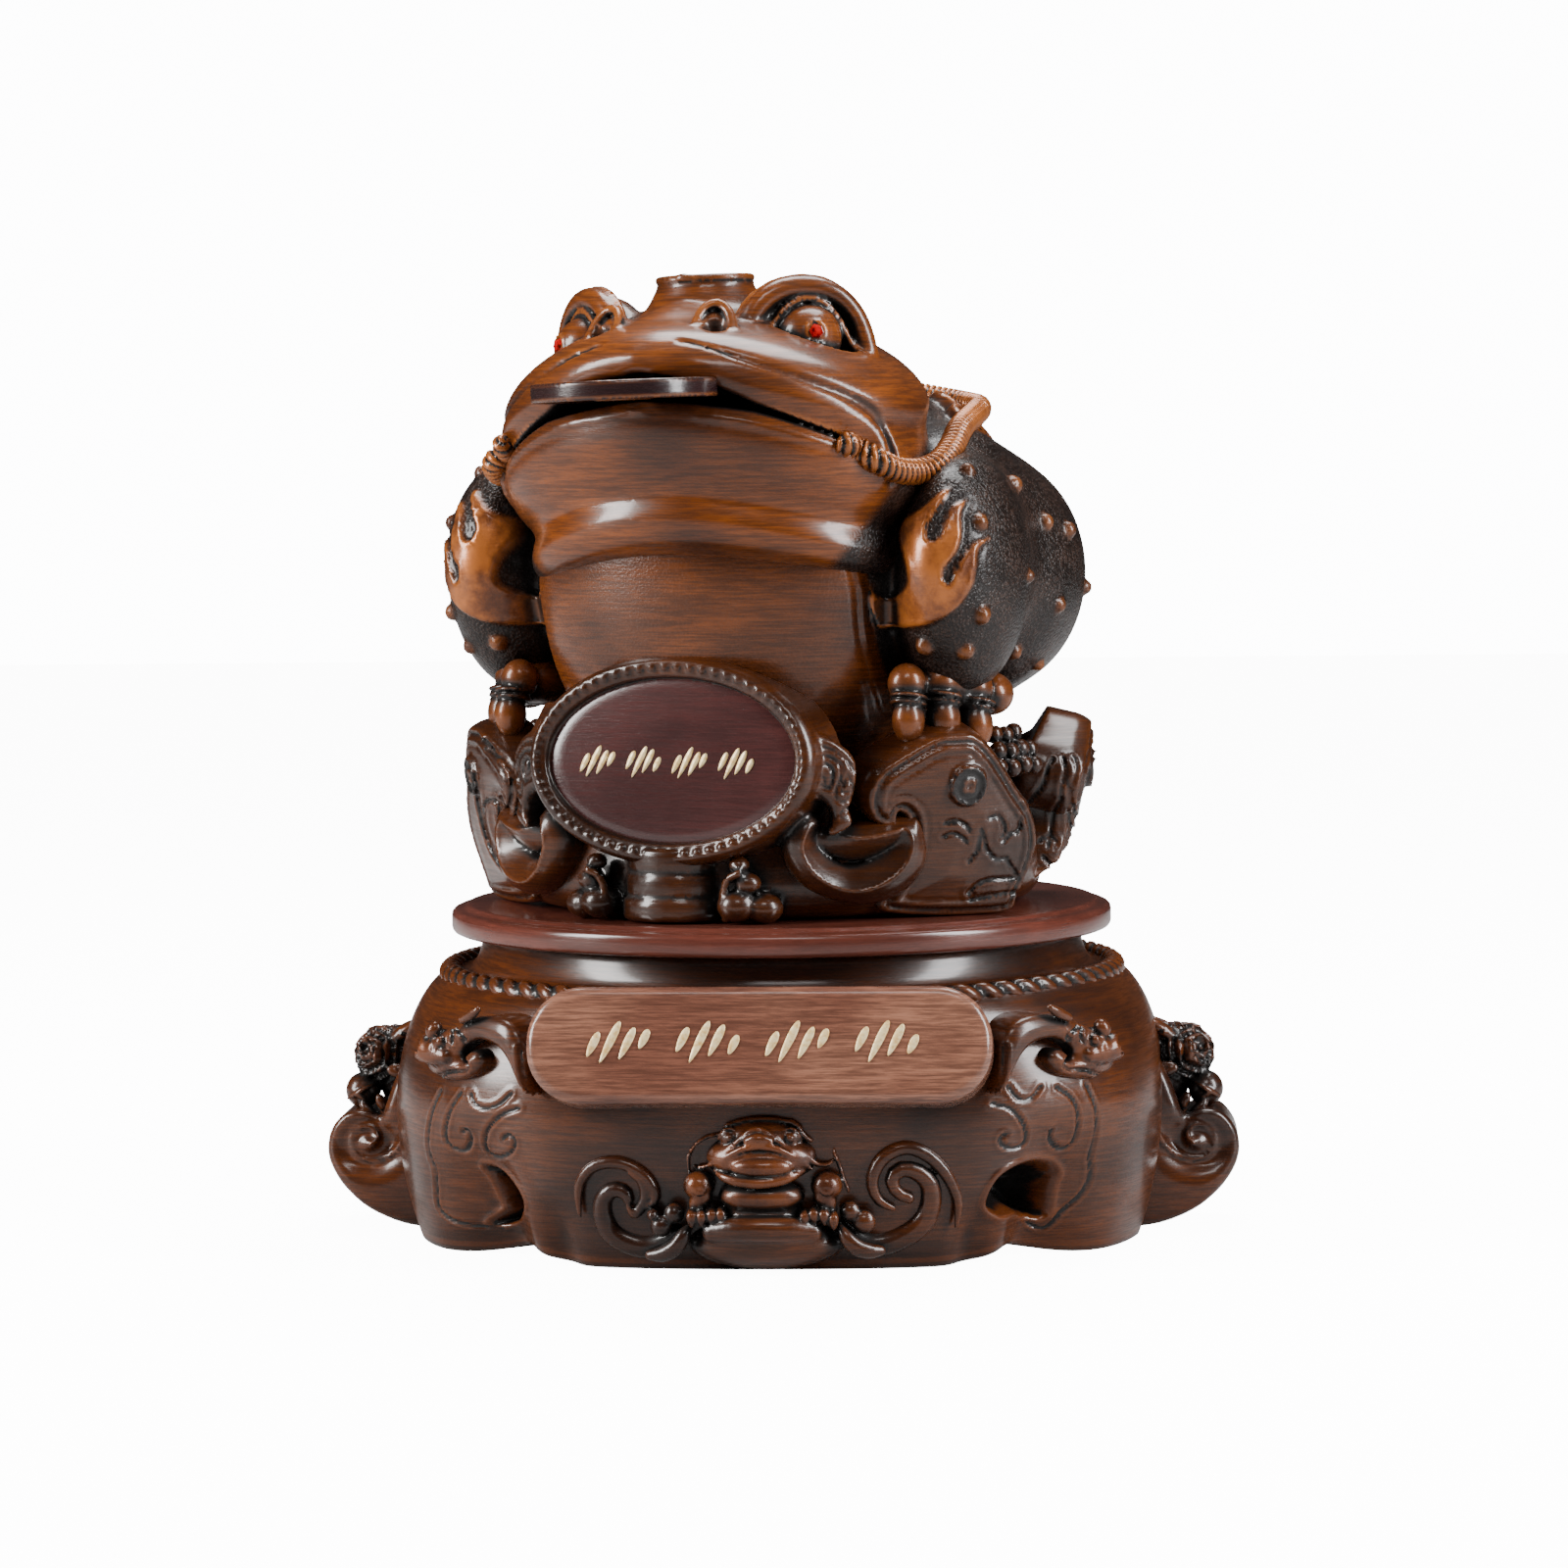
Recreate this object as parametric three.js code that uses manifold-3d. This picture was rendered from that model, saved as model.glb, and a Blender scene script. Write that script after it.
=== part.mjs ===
// A cast money toad on a ring of scroll ingots, standing on a turntable disc over a lobed, carved pedestal.
// Millimetres, +Z up, origin in the middle of the pedestal's underside, the pedestal's name board faces -Y.

import * as THREE from "three";
import { mergeVertices } from "three/addons/utils/BufferGeometryUtils.js";
import Module from "manifold-3d";

const wasm = await Module();
wasm.setup();

// Driving sizes.
const TOUCH_GAP = 0.3; // between pieces that rest on or in each other
const PEDESTAL_HEIGHT = 99;
const PEDESTAL_HALF_WIDTH = 128;
const PEDESTAL_HALF_DEPTH = 112;
const NECK_RADIUS = 99;
const NECK_FOOT_RADIUS = 103;
const NECK_HEIGHT = 12;
const ROPE_RING_RADIUS = 108;
const ROPE_RING_THICKNESS = 8.4;
const BOARD_WIDTH = 146;
const BOARD_HEIGHT = 37;
const BOARD_THICKNESS = 26;
const BOARD_CORNER = 17;
const BOARD_LEAN = 0.2; // radians, the top leans back
const SIDE_SCROLL_REACH = 152.5; // from the axis to the outside of the side scrolls
const SIDE_SCROLL_DEPTH = 52.5; // from its outside to where it is rooted in the drum
const SIDE_SCROLL_WIDTH = 42;
const DISC_RADIUS = 110;
const DISC_THICKNESS = 9.4;
const DISC_EDGE_STEP = 2.6;
const PIVOT_RADIUS = 21;
const PIVOT_LENGTH = 11;
const PIVOT_CLEARANCE = 0.4;
const PIVOT_END_CLEARANCE = 1.2;
const FIGURE_HEIGHT = 205.8; // from the disc to the top of the toad's crown
const FIGURE_TURN = THREE.MathUtils.degToRad(-20.5); // the toad looks to the left of the name board
const COIN_RADIUS = 29.3;
const COIN_THICKNESS = 6;
const COIN_RIM_WIDTH = 3.2;
const COIN_RIM_STEP = 0.9;
const COIN_HOLE = 11;
const EYE_GEM_RADIUS = 2.9;
const BACK_GEM_RADIUS = 2.6;

const SHOULDER_HEIGHT = PEDESTAL_HEIGHT - NECK_HEIGHT;
const DISC_BOTTOM = PEDESTAL_HEIGHT + TOUCH_GAP;
const DISC_TOP = DISC_BOTTOM + DISC_THICKNESS;
const FIGURE_BASE = DISC_TOP + TOUCH_GAP;
const CARVING_HEIGHT = 206; // the figure's carving below is given in millimetres at this height
const FIGURE_SHARE = FIGURE_HEIGHT / CARVING_HEIGHT;
const PEDESTAL_CARVING_HEIGHT = 99; // and the pedestal's at this one
const PEDESTAL_SHARE = PEDESTAL_HEIGHT / PEDESTAL_CARVING_HEIGHT;

const WALNUT = new THREE.MeshStandardMaterial({ color: 0x6b3d22, roughness: 0.35, metalness: 0.1 });
const DISC_FINISH = new THREE.MeshStandardMaterial({ color: 0x4a2b26, roughness: 0.4, metalness: 0.05 });
const COIN_FINISH = new THREE.MeshStandardMaterial({ color: 0x3a2425, roughness: 0.35, metalness: 0.2 });
const GEM_FINISH = new THREE.MeshStandardMaterial({ color: 0xa51c1c, roughness: 0.1, metalness: 0 });

const { degToRad, smoothstep } = THREE.MathUtils;

// Turns a closed geometry into a solid that can be joined and cut.
function solid(geometry) {
  const bare = geometry.clone();
  bare.deleteAttribute("normal");
  bare.deleteAttribute("uv");
  const merged = mergeVertices(bare, 1e-3);
  return new wasm.Manifold(
    new wasm.Mesh({
      numProp: 3,
      vertProperties: new Float32Array(merged.attributes.position.array),
      triVerts: new Uint32Array(merged.index.array),
    }),
  );
}

// Gives a solid back as a named mesh.
function mesh(name, shape, material) {
  const { vertProperties, triVerts } = shape.getMesh();
  const geometry = new THREE.BufferGeometry();
  geometry.setAttribute("position", new THREE.BufferAttribute(vertProperties, 3));
  geometry.setIndex(new THREE.BufferAttribute(triVerts, 1));
  geometry.computeVertexNormals();
  const made = new THREE.Mesh(geometry, material);
  made.name = name;
  return made;
}

// Moves every vertex of a geometry by a function of its place.
function reshape(geometry, change) {
  const place = new THREE.Vector3();
  const position = geometry.attributes.position;
  for (let i = 0; i < position.count; i++) {
    change(place.fromBufferAttribute(position, i));
    position.setXYZ(i, place.x, place.y, place.z);
  }
  return geometry;
}

// The same geometry on the other side of the plane X = 0, with its faces turned back outwards.
function mirrored(geometry) {
  const other = geometry.index ? geometry.toNonIndexed() : geometry.clone();
  const position = other.attributes.position;
  for (let i = 0; i < position.count; i += 3) {
    const corners = [0, 2, 1].map((k) => new THREE.Vector3().fromBufferAttribute(position, i + k));
    corners.forEach((corner, k) => position.setXYZ(i + k, -corner.x, corner.y, corner.z));
  }
  return other;
}

// Adds a geometry, and its mirror image where the form is a pair, to a solid.
const join = (shape, geometry) => shape.add(solid(geometry));
const joinPair = (shape, geometry) => join(join(shape, geometry), mirrored(geometry));

// An ellipsoid with its centre, its three half sizes and a turn about X, Y and Z. A coarse one is made a
// little larger, so that its flat faces lie half inside and half outside the true surface.
function blob([x, y, z], [rx, ry, rz], around = 12, down = 8, turn = [0, 0, 0]) {
  const ball = new THREE.SphereGeometry(1, around, down);
  ball.rotateX(Math.PI / 2);
  const swell = 1.5 - 0.5 * Math.cos(Math.PI / around);
  ball.scale(rx * swell, ry * swell, rz * (1.5 - 0.5 * Math.cos(Math.PI / (2 * down))));
  ball.applyMatrix4(new THREE.Matrix4().makeRotationFromEuler(new THREE.Euler(...turn)));
  return ball.translate(x, y, z);
}

// A turned form from [radius, height] pairs, from the axis at the bottom to the axis at the top.
function turned(profile, around) {
  const points = profile.map(([radius, height]) => new THREE.Vector2(radius, height));
  return new THREE.LatheGeometry(points, around).rotateX(Math.PI / 2);
}

// A tube through a few points, whose thickness may change along it.
function tube(points, radius, steps, sides = 6, thicknessAt = () => 1) {
  const route = new THREE.CatmullRomCurve3(points.map((p) => new THREE.Vector3(...p)));
  const section = new THREE.Shape();
  for (let i = 0; i < sides; i++) {
    const angle = (2 * Math.PI * i) / sides;
    const put = i ? "lineTo" : "moveTo";
    section[put](radius * Math.cos(angle), radius * Math.sin(angle));
  }
  const made = new THREE.ExtrudeGeometry(section, { extrudePath: route, steps });
  const middles = route.getSpacedPoints(steps);
  return reshape(made, (place) => {
    let nearest = 0;
    middles.forEach((m, i) => {
      if (m.distanceTo(place) < middles[nearest].distanceTo(place) - 1e-6) nearest = i;
    });
    place.sub(middles[nearest]).multiplyScalar(thicknessAt(nearest / steps)).add(middles[nearest]);
  });
}

// A flat spiral in the XZ plane: from its outer end in towards its middle.
function spiralPoints([x, y, z], outer, inner, from, turns, count) {
  return Array.from({ length: count + 1 }, (_, i) => {
    const share = i / count;
    const radius = outer * Math.pow(inner / outer, share);
    const angle = from + turns * 2 * Math.PI * share;
    return [x + radius * Math.cos(angle), y, z + radius * Math.sin(angle)];
  });
}

// Stands a form that was drawn at the front, facing -Y, at an angle round the axis: 0 at -Y, 90 at +X.
const aroundAxis = (geometry, degrees) => geometry.rotateZ(degToRad(degrees));

// Gives the pedestal's carving, drawn at its own height, the pedestal's height.
const carved = (geometry) => geometry.scale(1, 1, PEDESTAL_SHARE);

// The pedestal's radius at an angle from the front and a height: a squarish drum with a round shoulder,
// parted into lobes by hollows that run out upwards.
function pedestalRadius(angle, height) {
  const carvedHeight = height / PEDESTAL_SHARE;
  const power = 2.6;
  const across = Math.abs(Math.sin(angle)) / PEDESTAL_HALF_WIDTH;
  const deep = Math.abs(Math.cos(angle)) / PEDESTAL_HALF_DEPTH;
  const drum = Math.pow(Math.pow(across, power) + Math.pow(deep, power), -1 / power);
  const foot = 1 - 0.06 * Math.pow(1 - Math.min(1, carvedHeight / 45), 2);
  const over = Math.max(0, (height - SHOULDER_HEIGHT / 2) / (SHOULDER_HEIGHT / 2));
  const shoulder = 1 - Math.sqrt(1 - Math.pow(Math.min(1, over), 1.8));
  const round = THREE.MathUtils.lerp(drum * foot, ROPE_RING_RADIUS, shoulder);
  const degrees = Math.abs(THREE.MathUtils.radToDeg(angle));
  const fromFace = Math.min(degrees, 180 - degrees);
  const hollow = (at, width, depth, top) =>
    depth * Math.exp(-Math.pow((fromFace - at) / width, 2)) * (1 - smoothstep(carvedHeight, top / 3, top));
  return round - (hollow(47, 7, 13, 52) + hollow(34, 3, 4, 26) + hollow(84, 4, 8, 66));
}

// The lobed drum of the pedestal with its rope moulding and its neck, ring by ring from the ground up.
function pedestalDrum() {
  const [ring, half] = [ROPE_RING_RADIUS, ROPE_RING_THICKNESS / 2];
  const middle = SHOULDER_HEIGHT + 1;
  const moulding = [
    [ring + half, middle],
    [ring, middle + half],
    [NECK_FOOT_RADIUS, middle + 0.5 * half],
    [NECK_RADIUS, PEDESTAL_HEIGHT],
  ];
  const lobed = [0, 0.15, 0.34, 0.58, 0.8, 1].map((share) => share * (SHOULDER_HEIGHT - half));
  const levels = [...lobed.map((height) => [null, height]), ...moulding];
  const drum = new THREE.CylinderGeometry(1, 1, 1, 44, levels.length - 1).rotateX(Math.PI / 2);
  return reshape(drum, (place) => {
    const reach = Math.hypot(place.x, place.y);
    const angle = Math.atan2(place.x, -place.y);
    const [turnedRadius, height] = levels[Math.round((place.z + 0.5) * (levels.length - 1))];
    const radius = reach * (turnedRadius ?? pedestalRadius(angle, height));
    place.set(radius * Math.sin(angle), -radius * Math.cos(angle), height);
  });
}

// The name board: a thick slab with round corners that leans back against the drum.
function nameBoard() {
  const [w, h, c] = [BOARD_WIDTH / 2, BOARD_HEIGHT / 2, BOARD_CORNER];
  const outline = new THREE.Shape();
  outline.absarc(w - c, h - c, c, 0, Math.PI / 2);
  outline.absarc(-w + c, h - c, c, Math.PI / 2, Math.PI);
  outline.absarc(-w + c, -h + c, c, Math.PI, 1.5 * Math.PI);
  outline.absarc(w - c, -h + c, c, 1.5 * Math.PI, 2 * Math.PI);
  const bevel = { bevelThickness: 2, bevelSize: 2, bevelOffset: -2, bevelSegments: 1 };
  const slab = new THREE.ExtrudeGeometry(outline, { depth: BOARD_THICKNESS, curveSegments: 2, ...bevel });
  slab.translate(0, 0, -BOARD_THICKNESS);
  slab.rotateX(Math.PI / 2 - BOARD_LEAN);
  return slab.translate(0, -PEDESTAL_HALF_DEPTH - 11, 74 * PEDESTAL_SHARE);
}

// A side scroll in the plane through the axis: a horn that curls up and in at its end.
function sideScroll() {
  const reach = SIDE_SCROLL_REACH;
  const outline = new THREE.Shape();
  outline.moveTo(reach - SIDE_SCROLL_DEPTH, 0);
  outline.lineTo(reach - 28, 0);
  outline.bezierCurveTo(reach - 12, 1, reach, 12, reach, 26);
  outline.bezierCurveTo(reach, 37, reach - 7, 43, reach - 14, 42);
  outline.bezierCurveTo(reach - 22, 44, reach - 30, 58, reach - 34, 62);
  outline.lineTo(reach - SIDE_SCROLL_DEPTH, 62);
  const bevel = { bevelThickness: 7, bevelSize: 5, bevelOffset: -5, bevelSegments: 1 };
  const depth = SIDE_SCROLL_WIDTH - 14;
  const horn = new THREE.ExtrudeGeometry(outline, { depth, curveSegments: 3, ...bevel });
  horn.translate(0, 0, -depth / 2);
  return carved(horn.rotateX(Math.PI / 2));
}

// A peony head: a ball whose petals stand out in two staggered rows.
function peony([x, y, z], size) {
  const ball = new THREE.SphereGeometry(1, 8, 5).rotateY(Math.PI / 2);
  reshape(ball, (place) => {
    const angle = Math.atan2(place.y, place.z);
    const row = place.x > 0.35 ? Math.PI : 0;
    place.multiplyScalar(size * (1 + 0.13 * Math.cos(4 * angle + row)));
  });
  return carved(ball.translate(x, y, z));
}

// The small toad that squats under the name board, with the boat-shaped ingot that it sits on.
function joinSmallToad(shape) {
  const front = -PEDESTAL_HALF_DEPTH;
  const single = [
    blob([0, front + 7, 12], [33, 17, 13], 10, 4),
    blob([0, front - 5, 28], [15, 13, 13], 8, 5),
    blob([0, front - 4, 41], [23, 15, 8.5], 10, 4),
  ];
  const paired = [
    blob([11, front - 3, 49], [4.5, 5, 4.5], 5, 3),
    blob([21, front - 1, 31], [8, 8, 8], 5, 3),
    blob([20, front - 6, 21], [9, 7, 4], 5, 3),
  ];
  return paired.map(carved).reduce(joinPair, single.map(carved).reduce(join, shape));
}

// A sceptre-headed bracket beside the name board: a trunk that arches out to a broad head.
function joinBracket(shape) {
  const front = -PEDESTAL_HALF_DEPTH;
  const trunk = [
    [72, front + 2, 54],
    [74, front + 1, 66],
    [79, front + 7, 80],
    [90, front + 15, 80],
    [97, front + 20, 70],
  ];
  const made = joinPair(shape, carved(tube(trunk, 5.5, 6, 4)));
  return joinPair(made, carved(blob([99, front + 23, 67], [13, 12, 11], 8, 4, [0, 0, 0.7])));
}

// The scrolls at the foot, beside the small toad.
function joinFootScrolls(shape) {
  const spiral = spiralPoints([45, -PEDESTAL_HALF_DEPTH + 3, 26], 13, 4, -2.4, 1.2, 14);
  return joinPair(shape, carved(tube(spiral, 4, 10, 4)));
}

function pedestal() {
  let shape = solid(pedestalDrum());
  for (const side of [0, Math.PI]) {
    shape = join(shape, sideScroll().rotateZ(side));
    shape = join(shape, peony([SIDE_SCROLL_REACH - 17, 0, 57], 10.5).rotateZ(side));
    const bud = carved(blob([SIDE_SCROLL_REACH - 11, -4, 45], [6.5, 7, 6.5], 5, 3));
    shape = join(shape, bud.rotateZ(side));
  }
  shape = join(shape, nameBoard());
  shape = joinBracket(shape);
  shape = joinFootScrolls(shape);
  shape = joinSmallToad(shape);
  const pit = carved(blob([0, -PEDESTAL_HALF_DEPTH + 3, 17], [9, 11, 10], 6, 4));
  for (const degrees of [49, -49]) {
    shape = shape.subtract(solid(aroundAxis(pit.clone(), degrees)));
  }
  const socketRadius = PIVOT_RADIUS + PIVOT_CLEARANCE;
  const socketDepth = PIVOT_LENGTH - TOUCH_GAP + PIVOT_END_CLEARANCE;
  const socket = new THREE.CylinderGeometry(socketRadius, socketRadius, 2 * socketDepth, 20);
  shape = shape.subtract(solid(socket.rotateX(Math.PI / 2).translate(0, 0, PEDESTAL_HEIGHT)));
  const ground = new THREE.BoxGeometry(400, 400, 60).translate(0, 0, -30);
  return mesh("pedestal", shape.subtract(solid(ground)), WALNUT);
}

function turntableDisc() {
  const profile = [
    [0, DISC_BOTTOM - PIVOT_LENGTH],
    [PIVOT_RADIUS, DISC_BOTTOM - PIVOT_LENGTH],
    [PIVOT_RADIUS, DISC_BOTTOM],
    [DISC_RADIUS, DISC_BOTTOM],
    [DISC_RADIUS, DISC_TOP - 3.2],
    [DISC_RADIUS - DISC_EDGE_STEP, DISC_TOP],
    [0, DISC_TOP],
  ];
  return mesh("turntable_disc", solid(turned(profile, 32)), DISC_FINISH);
}

// The figure's own carving. Heights are from its underside, X and Y from the axis, the toad faces -Y.

const HEAD_CENTRE = [0, -48];
const HEAD_HALF = [72, 61];
const LIP_DROOP = 19; // how far the mouth's corners hang below its middle
const LIP_HEIGHT = 165;
const EYE = [37, -58, 185];
const EYE_LOOK = degToRad(40); // the eyes look this far out from straight ahead
const EYE_BALL = 10;

const HEAD_ROLL = degToRad(-2); // the head is held a little to one side
const HEAD_PIVOT = new THREE.Vector3(0, -48, LIP_HEIGHT);

// Tilts what belongs to the head, as a point or as a whole geometry.
function rolled(thing) {
  const back = new THREE.Matrix4().makeTranslation(HEAD_PIVOT);
  const turn = new THREE.Matrix4().makeRotationY(HEAD_ROLL);
  const away = new THREE.Matrix4().makeTranslation(HEAD_PIVOT.clone().negate());
  return thing.applyMatrix4(back.multiply(turn).multiply(away));
}

// Lets the head's sides hang, so that the mouth line is an arch.
function droop(place) {
  const share = Math.min(1.2, Math.abs(place.x) / HEAD_HALF[0]);
  place.z -= LIP_DROOP * share * share;
}

// The skull and jaw are one turned form made oval. The mouth is a groove in its profile that runs out
// towards the mouth's corners: each pair is [radius with the mouth shut, radius with it open, height].
function headForm() {
  const profile = [
    [0, 0, 116],
    [0.72, 0.72, 119],
    [0.86, 0.86, 128],
    [0.86, 0.86, 140],
    [0.985, 0.985, 155],
    [0.985, 0.965, 164],
    [0.975, 0.4, 165],
    [0.97, 0.4, 177],
    [0.95, 0.95, 178.5],
    [0.86, 0.86, 183],
    [0.65, 0.65, 192],
    [0.3, 0.3, 196],
    [0, 0, 196.5],
  ];
  const points = profile.map((_, i) => new THREE.Vector2(i % (profile.length - 1) ? 1 : 0, i));
  const form = new THREE.LatheGeometry(points, 18).rotateX(Math.PI / 2);
  reshape(form, (place) => {
    const [shut, open, height] = profile[Math.round(place.z)];
    const angle = Math.abs(Math.atan2(place.x, -place.y));
    const gape = 1 - smoothstep(angle, degToRad(40), degToRad(78));
    const radius = THREE.MathUtils.lerp(shut, open, gape);
    const lipHeight = THREE.MathUtils.lerp(172, height, gape);
    const inMouth = height > 163 && height < 179;
    place.set(place.x * radius * HEAD_HALF[0], place.y * radius * HEAD_HALF[1], inMouth ? lipHeight : height);
    place.x += HEAD_CENTRE[0];
    place.y += HEAD_CENTRE[1];
  });
  return reshape(form, droop);
}

function joinHead(shape) {
  let made = join(shape, rolled(headForm()));
  const crown = [
    [0, 180],
    [31, 184],
    [20, 194],
    [15, 203],
    [14.6, CARVING_HEIGHT],
    [0, CARVING_HEIGHT],
  ];
  made = join(made, rolled(turned(crown, 10).translate(0, -52, 0)));
  const [ex, ey, ez] = EYE;
  const look = [Math.sin(EYE_LOOK), -Math.cos(EYE_LOOK)];
  const turn = [0, 0, EYE_LOOK];
  const lid = blob([ex - 5 * look[0], ey - 5 * look[1], ez - 4], [22, 12, 19.5], 10, 6, turn);
  const hollow = blob([ex + 12 * look[0], ey + 12 * look[1], ez - 1], [14, 13, 13], 8, 5, turn);
  const ball = blob([ex + 3 * look[0], ey + 3 * look[1], ez], [EYE_BALL, EYE_BALL, EYE_BALL], 8, 5);
  const nostril = new THREE.TorusGeometry(4, 1.5, 3, 7).scale(1, 1, 1.3).rotateX(0.8).translate(17, -84, 188);
  for (const side of [(geometry) => geometry, mirrored]) {
    made = join(made, rolled(side(lid)));
    made = made.subtract(solid(rolled(side(hollow))));
    made = join(made, rolled(side(ball)));
    made = join(made, rolled(side(nostril)));
  }
  return made;
}

const BACK = { centre: [0, 16, 104], half: [79, 62, 75] };
const SHOULDER = { centre: [71, -37, 112], half: [27, 31, 35] };
const HAUNCH = { centre: [67, 22, 105], half: [31, 43, 43] };

function joinBody(shape) {
  let made = join(shape, blob([0, -25, 92], [62, 62, 64], 14, 7));
  made = join(made, blob(BACK.centre, BACK.half, 14, 7));
  made = joinPair(made, blob(SHOULDER.centre, SHOULDER.half, 9, 6));
  made = joinPair(made, blob([73, -37, 88], [18, 20, 30], 7, 5));
  made = joinPair(made, blob(HAUNCH.centre, HAUNCH.half, 9, 6));
  made = joinPair(made, blob([53, -6, 130], [22, 30, 25], 7, 4));
  return join(made, blob([0, 66, 78], [24, 24, 40], 8, 5));
}

// A foot: three long toes side by side over the ring's edge, with a knuckle across them.
function footToe(share) {
  const angle = degToRad(66 + 17 * share);
  const [x, y] = [Math.sin(angle), -Math.cos(angle)];
  return blob([84 * x, 84 * y, 68], [5, 9, 10], 5, 3, [0, 0, angle]);
}

function joinFeet(shape) {
  let made = shape;
  for (const share of [-1, 0, 1]) {
    made = joinPair(made, footToe(share));
  }
  made = joinPair(made, blob([80, -2, 73], [8, 9, 8], 5, 3));
  made = joinPair(made, blob([69, -37, 66], [16, 24, 14], 7, 4));
  return join(made, blob([0, 90, 62], [16, 12, 9], 6, 4));
}

// A scroll ingot that stands on the ring: a sceptre head in outline, leaning out, with a coin on its face.
function scrollIngot(width, height) {
  const half = width / 2;
  const outline = new THREE.Shape();
  outline.moveTo(-0.48 * half, 0);
  outline.lineTo(0.48 * half, 0);
  outline.bezierCurveTo(0.85 * half, 0.06 * height, 1.02 * half, 0.3 * height, 0.98 * half, 0.52 * height);
  outline.bezierCurveTo(0.9 * half, 0.74 * height, 0.42 * half, 0.76 * height, 0.26 * half, 0.92 * height);
  outline.bezierCurveTo(0.15 * half, height, -0.15 * half, height, -0.26 * half, 0.92 * height);
  outline.bezierCurveTo(-0.42 * half, 0.76 * height, -0.9 * half, 0.74 * height, -0.98 * half, 0.52 * height);
  outline.bezierCurveTo(-1.02 * half, 0.3 * height, -0.85 * half, 0.06 * height, -0.48 * half, 0);
  const bevel = { bevelThickness: 4, bevelSize: 3, bevelOffset: -3, bevelSegments: 1 };
  const plate = new THREE.ExtrudeGeometry(outline, { depth: 12, curveSegments: 2, ...bevel });
  return plate.translate(0, 0, -12).rotateX(Math.PI / 2);
}

const INGOT_LEAN = 0.24;
const INGOT_FACE = 90; // from the axis to the foot of the ingot's face
// Each ingot's angle round the ring, its width, how it is turned on the spot, and how far it stands inwards.
const INGOTS = [
  [60, 58, -14, 2.5],
  [-60, 58, 14, 2.5],
  [113, 50, 0, 0],
  [-113, 50, 0, 0],
  [180, 58, 0, 0],
];

function joinIngots(shape) {
  let made = shape;
  for (const [degrees, width, swing, inset] of INGOTS) {
    const place = (form) => {
      form.rotateZ(degToRad(swing)).rotateX(INGOT_LEAN).translate(0, inset - INGOT_FACE, 0);
      return aroundAxis(form, degrees);
    };
    made = join(made, place(scrollIngot(width, 58)));
    const coin = new THREE.CylinderGeometry(6.2, 6.2, 5, 6).translate(0, -4.5, 0);
    made = join(made, place(coin.translate(0, 0, 39)));
  }
  return joinPair(made, blob([78, 9, 40], [18, 18, 17], 7, 4)); // a heap of pearls in each side gap
}

function ringOfIngots() {
  const ring = [
    [0, 0],
    [84, 0],
    [93, 5],
    [95, 15],
    [90, 26],
    [80, 34],
    [60, 50],
    [0, 50],
  ];
  return joinIngots(solid(turned(ring, 22)));
}

// The oval plaque with its frame, a thick oval drum that leans back a little.
function joinPlaque(shape) {
  const profile = [
    [0, 0],
    [1, 0],
    [0.98, 22],
    [0.9, 23],
    [0.87, 21],
    [0, 25],
  ];
  const plaque = turned(profile, 18).scale(49, 34, 1);
  plaque.rotateX(Math.PI / 2 - 0.1).translate(0, -66, 51.5);
  let made = join(shape, plaque);
  const wing = [
    [44, -74, 58],
    [56, -70, 50],
    [60, -68, 36],
    [50, -74, 28],
    [42, -80, 22],
    [46, -82, 10],
    [60, -76, 6],
    [74, -66, 14],
  ];
  made = joinPair(made, tube(wing, 7, 8, 4));
  const stack = [
    [0, 0],
    [17, 0],
    [17, 7],
    [15.5, 7.5],
    [15.5, 24],
    [0, 24],
  ];
  made = join(made, turned(stack, 10).translate(0, -80, 0));
  return joinPair(made, turned(stack, 6).scale(0.62, 0.62, 0.7).translate(29, -78, 0));
}

// Warts on the limbs: which limb, the angle round from the front, the angle up, and the wart's size.
const LIMB_WARTS = [
  [SHOULDER, 20, 40, 4],
  [SHOULDER, 62, 42, 4.4],
  [SHOULDER, 30, -38, 4.4],
  [HAUNCH, 84, 8, 5],
  [HAUNCH, 104, -24, 4.2],
];

// The seven back warts that carry stones, laid out like a ladle, as places over the back.
const BACK_STARS = [
  [30, 24],
  [16, 36],
  [0, 30],
  [-14, 42],
  [-34, 38],
  [-36, 56],
  [-14, 62],
];
// The height of the back's surface over a place, and the direction that it faces there.
function onBack(x, y) {
  const [cx, cy, cz] = BACK.centre;
  const [rx, ry, rz] = BACK.half;
  const rise = Math.sqrt(1 - ((x - cx) / rx) ** 2 - ((y - cy) / ry) ** 2);
  const place = new THREE.Vector3(x, y, cz + rz * rise);
  const facing = new THREE.Vector3((x - cx) / rx ** 2, (y - cy) / ry ** 2, rise / rz).normalize();
  return { place, facing };
}

function joinWarts(shape) {
  let made = shape;
  for (const [{ centre, half }, around, up, size] of LIMB_WARTS) {
    const [a, e] = [degToRad(around), degToRad(up)];
    const facing = [Math.sin(a) * Math.cos(e), -Math.cos(a) * Math.cos(e), Math.sin(e)];
    const place = centre.map((value, axis) => value + 0.97 * half[axis] * facing[axis]);
    made = joinPair(made, blob(place, [size, size, size], 4, 2));
  }
  for (const [x, y] of BACK_STARS) {
    const { place } = onBack(x, y);
    made = join(made, blob(place.toArray(), [5.5, 5.5, 4.5], 6, 3));
  }
  return made;
}

const ROPE_ROUTE = [
  [56, -80, 152],
  [64, -80, 147],
  [72, -62, 144],
  [71, -38, 148],
  [67, -10, 156],
  [60, 18, 159],
  [47, 38, 161],
  [25, 50, 165],
  [0, 54, 166],
];

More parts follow.
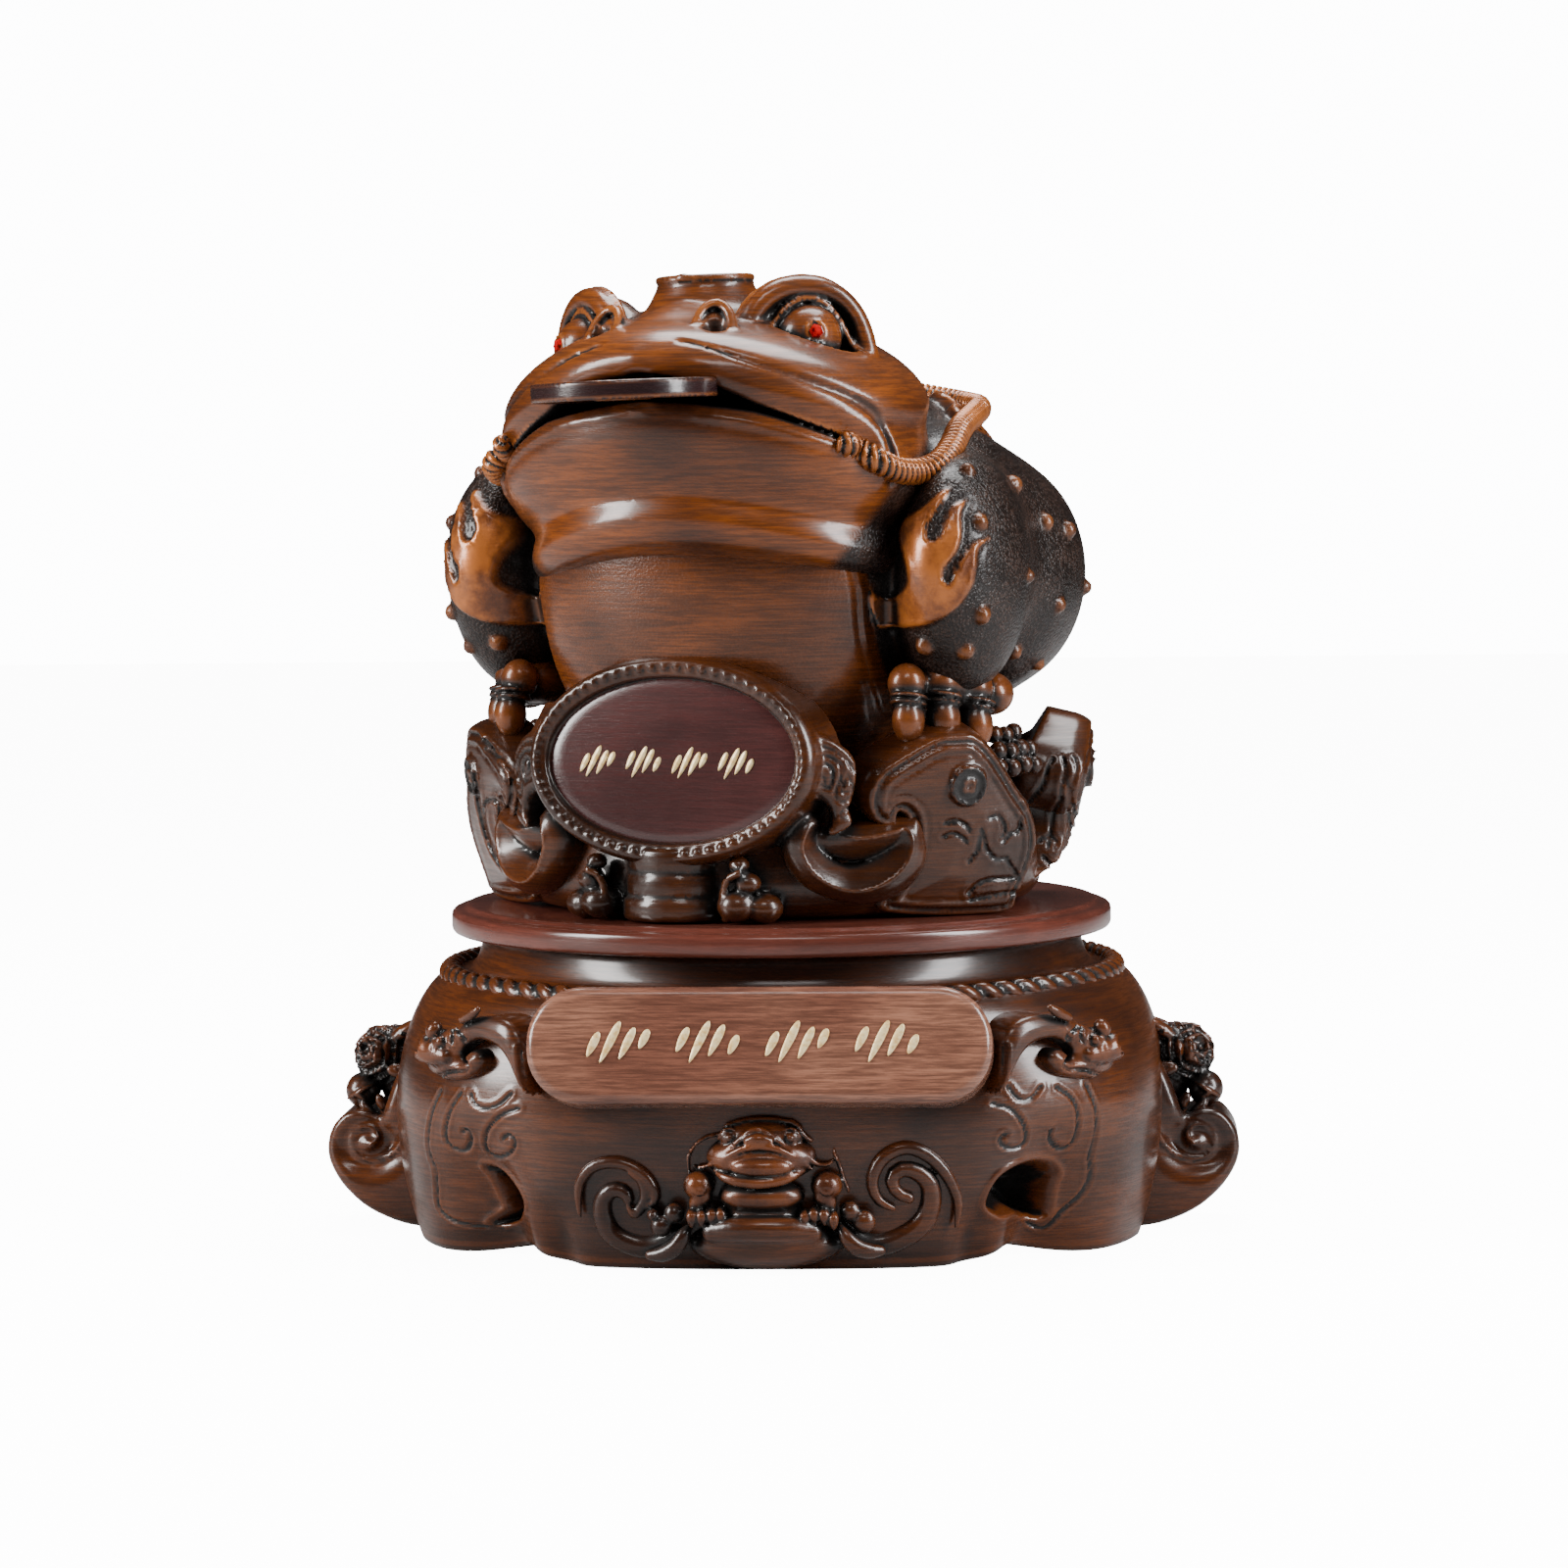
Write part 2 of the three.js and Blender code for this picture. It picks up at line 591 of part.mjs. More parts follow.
function joinRope(shape) {
  const other = ROPE_ROUTE.slice(0, -1).reverse().map(([x, y, z]) => [-x, y, z]);
  return join(shape, tube([...ROPE_ROUTE, ...other], 3.4, 24, 4));
}

// A coin that lies on the back, tilted with it.
function backCoin(x, y, size) {
  const { place, facing } = onBack(x, y);
  const coin = new THREE.CylinderGeometry(size, size, 7, 7);
  const turn = new THREE.Quaternion().setFromUnitVectors(new THREE.Vector3(0, 1, 0), facing);
  return coin.applyQuaternion(turn).translate(...place.addScaledVector(facing, -0.5).toArray());
}

function gemShape(radius) {
  const profile = [
    [0, -0.7 * radius],
    [radius, 0],
    [0.6 * radius, 0.6 * radius],
    [0, 0.62 * radius],
  ];
  return turned(profile, 6);
}

// Every stone: its name, its size, its middle and the way it faces, in the carving's own measure.
function stones() {
  const [ex, ey, ez] = EYE;
  const list = [];
  for (const side of [-1, 1]) {
    const facing = new THREE.Vector3(side * Math.sin(EYE_LOOK), -Math.cos(EYE_LOOK), 0.06).normalize();
    const place = new THREE.Vector3(side * (ex + 3 * Math.sin(EYE_LOOK)), ey - 3 * Math.cos(EYE_LOOK), ez);
    rolled(place.addScaledVector(facing, EYE_BALL));
    list.push({ name: side < 0 ? "eye_gem_right" : "eye_gem_left", radius: EYE_GEM_RADIUS, place, facing });
  }
  BACK_STARS.forEach(([x, y], i) => {
    const { place, facing } = onBack(x, y);
    place.addScaledVector(facing, 3.9);
    list.push({ name: `back_gem_${i + 1}`, radius: BACK_GEM_RADIUS, place, facing });
  });
  return list;
}

// A stone's form at its place in the figure, larger all round by a clearance.
function stoneForm({ radius, place, facing }, clearance) {
  const turn = new THREE.Quaternion().setFromUnitVectors(new THREE.Vector3(0, 0, 1), facing);
  const middle = place.clone().multiplyScalar(FIGURE_SHARE);
  return gemShape(radius + clearance).applyQuaternion(turn).translate(...middle.toArray());
}

const COIN_PLACE = [-2, -112, LIP_HEIGHT + 0.6];

// The loose coin, and the space that the figure leaves for it.
function coinForm() {
  const [r, t] = [COIN_RADIUS, COIN_THICKNESS / 2];
  const inside = r - COIN_RIM_WIDTH;
  const profile = [
    [0, -t + COIN_RIM_STEP],
    [inside, -t + COIN_RIM_STEP],
    [inside, -t],
    [r, -t],
    [r, t],
    [inside, t],
    [inside, t - COIN_RIM_STEP],
    [0, t - COIN_RIM_STEP],
  ];
  const hole = new THREE.BoxGeometry(COIN_HOLE, COIN_HOLE, 2 * COIN_THICKNESS);
  return solid(turned(profile, 20).rotateY(HEAD_ROLL)).subtract(solid(hole.rotateY(HEAD_ROLL)));
}

function coinSpace() {
  const radius = COIN_RADIUS + 3 * TOUCH_GAP;
  const height = COIN_THICKNESS + 2 * TOUCH_GAP;
  return new THREE.CylinderGeometry(radius, radius, height, 20).rotateX(Math.PI / 2).rotateY(HEAD_ROLL);
}

function coinMiddle() {
  const [x, y, z] = COIN_PLACE.map((value) => value * FIGURE_SHARE);
  return new THREE.Vector3(x, y, z + TOUCH_GAP + COIN_THICKNESS / 2);
}

function toadFigure() {
  let shape = ringOfIngots();
  for (const stage of [joinPlaque, joinBody, joinFeet, joinHead, joinWarts, joinRope]) {
    shape = stage(shape);
  }
  for (const [x, y, size] of [[46, 40, 11], [58, 24, 10], [-46, 44, 11], [-58, 26, 10]]) {
    shape = join(shape, backCoin(x, y, size));
  }
  const ground = new THREE.BoxGeometry(400, 400, 60).translate(0, 0, -30);
  shape = shape.subtract(solid(ground)).scale(FIGURE_SHARE);
  for (const stone of stones()) {
    shape = shape.subtract(solid(stoneForm(stone, TOUCH_GAP)));
  }
  shape = shape.subtract(solid(coinSpace().translate(...coinMiddle().toArray())));
  return mesh("toad_figure", shape, WALNUT);
}

const figure = new THREE.Group();
figure.position.z = FIGURE_BASE;
figure.rotation.z = FIGURE_TURN;
figure.add(toadFigure());
const coin = mesh("mouth_coin", coinForm(), COIN_FINISH);
coin.position.copy(coinMiddle());
figure.add(coin);
for (const stone of stones()) {
  figure.add(mesh(stone.name, solid(stoneForm(stone, 0)), GEM_FINISH));
}

const toad = new THREE.Group();
toad.add(pedestal(), turntableDisc(), figure);

export default toad;
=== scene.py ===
"""Looks of the money toad figure: carved surfaces, walnut and copper finishes, studio and camera.

Carving is worked out in millimetres as distance fields: a field gives every point its distance to the
surface, negative inside. A field is sampled on a grid near the surface, a mesh is drawn through the places
where it is zero, and each vertex is then moved onto the exact surface.
"""

import logging
import math
from collections.abc import Callable, Sequence
from concurrent.futures import ThreadPoolExecutor
from dataclasses import dataclass, field
from enum import Enum
from typing import Protocol

import bpy
import numpy as np
from mathutils import Euler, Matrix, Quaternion, Vector
from numpy.typing import NDArray


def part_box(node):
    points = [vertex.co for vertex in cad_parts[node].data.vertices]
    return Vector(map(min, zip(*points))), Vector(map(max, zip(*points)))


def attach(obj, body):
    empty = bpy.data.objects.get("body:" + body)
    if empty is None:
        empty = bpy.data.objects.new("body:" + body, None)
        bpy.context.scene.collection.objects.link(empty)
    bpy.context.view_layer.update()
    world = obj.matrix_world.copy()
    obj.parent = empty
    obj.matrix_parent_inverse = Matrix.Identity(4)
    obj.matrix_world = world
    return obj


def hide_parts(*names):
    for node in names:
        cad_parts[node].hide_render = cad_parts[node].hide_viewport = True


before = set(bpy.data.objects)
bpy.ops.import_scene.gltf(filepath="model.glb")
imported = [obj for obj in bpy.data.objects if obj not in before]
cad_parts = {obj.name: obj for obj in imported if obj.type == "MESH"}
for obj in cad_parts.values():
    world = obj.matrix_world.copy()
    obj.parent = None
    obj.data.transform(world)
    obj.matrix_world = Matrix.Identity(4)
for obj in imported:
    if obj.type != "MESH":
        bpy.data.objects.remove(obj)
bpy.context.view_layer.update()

logging.basicConfig(level=logging.INFO, format="%(message)s")
log = logging.getLogger("money_toad")

Array = NDArray[np.float32]
Field = Callable[[Array], Array]
Place = tuple[float, float, float]
Box = tuple[Place, Place]
Trace = Sequence[Sequence[float]]  # places along a line, one after another


class Body(Enum):
    """The two bodies that pieces ride on."""

    PEDESTAL = "pedestal"
    TURNTABLE = "turntable"


MM = 0.001
FAR = 60.0  # mm, the distance of a point that nothing is near
REACH = 13.0  # mm, how far outside its own box a form is still worked out
BLOCK = 8  # grid points along the side of a block that is sampled together
WORKERS = 4
COARSER = 1.42  # how much coarser every net is than its own measure

FIGURE_TURN = math.radians(-20.5)  # the toad looks to the left of the name board
FIGURE_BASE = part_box("toad_figure")[0].z / MM
VIEW_TURN = math.radians(24.1)  # from the toad's front to the camera, towards the toad's left


def blended(first: Array, second: Array, width: float) -> Array:
    """Lower of two distances, rounded over a width: less (width - gap)^2 / (4 width) where they are close."""
    if width <= 0.0:
        return np.minimum(first, second)
    near = np.maximum(width - np.abs(first - second), 0.0)
    return np.minimum(first, second) - near * near * (0.25 / width)


def step_between(value: Array, low: float, high: float) -> Array:
    """Smooth step from 0 at low to 1 at high: 3t^2 - 2t^3 of the share t."""
    share = np.clip((value - low) / (high - low), 0.0, 1.0)
    return share * share * (3.0 - 2.0 * share)


def hump(value: Array, width: float) -> Array:
    """Bell curve exp(-(value / width)^2)."""
    return np.exp(-np.square(value / width))


def turned_by(degrees: Place) -> Array:
    """Rotation matrix for turns about X, then Y, then Z of the turned thing's own axes."""
    a, b, c = (math.radians(value) for value in degrees)
    about_x = np.array([[1, 0, 0], [0, math.cos(a), -math.sin(a)], [0, math.sin(a), math.cos(a)]])
    about_y = np.array([[math.cos(b), 0, math.sin(b)], [0, 1, 0], [-math.sin(b), 0, math.cos(b)]])
    about_z = np.array([[math.cos(c), -math.sin(c), 0], [math.sin(c), math.cos(c), 0], [0, 0, 1]])
    return (about_x @ about_y @ about_z).astype(np.float32)


def smooth_line(points: Trace, count: int, closed: bool = False) -> Array:
    """Curve through points, evenly spaced: a Catmull-Rom spline whose points are then spread by length.

    Args:
        points: The places that the curve passes.
        count: How many points to give back.
        closed: Whether the curve ends where it starts.

    Returns:
        The curve's points, one row each.
    """
    knots = np.asarray(points, float)
    if closed:
        before, after = knots[-1:], knots[:2]
        padded = np.vstack([before, knots, after])
    else:
        padded = np.vstack([2 * knots[0] - knots[1], knots, 2 * knots[-1] - knots[-2]])
    share = np.linspace(0.0, 1.0, 12, endpoint=False)[:, None]
    a, b, c, d = padded[:-3, None], padded[1:-2, None], padded[2:-1, None], padded[3:, None]
    cubic = (2 * b + (c - a) * share + (2 * a - 5 * b + 4 * c - d) * share**2
             + (3 * b - a - 3 * c + d) * share**3) / 2
    fine = np.vstack([cubic.reshape(-1, knots.shape[1]), padded[-2:-1]])
    lengths = np.r_[0.0, np.cumsum(np.linalg.norm(np.diff(fine, axis=0), axis=1))]
    wanted = np.linspace(0.0, lengths[-1], count)
    spread = [np.interp(wanted, lengths, fine[:, k]) for k in range(knots.shape[1])]
    return np.column_stack(spread).astype(np.float32)


def mirrored(points: Array) -> Array:
    """Points brought over to the side where x is positive."""
    folded = points.copy()
    folded[:, 0] = np.abs(points[:, 0])
    return folded


def grid_quads(rows: int, columns: int, round_rows: bool, round_columns: bool) -> Array:
    """Quads between neighbouring points of a grid.

    Args:
        rows: How many rows of points it has.
        columns: How many points each row has.
        round_rows: Whether the last row joins up with the first.
        round_columns: Whether each row's end joins up with its start.

    Returns:
        Four point numbers a row: a point, the one in the next row, the one after that and the one beside it.
    """
    i, j = np.meshgrid(np.arange(rows if round_rows else rows - 1),
                       np.arange(columns if round_columns else columns - 1), indexing="ij")
    below, beside = (i + 1) % rows, (j + 1) % columns
    quads = [i * columns + j, below * columns + j, below * columns + beside, i * columns + beside]
    return np.stack(quads, -1).reshape(-1, 4)


INWARD = [0, 3, 2, 1]  # the order of a quad's points that turns it over


class Drawing:
    """Lines or closed outlines on a flat chart, kept as a fine grid of distances that can be looked up."""

    def __init__(self, lines: Sequence[Array], closed: bool = False, margin: float = 8.0,
                 step: float = 0.35) -> None:
        """Measures the distance of every grid point to the nearest line piece.

        Args:
            lines: Each line's points as (u, v) rows in mm.
            closed: Whether the lines are closed outlines, whose inside counts as negative.
            margin: How far the grid reaches outside the lines.
            step: Spacing of the grid.
        """
        every = np.vstack(lines)
        self.low = every.min(0) - margin
        self.step = step
        counts = np.ceil((every.max(0) + margin - self.low) / step).astype(int) + 1
        u = self.low[0] + step * np.arange(counts[0])
        v = self.low[1] + step * np.arange(counts[1])
        grid_u, grid_v = (g.astype(np.float32) for g in np.meshgrid(u, v, indexing="ij"))
        best = np.full(grid_u.shape, 1e6, np.float32)
        inside = np.zeros(grid_u.shape, bool)
        for line in lines:
            ends = np.vstack([line, line[:1]]) if closed else line
            for (u0, v0), (u1, v1) in zip(ends[:-1], ends[1:]):
                du, dv = u1 - u0, v1 - v0
                along = (grid_u - u0) * du + (grid_v - v0) * dv
                share = np.clip(along / max(du * du + dv * dv, 1e-9), 0, 1)
                best = np.minimum(best, (grid_u - u0 - share * du) ** 2 + (grid_v - v0 - share * dv) ** 2)
                if closed and v0 != v1:
                    across = (v0 > grid_v) != (v1 > grid_v)
                    inside ^= across & (grid_u < u0 + (grid_v - v0) * du / dv)
        distance = np.sqrt(best)
        self.grid = np.where(inside, -distance, distance).astype(np.float32)

    def at(self, u: Array, v: Array) -> Array:
        """Distance at places on the chart, blended between the four grid points around each."""
        across = np.clip((u - self.low[0]) / self.step, 0, self.grid.shape[0] - 1.001)
        along = np.clip((v - self.low[1]) / self.step, 0, self.grid.shape[1] - 1.001)
        i, j = across.astype(np.int32), along.astype(np.int32)
        f, g = across - i, along - j
        lower = self.grid[i, j] * (1 - f) + self.grid[i + 1, j] * f
        upper = self.grid[i, j + 1] * (1 - f) + self.grid[i + 1, j + 1] * f
        return lower * (1 - g) + upper * g


class Form(Protocol):
    """A solid that gives its own box and distance: a ball, rod, plate, coin or stone's bezel."""

    def box(self) -> tuple[Array, Array]:
        """Lowest and highest corner."""

    def distance(self, points: Array) -> Array:
        """Distance of points to its surface, negative inside."""


@dataclass(frozen=True)
class Ball:
    """An ellipsoid with a middle, three half sizes and a turn about X, Y and Z in degrees."""

    centre: Place
    half: Place
    turn: Place = (0.0, 0.0, 0.0)

    def box(self) -> tuple[Array, Array]:
        """Lowest and highest corner."""
        reach = np.full(3, max(self.half)) if any(self.turn) else np.array(self.half)
        return np.array(self.centre) - reach, np.array(self.centre) + reach

    def distance(self, points: Array) -> Array:
        """Length of the point scaled to a unit ball, less one, over how fast that length grows there."""
        local = points - np.array(self.centre, np.float32)
        if any(self.turn):
            local = local @ turned_by(self.turn)
        half = np.array(self.half, np.float32)
        scaled = local / half
        length = np.sqrt(np.einsum("ij,ij->i", scaled, scaled))
        steep = scaled / half
        growth = np.sqrt(np.einsum("ij,ij->i", steep, steep))
        return length * (length - 1.0) / np.maximum(growth, 1e-4)


@dataclass(frozen=True)
class Rod:
    """A round bar through a row of points, with a radius at each."""

    route: Array
    radii: Array

    def box(self) -> tuple[Array, Array]:
        """Lowest and highest corner."""
        thick = float(np.max(self.radii))
        return self.route.min(0) - thick, self.route.max(0) + thick

    def distance(self, points: Array) -> Array:
        """Distance to the nearest piece of the route, less the radius there."""
        best = np.full(len(points), 1e6, np.float32)
        for i in range(len(self.route) - 1):
            start, axis = self.route[i], self.route[i + 1] - self.route[i]
            from_start = points - start
            share = np.clip(from_start @ axis / max(float(axis @ axis), 1e-9), 0.0, 1.0)
            away = from_start - share[:, None] * axis
            radius = self.radii[i] + (self.radii[i + 1] - self.radii[i]) * share
            best = np.minimum(best, np.sqrt(np.einsum("ij,ij->i", away, away)) - radius)
        return best


def rod(points: Sequence[Place], radii: Sequence[float] | float, count: int = 14) -> Rod:
    """Bar along a smooth curve through points, its radius blended from one given radius to the next."""
    knots = np.asarray(points, float)
    given = np.full(len(knots), radii) if np.isscalar(radii) else np.asarray(radii, float)
    curve = smooth_line(np.column_stack([knots, given]), count)
    return Rod(curve[:, :3].copy(), curve[:, 3].copy())


@dataclass(frozen=True)
class Plate:
    """A flat board cut to an outline: the outline lies in a plane with its own origin and axes."""

    outline: Drawing
    origin: Place
    axes: Array  # rows: along u, along v, outwards
    thick: float
    edge: float = 1.5  # radius of its rounded edges
    crown: float = 0.0  # how far its face bulges out in the middle, per mm from the edge

    def box(self) -> tuple[Array, Array]:
        """Lowest and highest corner, of a ball that holds the board."""
        sizes = np.array(self.outline.grid.shape) * self.outline.step
        middle = self.outline.low + sizes / 2
        centre = np.array(self.origin) + middle[0] * self.axes[0] + middle[1] * self.axes[1]
        reach = np.abs(self.axes.T) @ np.array([sizes[0] / 2 - 8, sizes[1] / 2 - 8, self.thick])
        return centre - reach, centre + reach

    def distance(self, points: Array) -> Array:
        """Rounded meeting of the distance to the outline and the distance to the two faces."""
        local = (points - np.array(self.origin, np.float32)) @ self.axes.T.astype(np.float32)
        rim = self.outline.at(local[:, 0], local[:, 1])
        half = self.thick / 2
        raised = self.crown * np.minimum(-rim, 16.0) * (local[:, 2] > -half)
        faces = np.abs(local[:, 2] + half) - half - np.maximum(raised, 0.0)
        corner = np.hypot(np.maximum(rim + self.edge, 0.0), np.maximum(faces + self.edge, 0.0))
        return corner + np.minimum(np.maximum(rim + self.edge, faces + self.edge), 0.0) - self.edge


class Clay:
    """A solid built up at a set of points by adding and cutting forms."""

    def __init__(self, points: Array) -> None:
        """Starts with nothing, at points in mm."""
        self.points = points
        self.folded = mirrored(points)
        self.value = np.full(len(points), FAR, np.float32)

    def _near(self, form: Form, points: Array) -> NDArray[np.int64]:
        """Numbers of the points that lie in or near a form's box."""
        low, high = form.box()
        return np.flatnonzero(np.all((points > low - REACH) & (points < high + REACH), axis=1))

    def add(self, form: Form, blend: float = 0.0, points: Array | None = None) -> None:
        """Joins a form on, with a rounded meeting of a width."""
        where = self.points if points is None else points
        near = self._near(form, where)
        if len(near):
            self.value[near] = blended(self.value[near], form.distance(where[near]), blend)

    def cut(self, form: Form, blend: float = 0.0, points: Array | None = None) -> None:
        """Takes a form away, with a rounded edge of a width."""
        where = self.points if points is None else points
        near = self._near(form, where)
        if len(near):
            self.value[near] = -blended(-self.value[near], form.distance(where[near]), blend)

    def pair(self, form: Form, blend: float = 0.0) -> None:
        """Joins a form and its mirror image on."""
        self.add(form, blend, self.folded)

    def raise_by(self, height: Callable[[Array], Array], deepest: float = 9.0) -> None:
        """Lifts the surface by a height worked out at the points near it."""
        near = np.flatnonzero(np.abs(self.value) < deepest)
        if len(near):
            self.value[near] -= height(self.points[near])


def in_parts(work: Field, points: Array) -> Array:
    """Runs a field over many points, in parts side by side."""
    parts = np.array_split(points, max(WORKERS, len(points) // 40000))
    with ThreadPoolExecutor(WORKERS) as pool:
        return np.concatenate(list(pool.map(work, parts)))


def sampled(work: Field, low: Array, high: Array, voxel: float) -> tuple[Array, Array]:
    """Samples a field on a grid, block by block, and only in blocks that the surface may cross.

    Args:
        work: The field.
        low: Lowest corner of the grid's box.
        high: Highest corner of the grid's box.
        voxel: Spacing of the grid.

    Returns:
        The grid of distances and its lowest corner.
    """
    blocks = np.ceil((high - low) / (voxel * BLOCK)).astype(int)
    number = np.indices(blocks).reshape(3, -1).T
    middles = (low + (number + 0.5) * BLOCK * voxel).astype(np.float32)
    coarse = in_parts(work, middles)
    near = np.abs(coarse) < 0.5 * math.sqrt(3) * BLOCK * voxel * 1.25
    values = np.where(coarse < 0, -FAR, FAR).astype(np.float32)
    grid = np.repeat(values[:, None], BLOCK**3, axis=1)
    inner = np.indices((BLOCK,) * 3).reshape(3, -1).T
    places = low + (number[near][:, None, :] * BLOCK + inner[None]) * voxel
    grid[near] = in_parts(work, places.reshape(-1, 3).astype(np.float32)).reshape(-1, BLOCK**3)
    shape = (*blocks, BLOCK, BLOCK, BLOCK)
    dense = grid.reshape(shape).transpose(0, 3, 1, 4, 2, 5).reshape(blocks * BLOCK)
    return np.ascontiguousarray(dense), low


CORNERS = np.array([[i, j, k] for i in (0, 1) for j in (0, 1) for k in (0, 1)])
EDGES = [(a, b) for a in range(8) for b in range(a + 1, 8) if np.abs(CORNERS[a] - CORNERS[b]).sum() == 1]


def net(values: Array, low: Array, voxel: float) -> tuple[Array, NDArray[np.int32]]:
    """Draws a net of quads where a grid of distances changes sign.

    Every cell that the surface crosses gets one vertex, at the mean of the crossings on its edges, and
    every grid edge that it crosses gets one quad between the four cells around it.

    Args:
        values: The grid of distances.
        low: Lowest corner of the grid.
        voxel: Spacing of the grid.

    Returns:
        The vertices in mm and the quads, turned outwards.
    """
    inside = values < 0
    count = np.zeros(np.array(values.shape) - 1, np.int8)
    nx, ny, nz = count.shape
    for i, j, k in CORNERS:
        count += inside[i : i + nx, j : j + ny, k : k + nz]
    active = (count > 0) & (count < 8)
    cells = np.argwhere(active)
    index = np.full(active.shape, -1, np.int32)
    index[active] = np.arange(len(cells), dtype=np.int32)
    corner = [values[tuple((cells + offset).T)] for offset in CORNERS]
    total = np.zeros((len(cells), 3), np.float32)
    crossings = np.zeros(len(cells), np.float32)
    for a, b in EDGES:
        cross = (corner[a] < 0) != (corner[b] < 0)
        share = corner[a] / np.where(cross, corner[a] - corner[b], 1.0)
        total += cross[:, None] * (CORNERS[a] + share[:, None] * (CORNERS[b] - CORNERS[a]))
        crossings += cross
    vertices = low + (cells + total / crossings[:, None]) * voxel
    quads = []
    for axis in range(3):
        one, two = (axis + 1) % 3, (axis + 2) % 3
        first = np.take(inside, range(values.shape[axis] - 1), axis)
        second = np.take(inside, range(1, values.shape[axis]), axis)
        edge = np.argwhere(first != second)
        edge = edge[(edge[:, one] > 0) & (edge[:, two] > 0)]
        edge = edge[(edge[:, one] < count.shape[one]) & (edge[:, two] < count.shape[two])]
        ring = np.empty((len(edge), 4), np.int32)
        for place, (back_one, back_two) in enumerate(((1, 1), (0, 1), (0, 0), (1, 0))):
            cell = edge.copy()
            cell[:, one] -= back_one
            cell[:, two] -= back_two
            ring[:, place] = index[tuple(cell.T)]
        turned_in = ~first[tuple(edge.T)]
        ring[turned_in] = ring[turned_in][:, ::-1]
        quads.append(ring)
    return vertices.astype(np.float32), np.vstack(quads)


def slope_of(work: Field, points: Array, reach: float = 0.25) -> tuple[Array, Array]:
    """A field and its slope at points, from steps of a small reach along X, Y and Z."""
    here = in_parts(work, points)
    steps = [in_parts(work, points + reach * np.eye(3, dtype=np.float32)[k]) for k in range(3)]
    return here, np.stack([(ahead - here) / reach for ahead in steps], axis=1)


@dataclass
class Carving:
    """A mesh drawn from a field, in mm, with the values that its finish reads."""

    vertices: Array
    quads: NDArray[np.int32]
    normals: Array
    masks: dict[str, Array] = field(default_factory=dict)


def carve(work: Field, box: Box, voxel: float) -> Carving:
    """Draws a field's surface inside a box and moves each vertex onto the exact surface.

    Args:
        work: The field.
        box: Lowest and highest corner in mm. The surface must lie inside it.
        voxel: Spacing of the net in mm.

    Returns:
        The mesh with its outward normals.
    """
    spacing = voxel * COARSER
    low, high = (np.array(corner, np.float32) for corner in box)
    values, corner = sampled(work, low, high, spacing)
    vertices, quads = net(values, corner, spacing)
    for _ in range(2):
        here, slope = slope_of(work, vertices)
        steep = np.maximum(np.einsum("ij,ij->i", slope, slope), 0.2)
        move = np.clip(here / steep, -0.6 * spacing, 0.6 * spacing)
        vertices = vertices - move[:, None] * slope
    _, slope = slope_of(work, vertices)
    normals = slope / np.maximum(np.linalg.norm(slope, axis=1, keepdims=True), 1e-6)
    return Carving(vertices.astype(np.float32), quads, normals.astype(np.float32))


def shade_and_wear_masks(carving: Carving, around: Field) -> None:
    """Adds how hollow and how exposed each vertex is, from the field a little above and below the surface.

    Above flat ground the field at a height equals the height. Less means a hollow, and below an edge the
    field is nearer to the surface than its depth.
    """
    # hollow: the finish darkens here as painted shade together with dark stain; ridge: where copper is rubbed
    # bare
    hollow = np.zeros(len(carving.vertices), np.float32)
    for height, weight in ((2.0, 0.35), (5.0, 0.35), (11.0, 0.3)):
        seen = in_parts(around, carving.vertices + height * carving.normals)
        hollow += weight * np.clip(1.0 - seen / height, 0.0, 1.0)
    ridge = np.zeros(len(carving.vertices), np.float32)
    for depth, weight in ((1.2, 0.5), (2.6, 0.5)):
        seen = in_parts(around, carving.vertices - depth * carving.normals)
        ridge += weight * np.clip(1.0 + seen / depth, 0.0, 1.0)
    carving.masks["hollow"] = hollow
    carving.masks["ridge"] = ridge


def to_world(vertices: Array) -> Array:
    """Figure millimetres to metres in the frame: turned with the toad and raised onto the disc."""
    c, s = math.cos(FIGURE_TURN), math.sin(FIGURE_TURN)
    turn = np.array([[c, -s, 0], [s, c, 0], [0, 0, 1]])
    return (vertices @ turn.T + [0, 0, FIGURE_BASE]) * MM


def make_piece(name: str, vertices: Array, faces: Array, masks: dict[str, Array], node: str, body: str,
               material: bpy.types.Material) -> bpy.types.Object:
    """Puts worked-out points and faces into a mesh object and enters it in the frame.

    Args:
        name: The piece's name.
        vertices: Places in metres, in the frame.
        faces: Rows of three or four vertex numbers.
        masks: A value for each vertex, by attribute name.
        node: The CAD node that it stands for.
        body: The body that it rides on.
        material: Its finish.

    Returns:
        The object.
    """
    mesh = bpy.data.meshes.new(name)
    sides = faces.shape[1]
    mesh.vertices.add(len(vertices))
    mesh.vertices.foreach_set("co", np.ascontiguousarray(vertices, np.float32).ravel())
    mesh.loops.add(faces.size)
    mesh.loops.foreach_set("vertex_index", np.ascontiguousarray(faces, np.int32).ravel())
    mesh.polygons.add(len(faces))
    mesh.polygons.foreach_set("loop_start", np.arange(0, faces.size, sides, dtype=np.int32))
    mesh.update(calc_edges=True)
    mesh.shade_smooth()
    for mask, values in masks.items():
        attribute = mesh.attributes.new(mask, "FLOAT", "POINT")
        attribute.data.foreach_set("value", np.ascontiguousarray(values, np.float32))
    mesh.materials.append(material)
    piece = bpy.data.objects.new(name, mesh)
    bpy.context.scene.collection.objects.link(piece)
    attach(piece, body)
    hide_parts(node)
    log.info("%s: %d triangles", name, len(faces) * (sides - 2))
    return piece


HEAD_TURN = math.radians(2.0)  # the head is held a little to one side
LIP_HEIGHT = 165.0


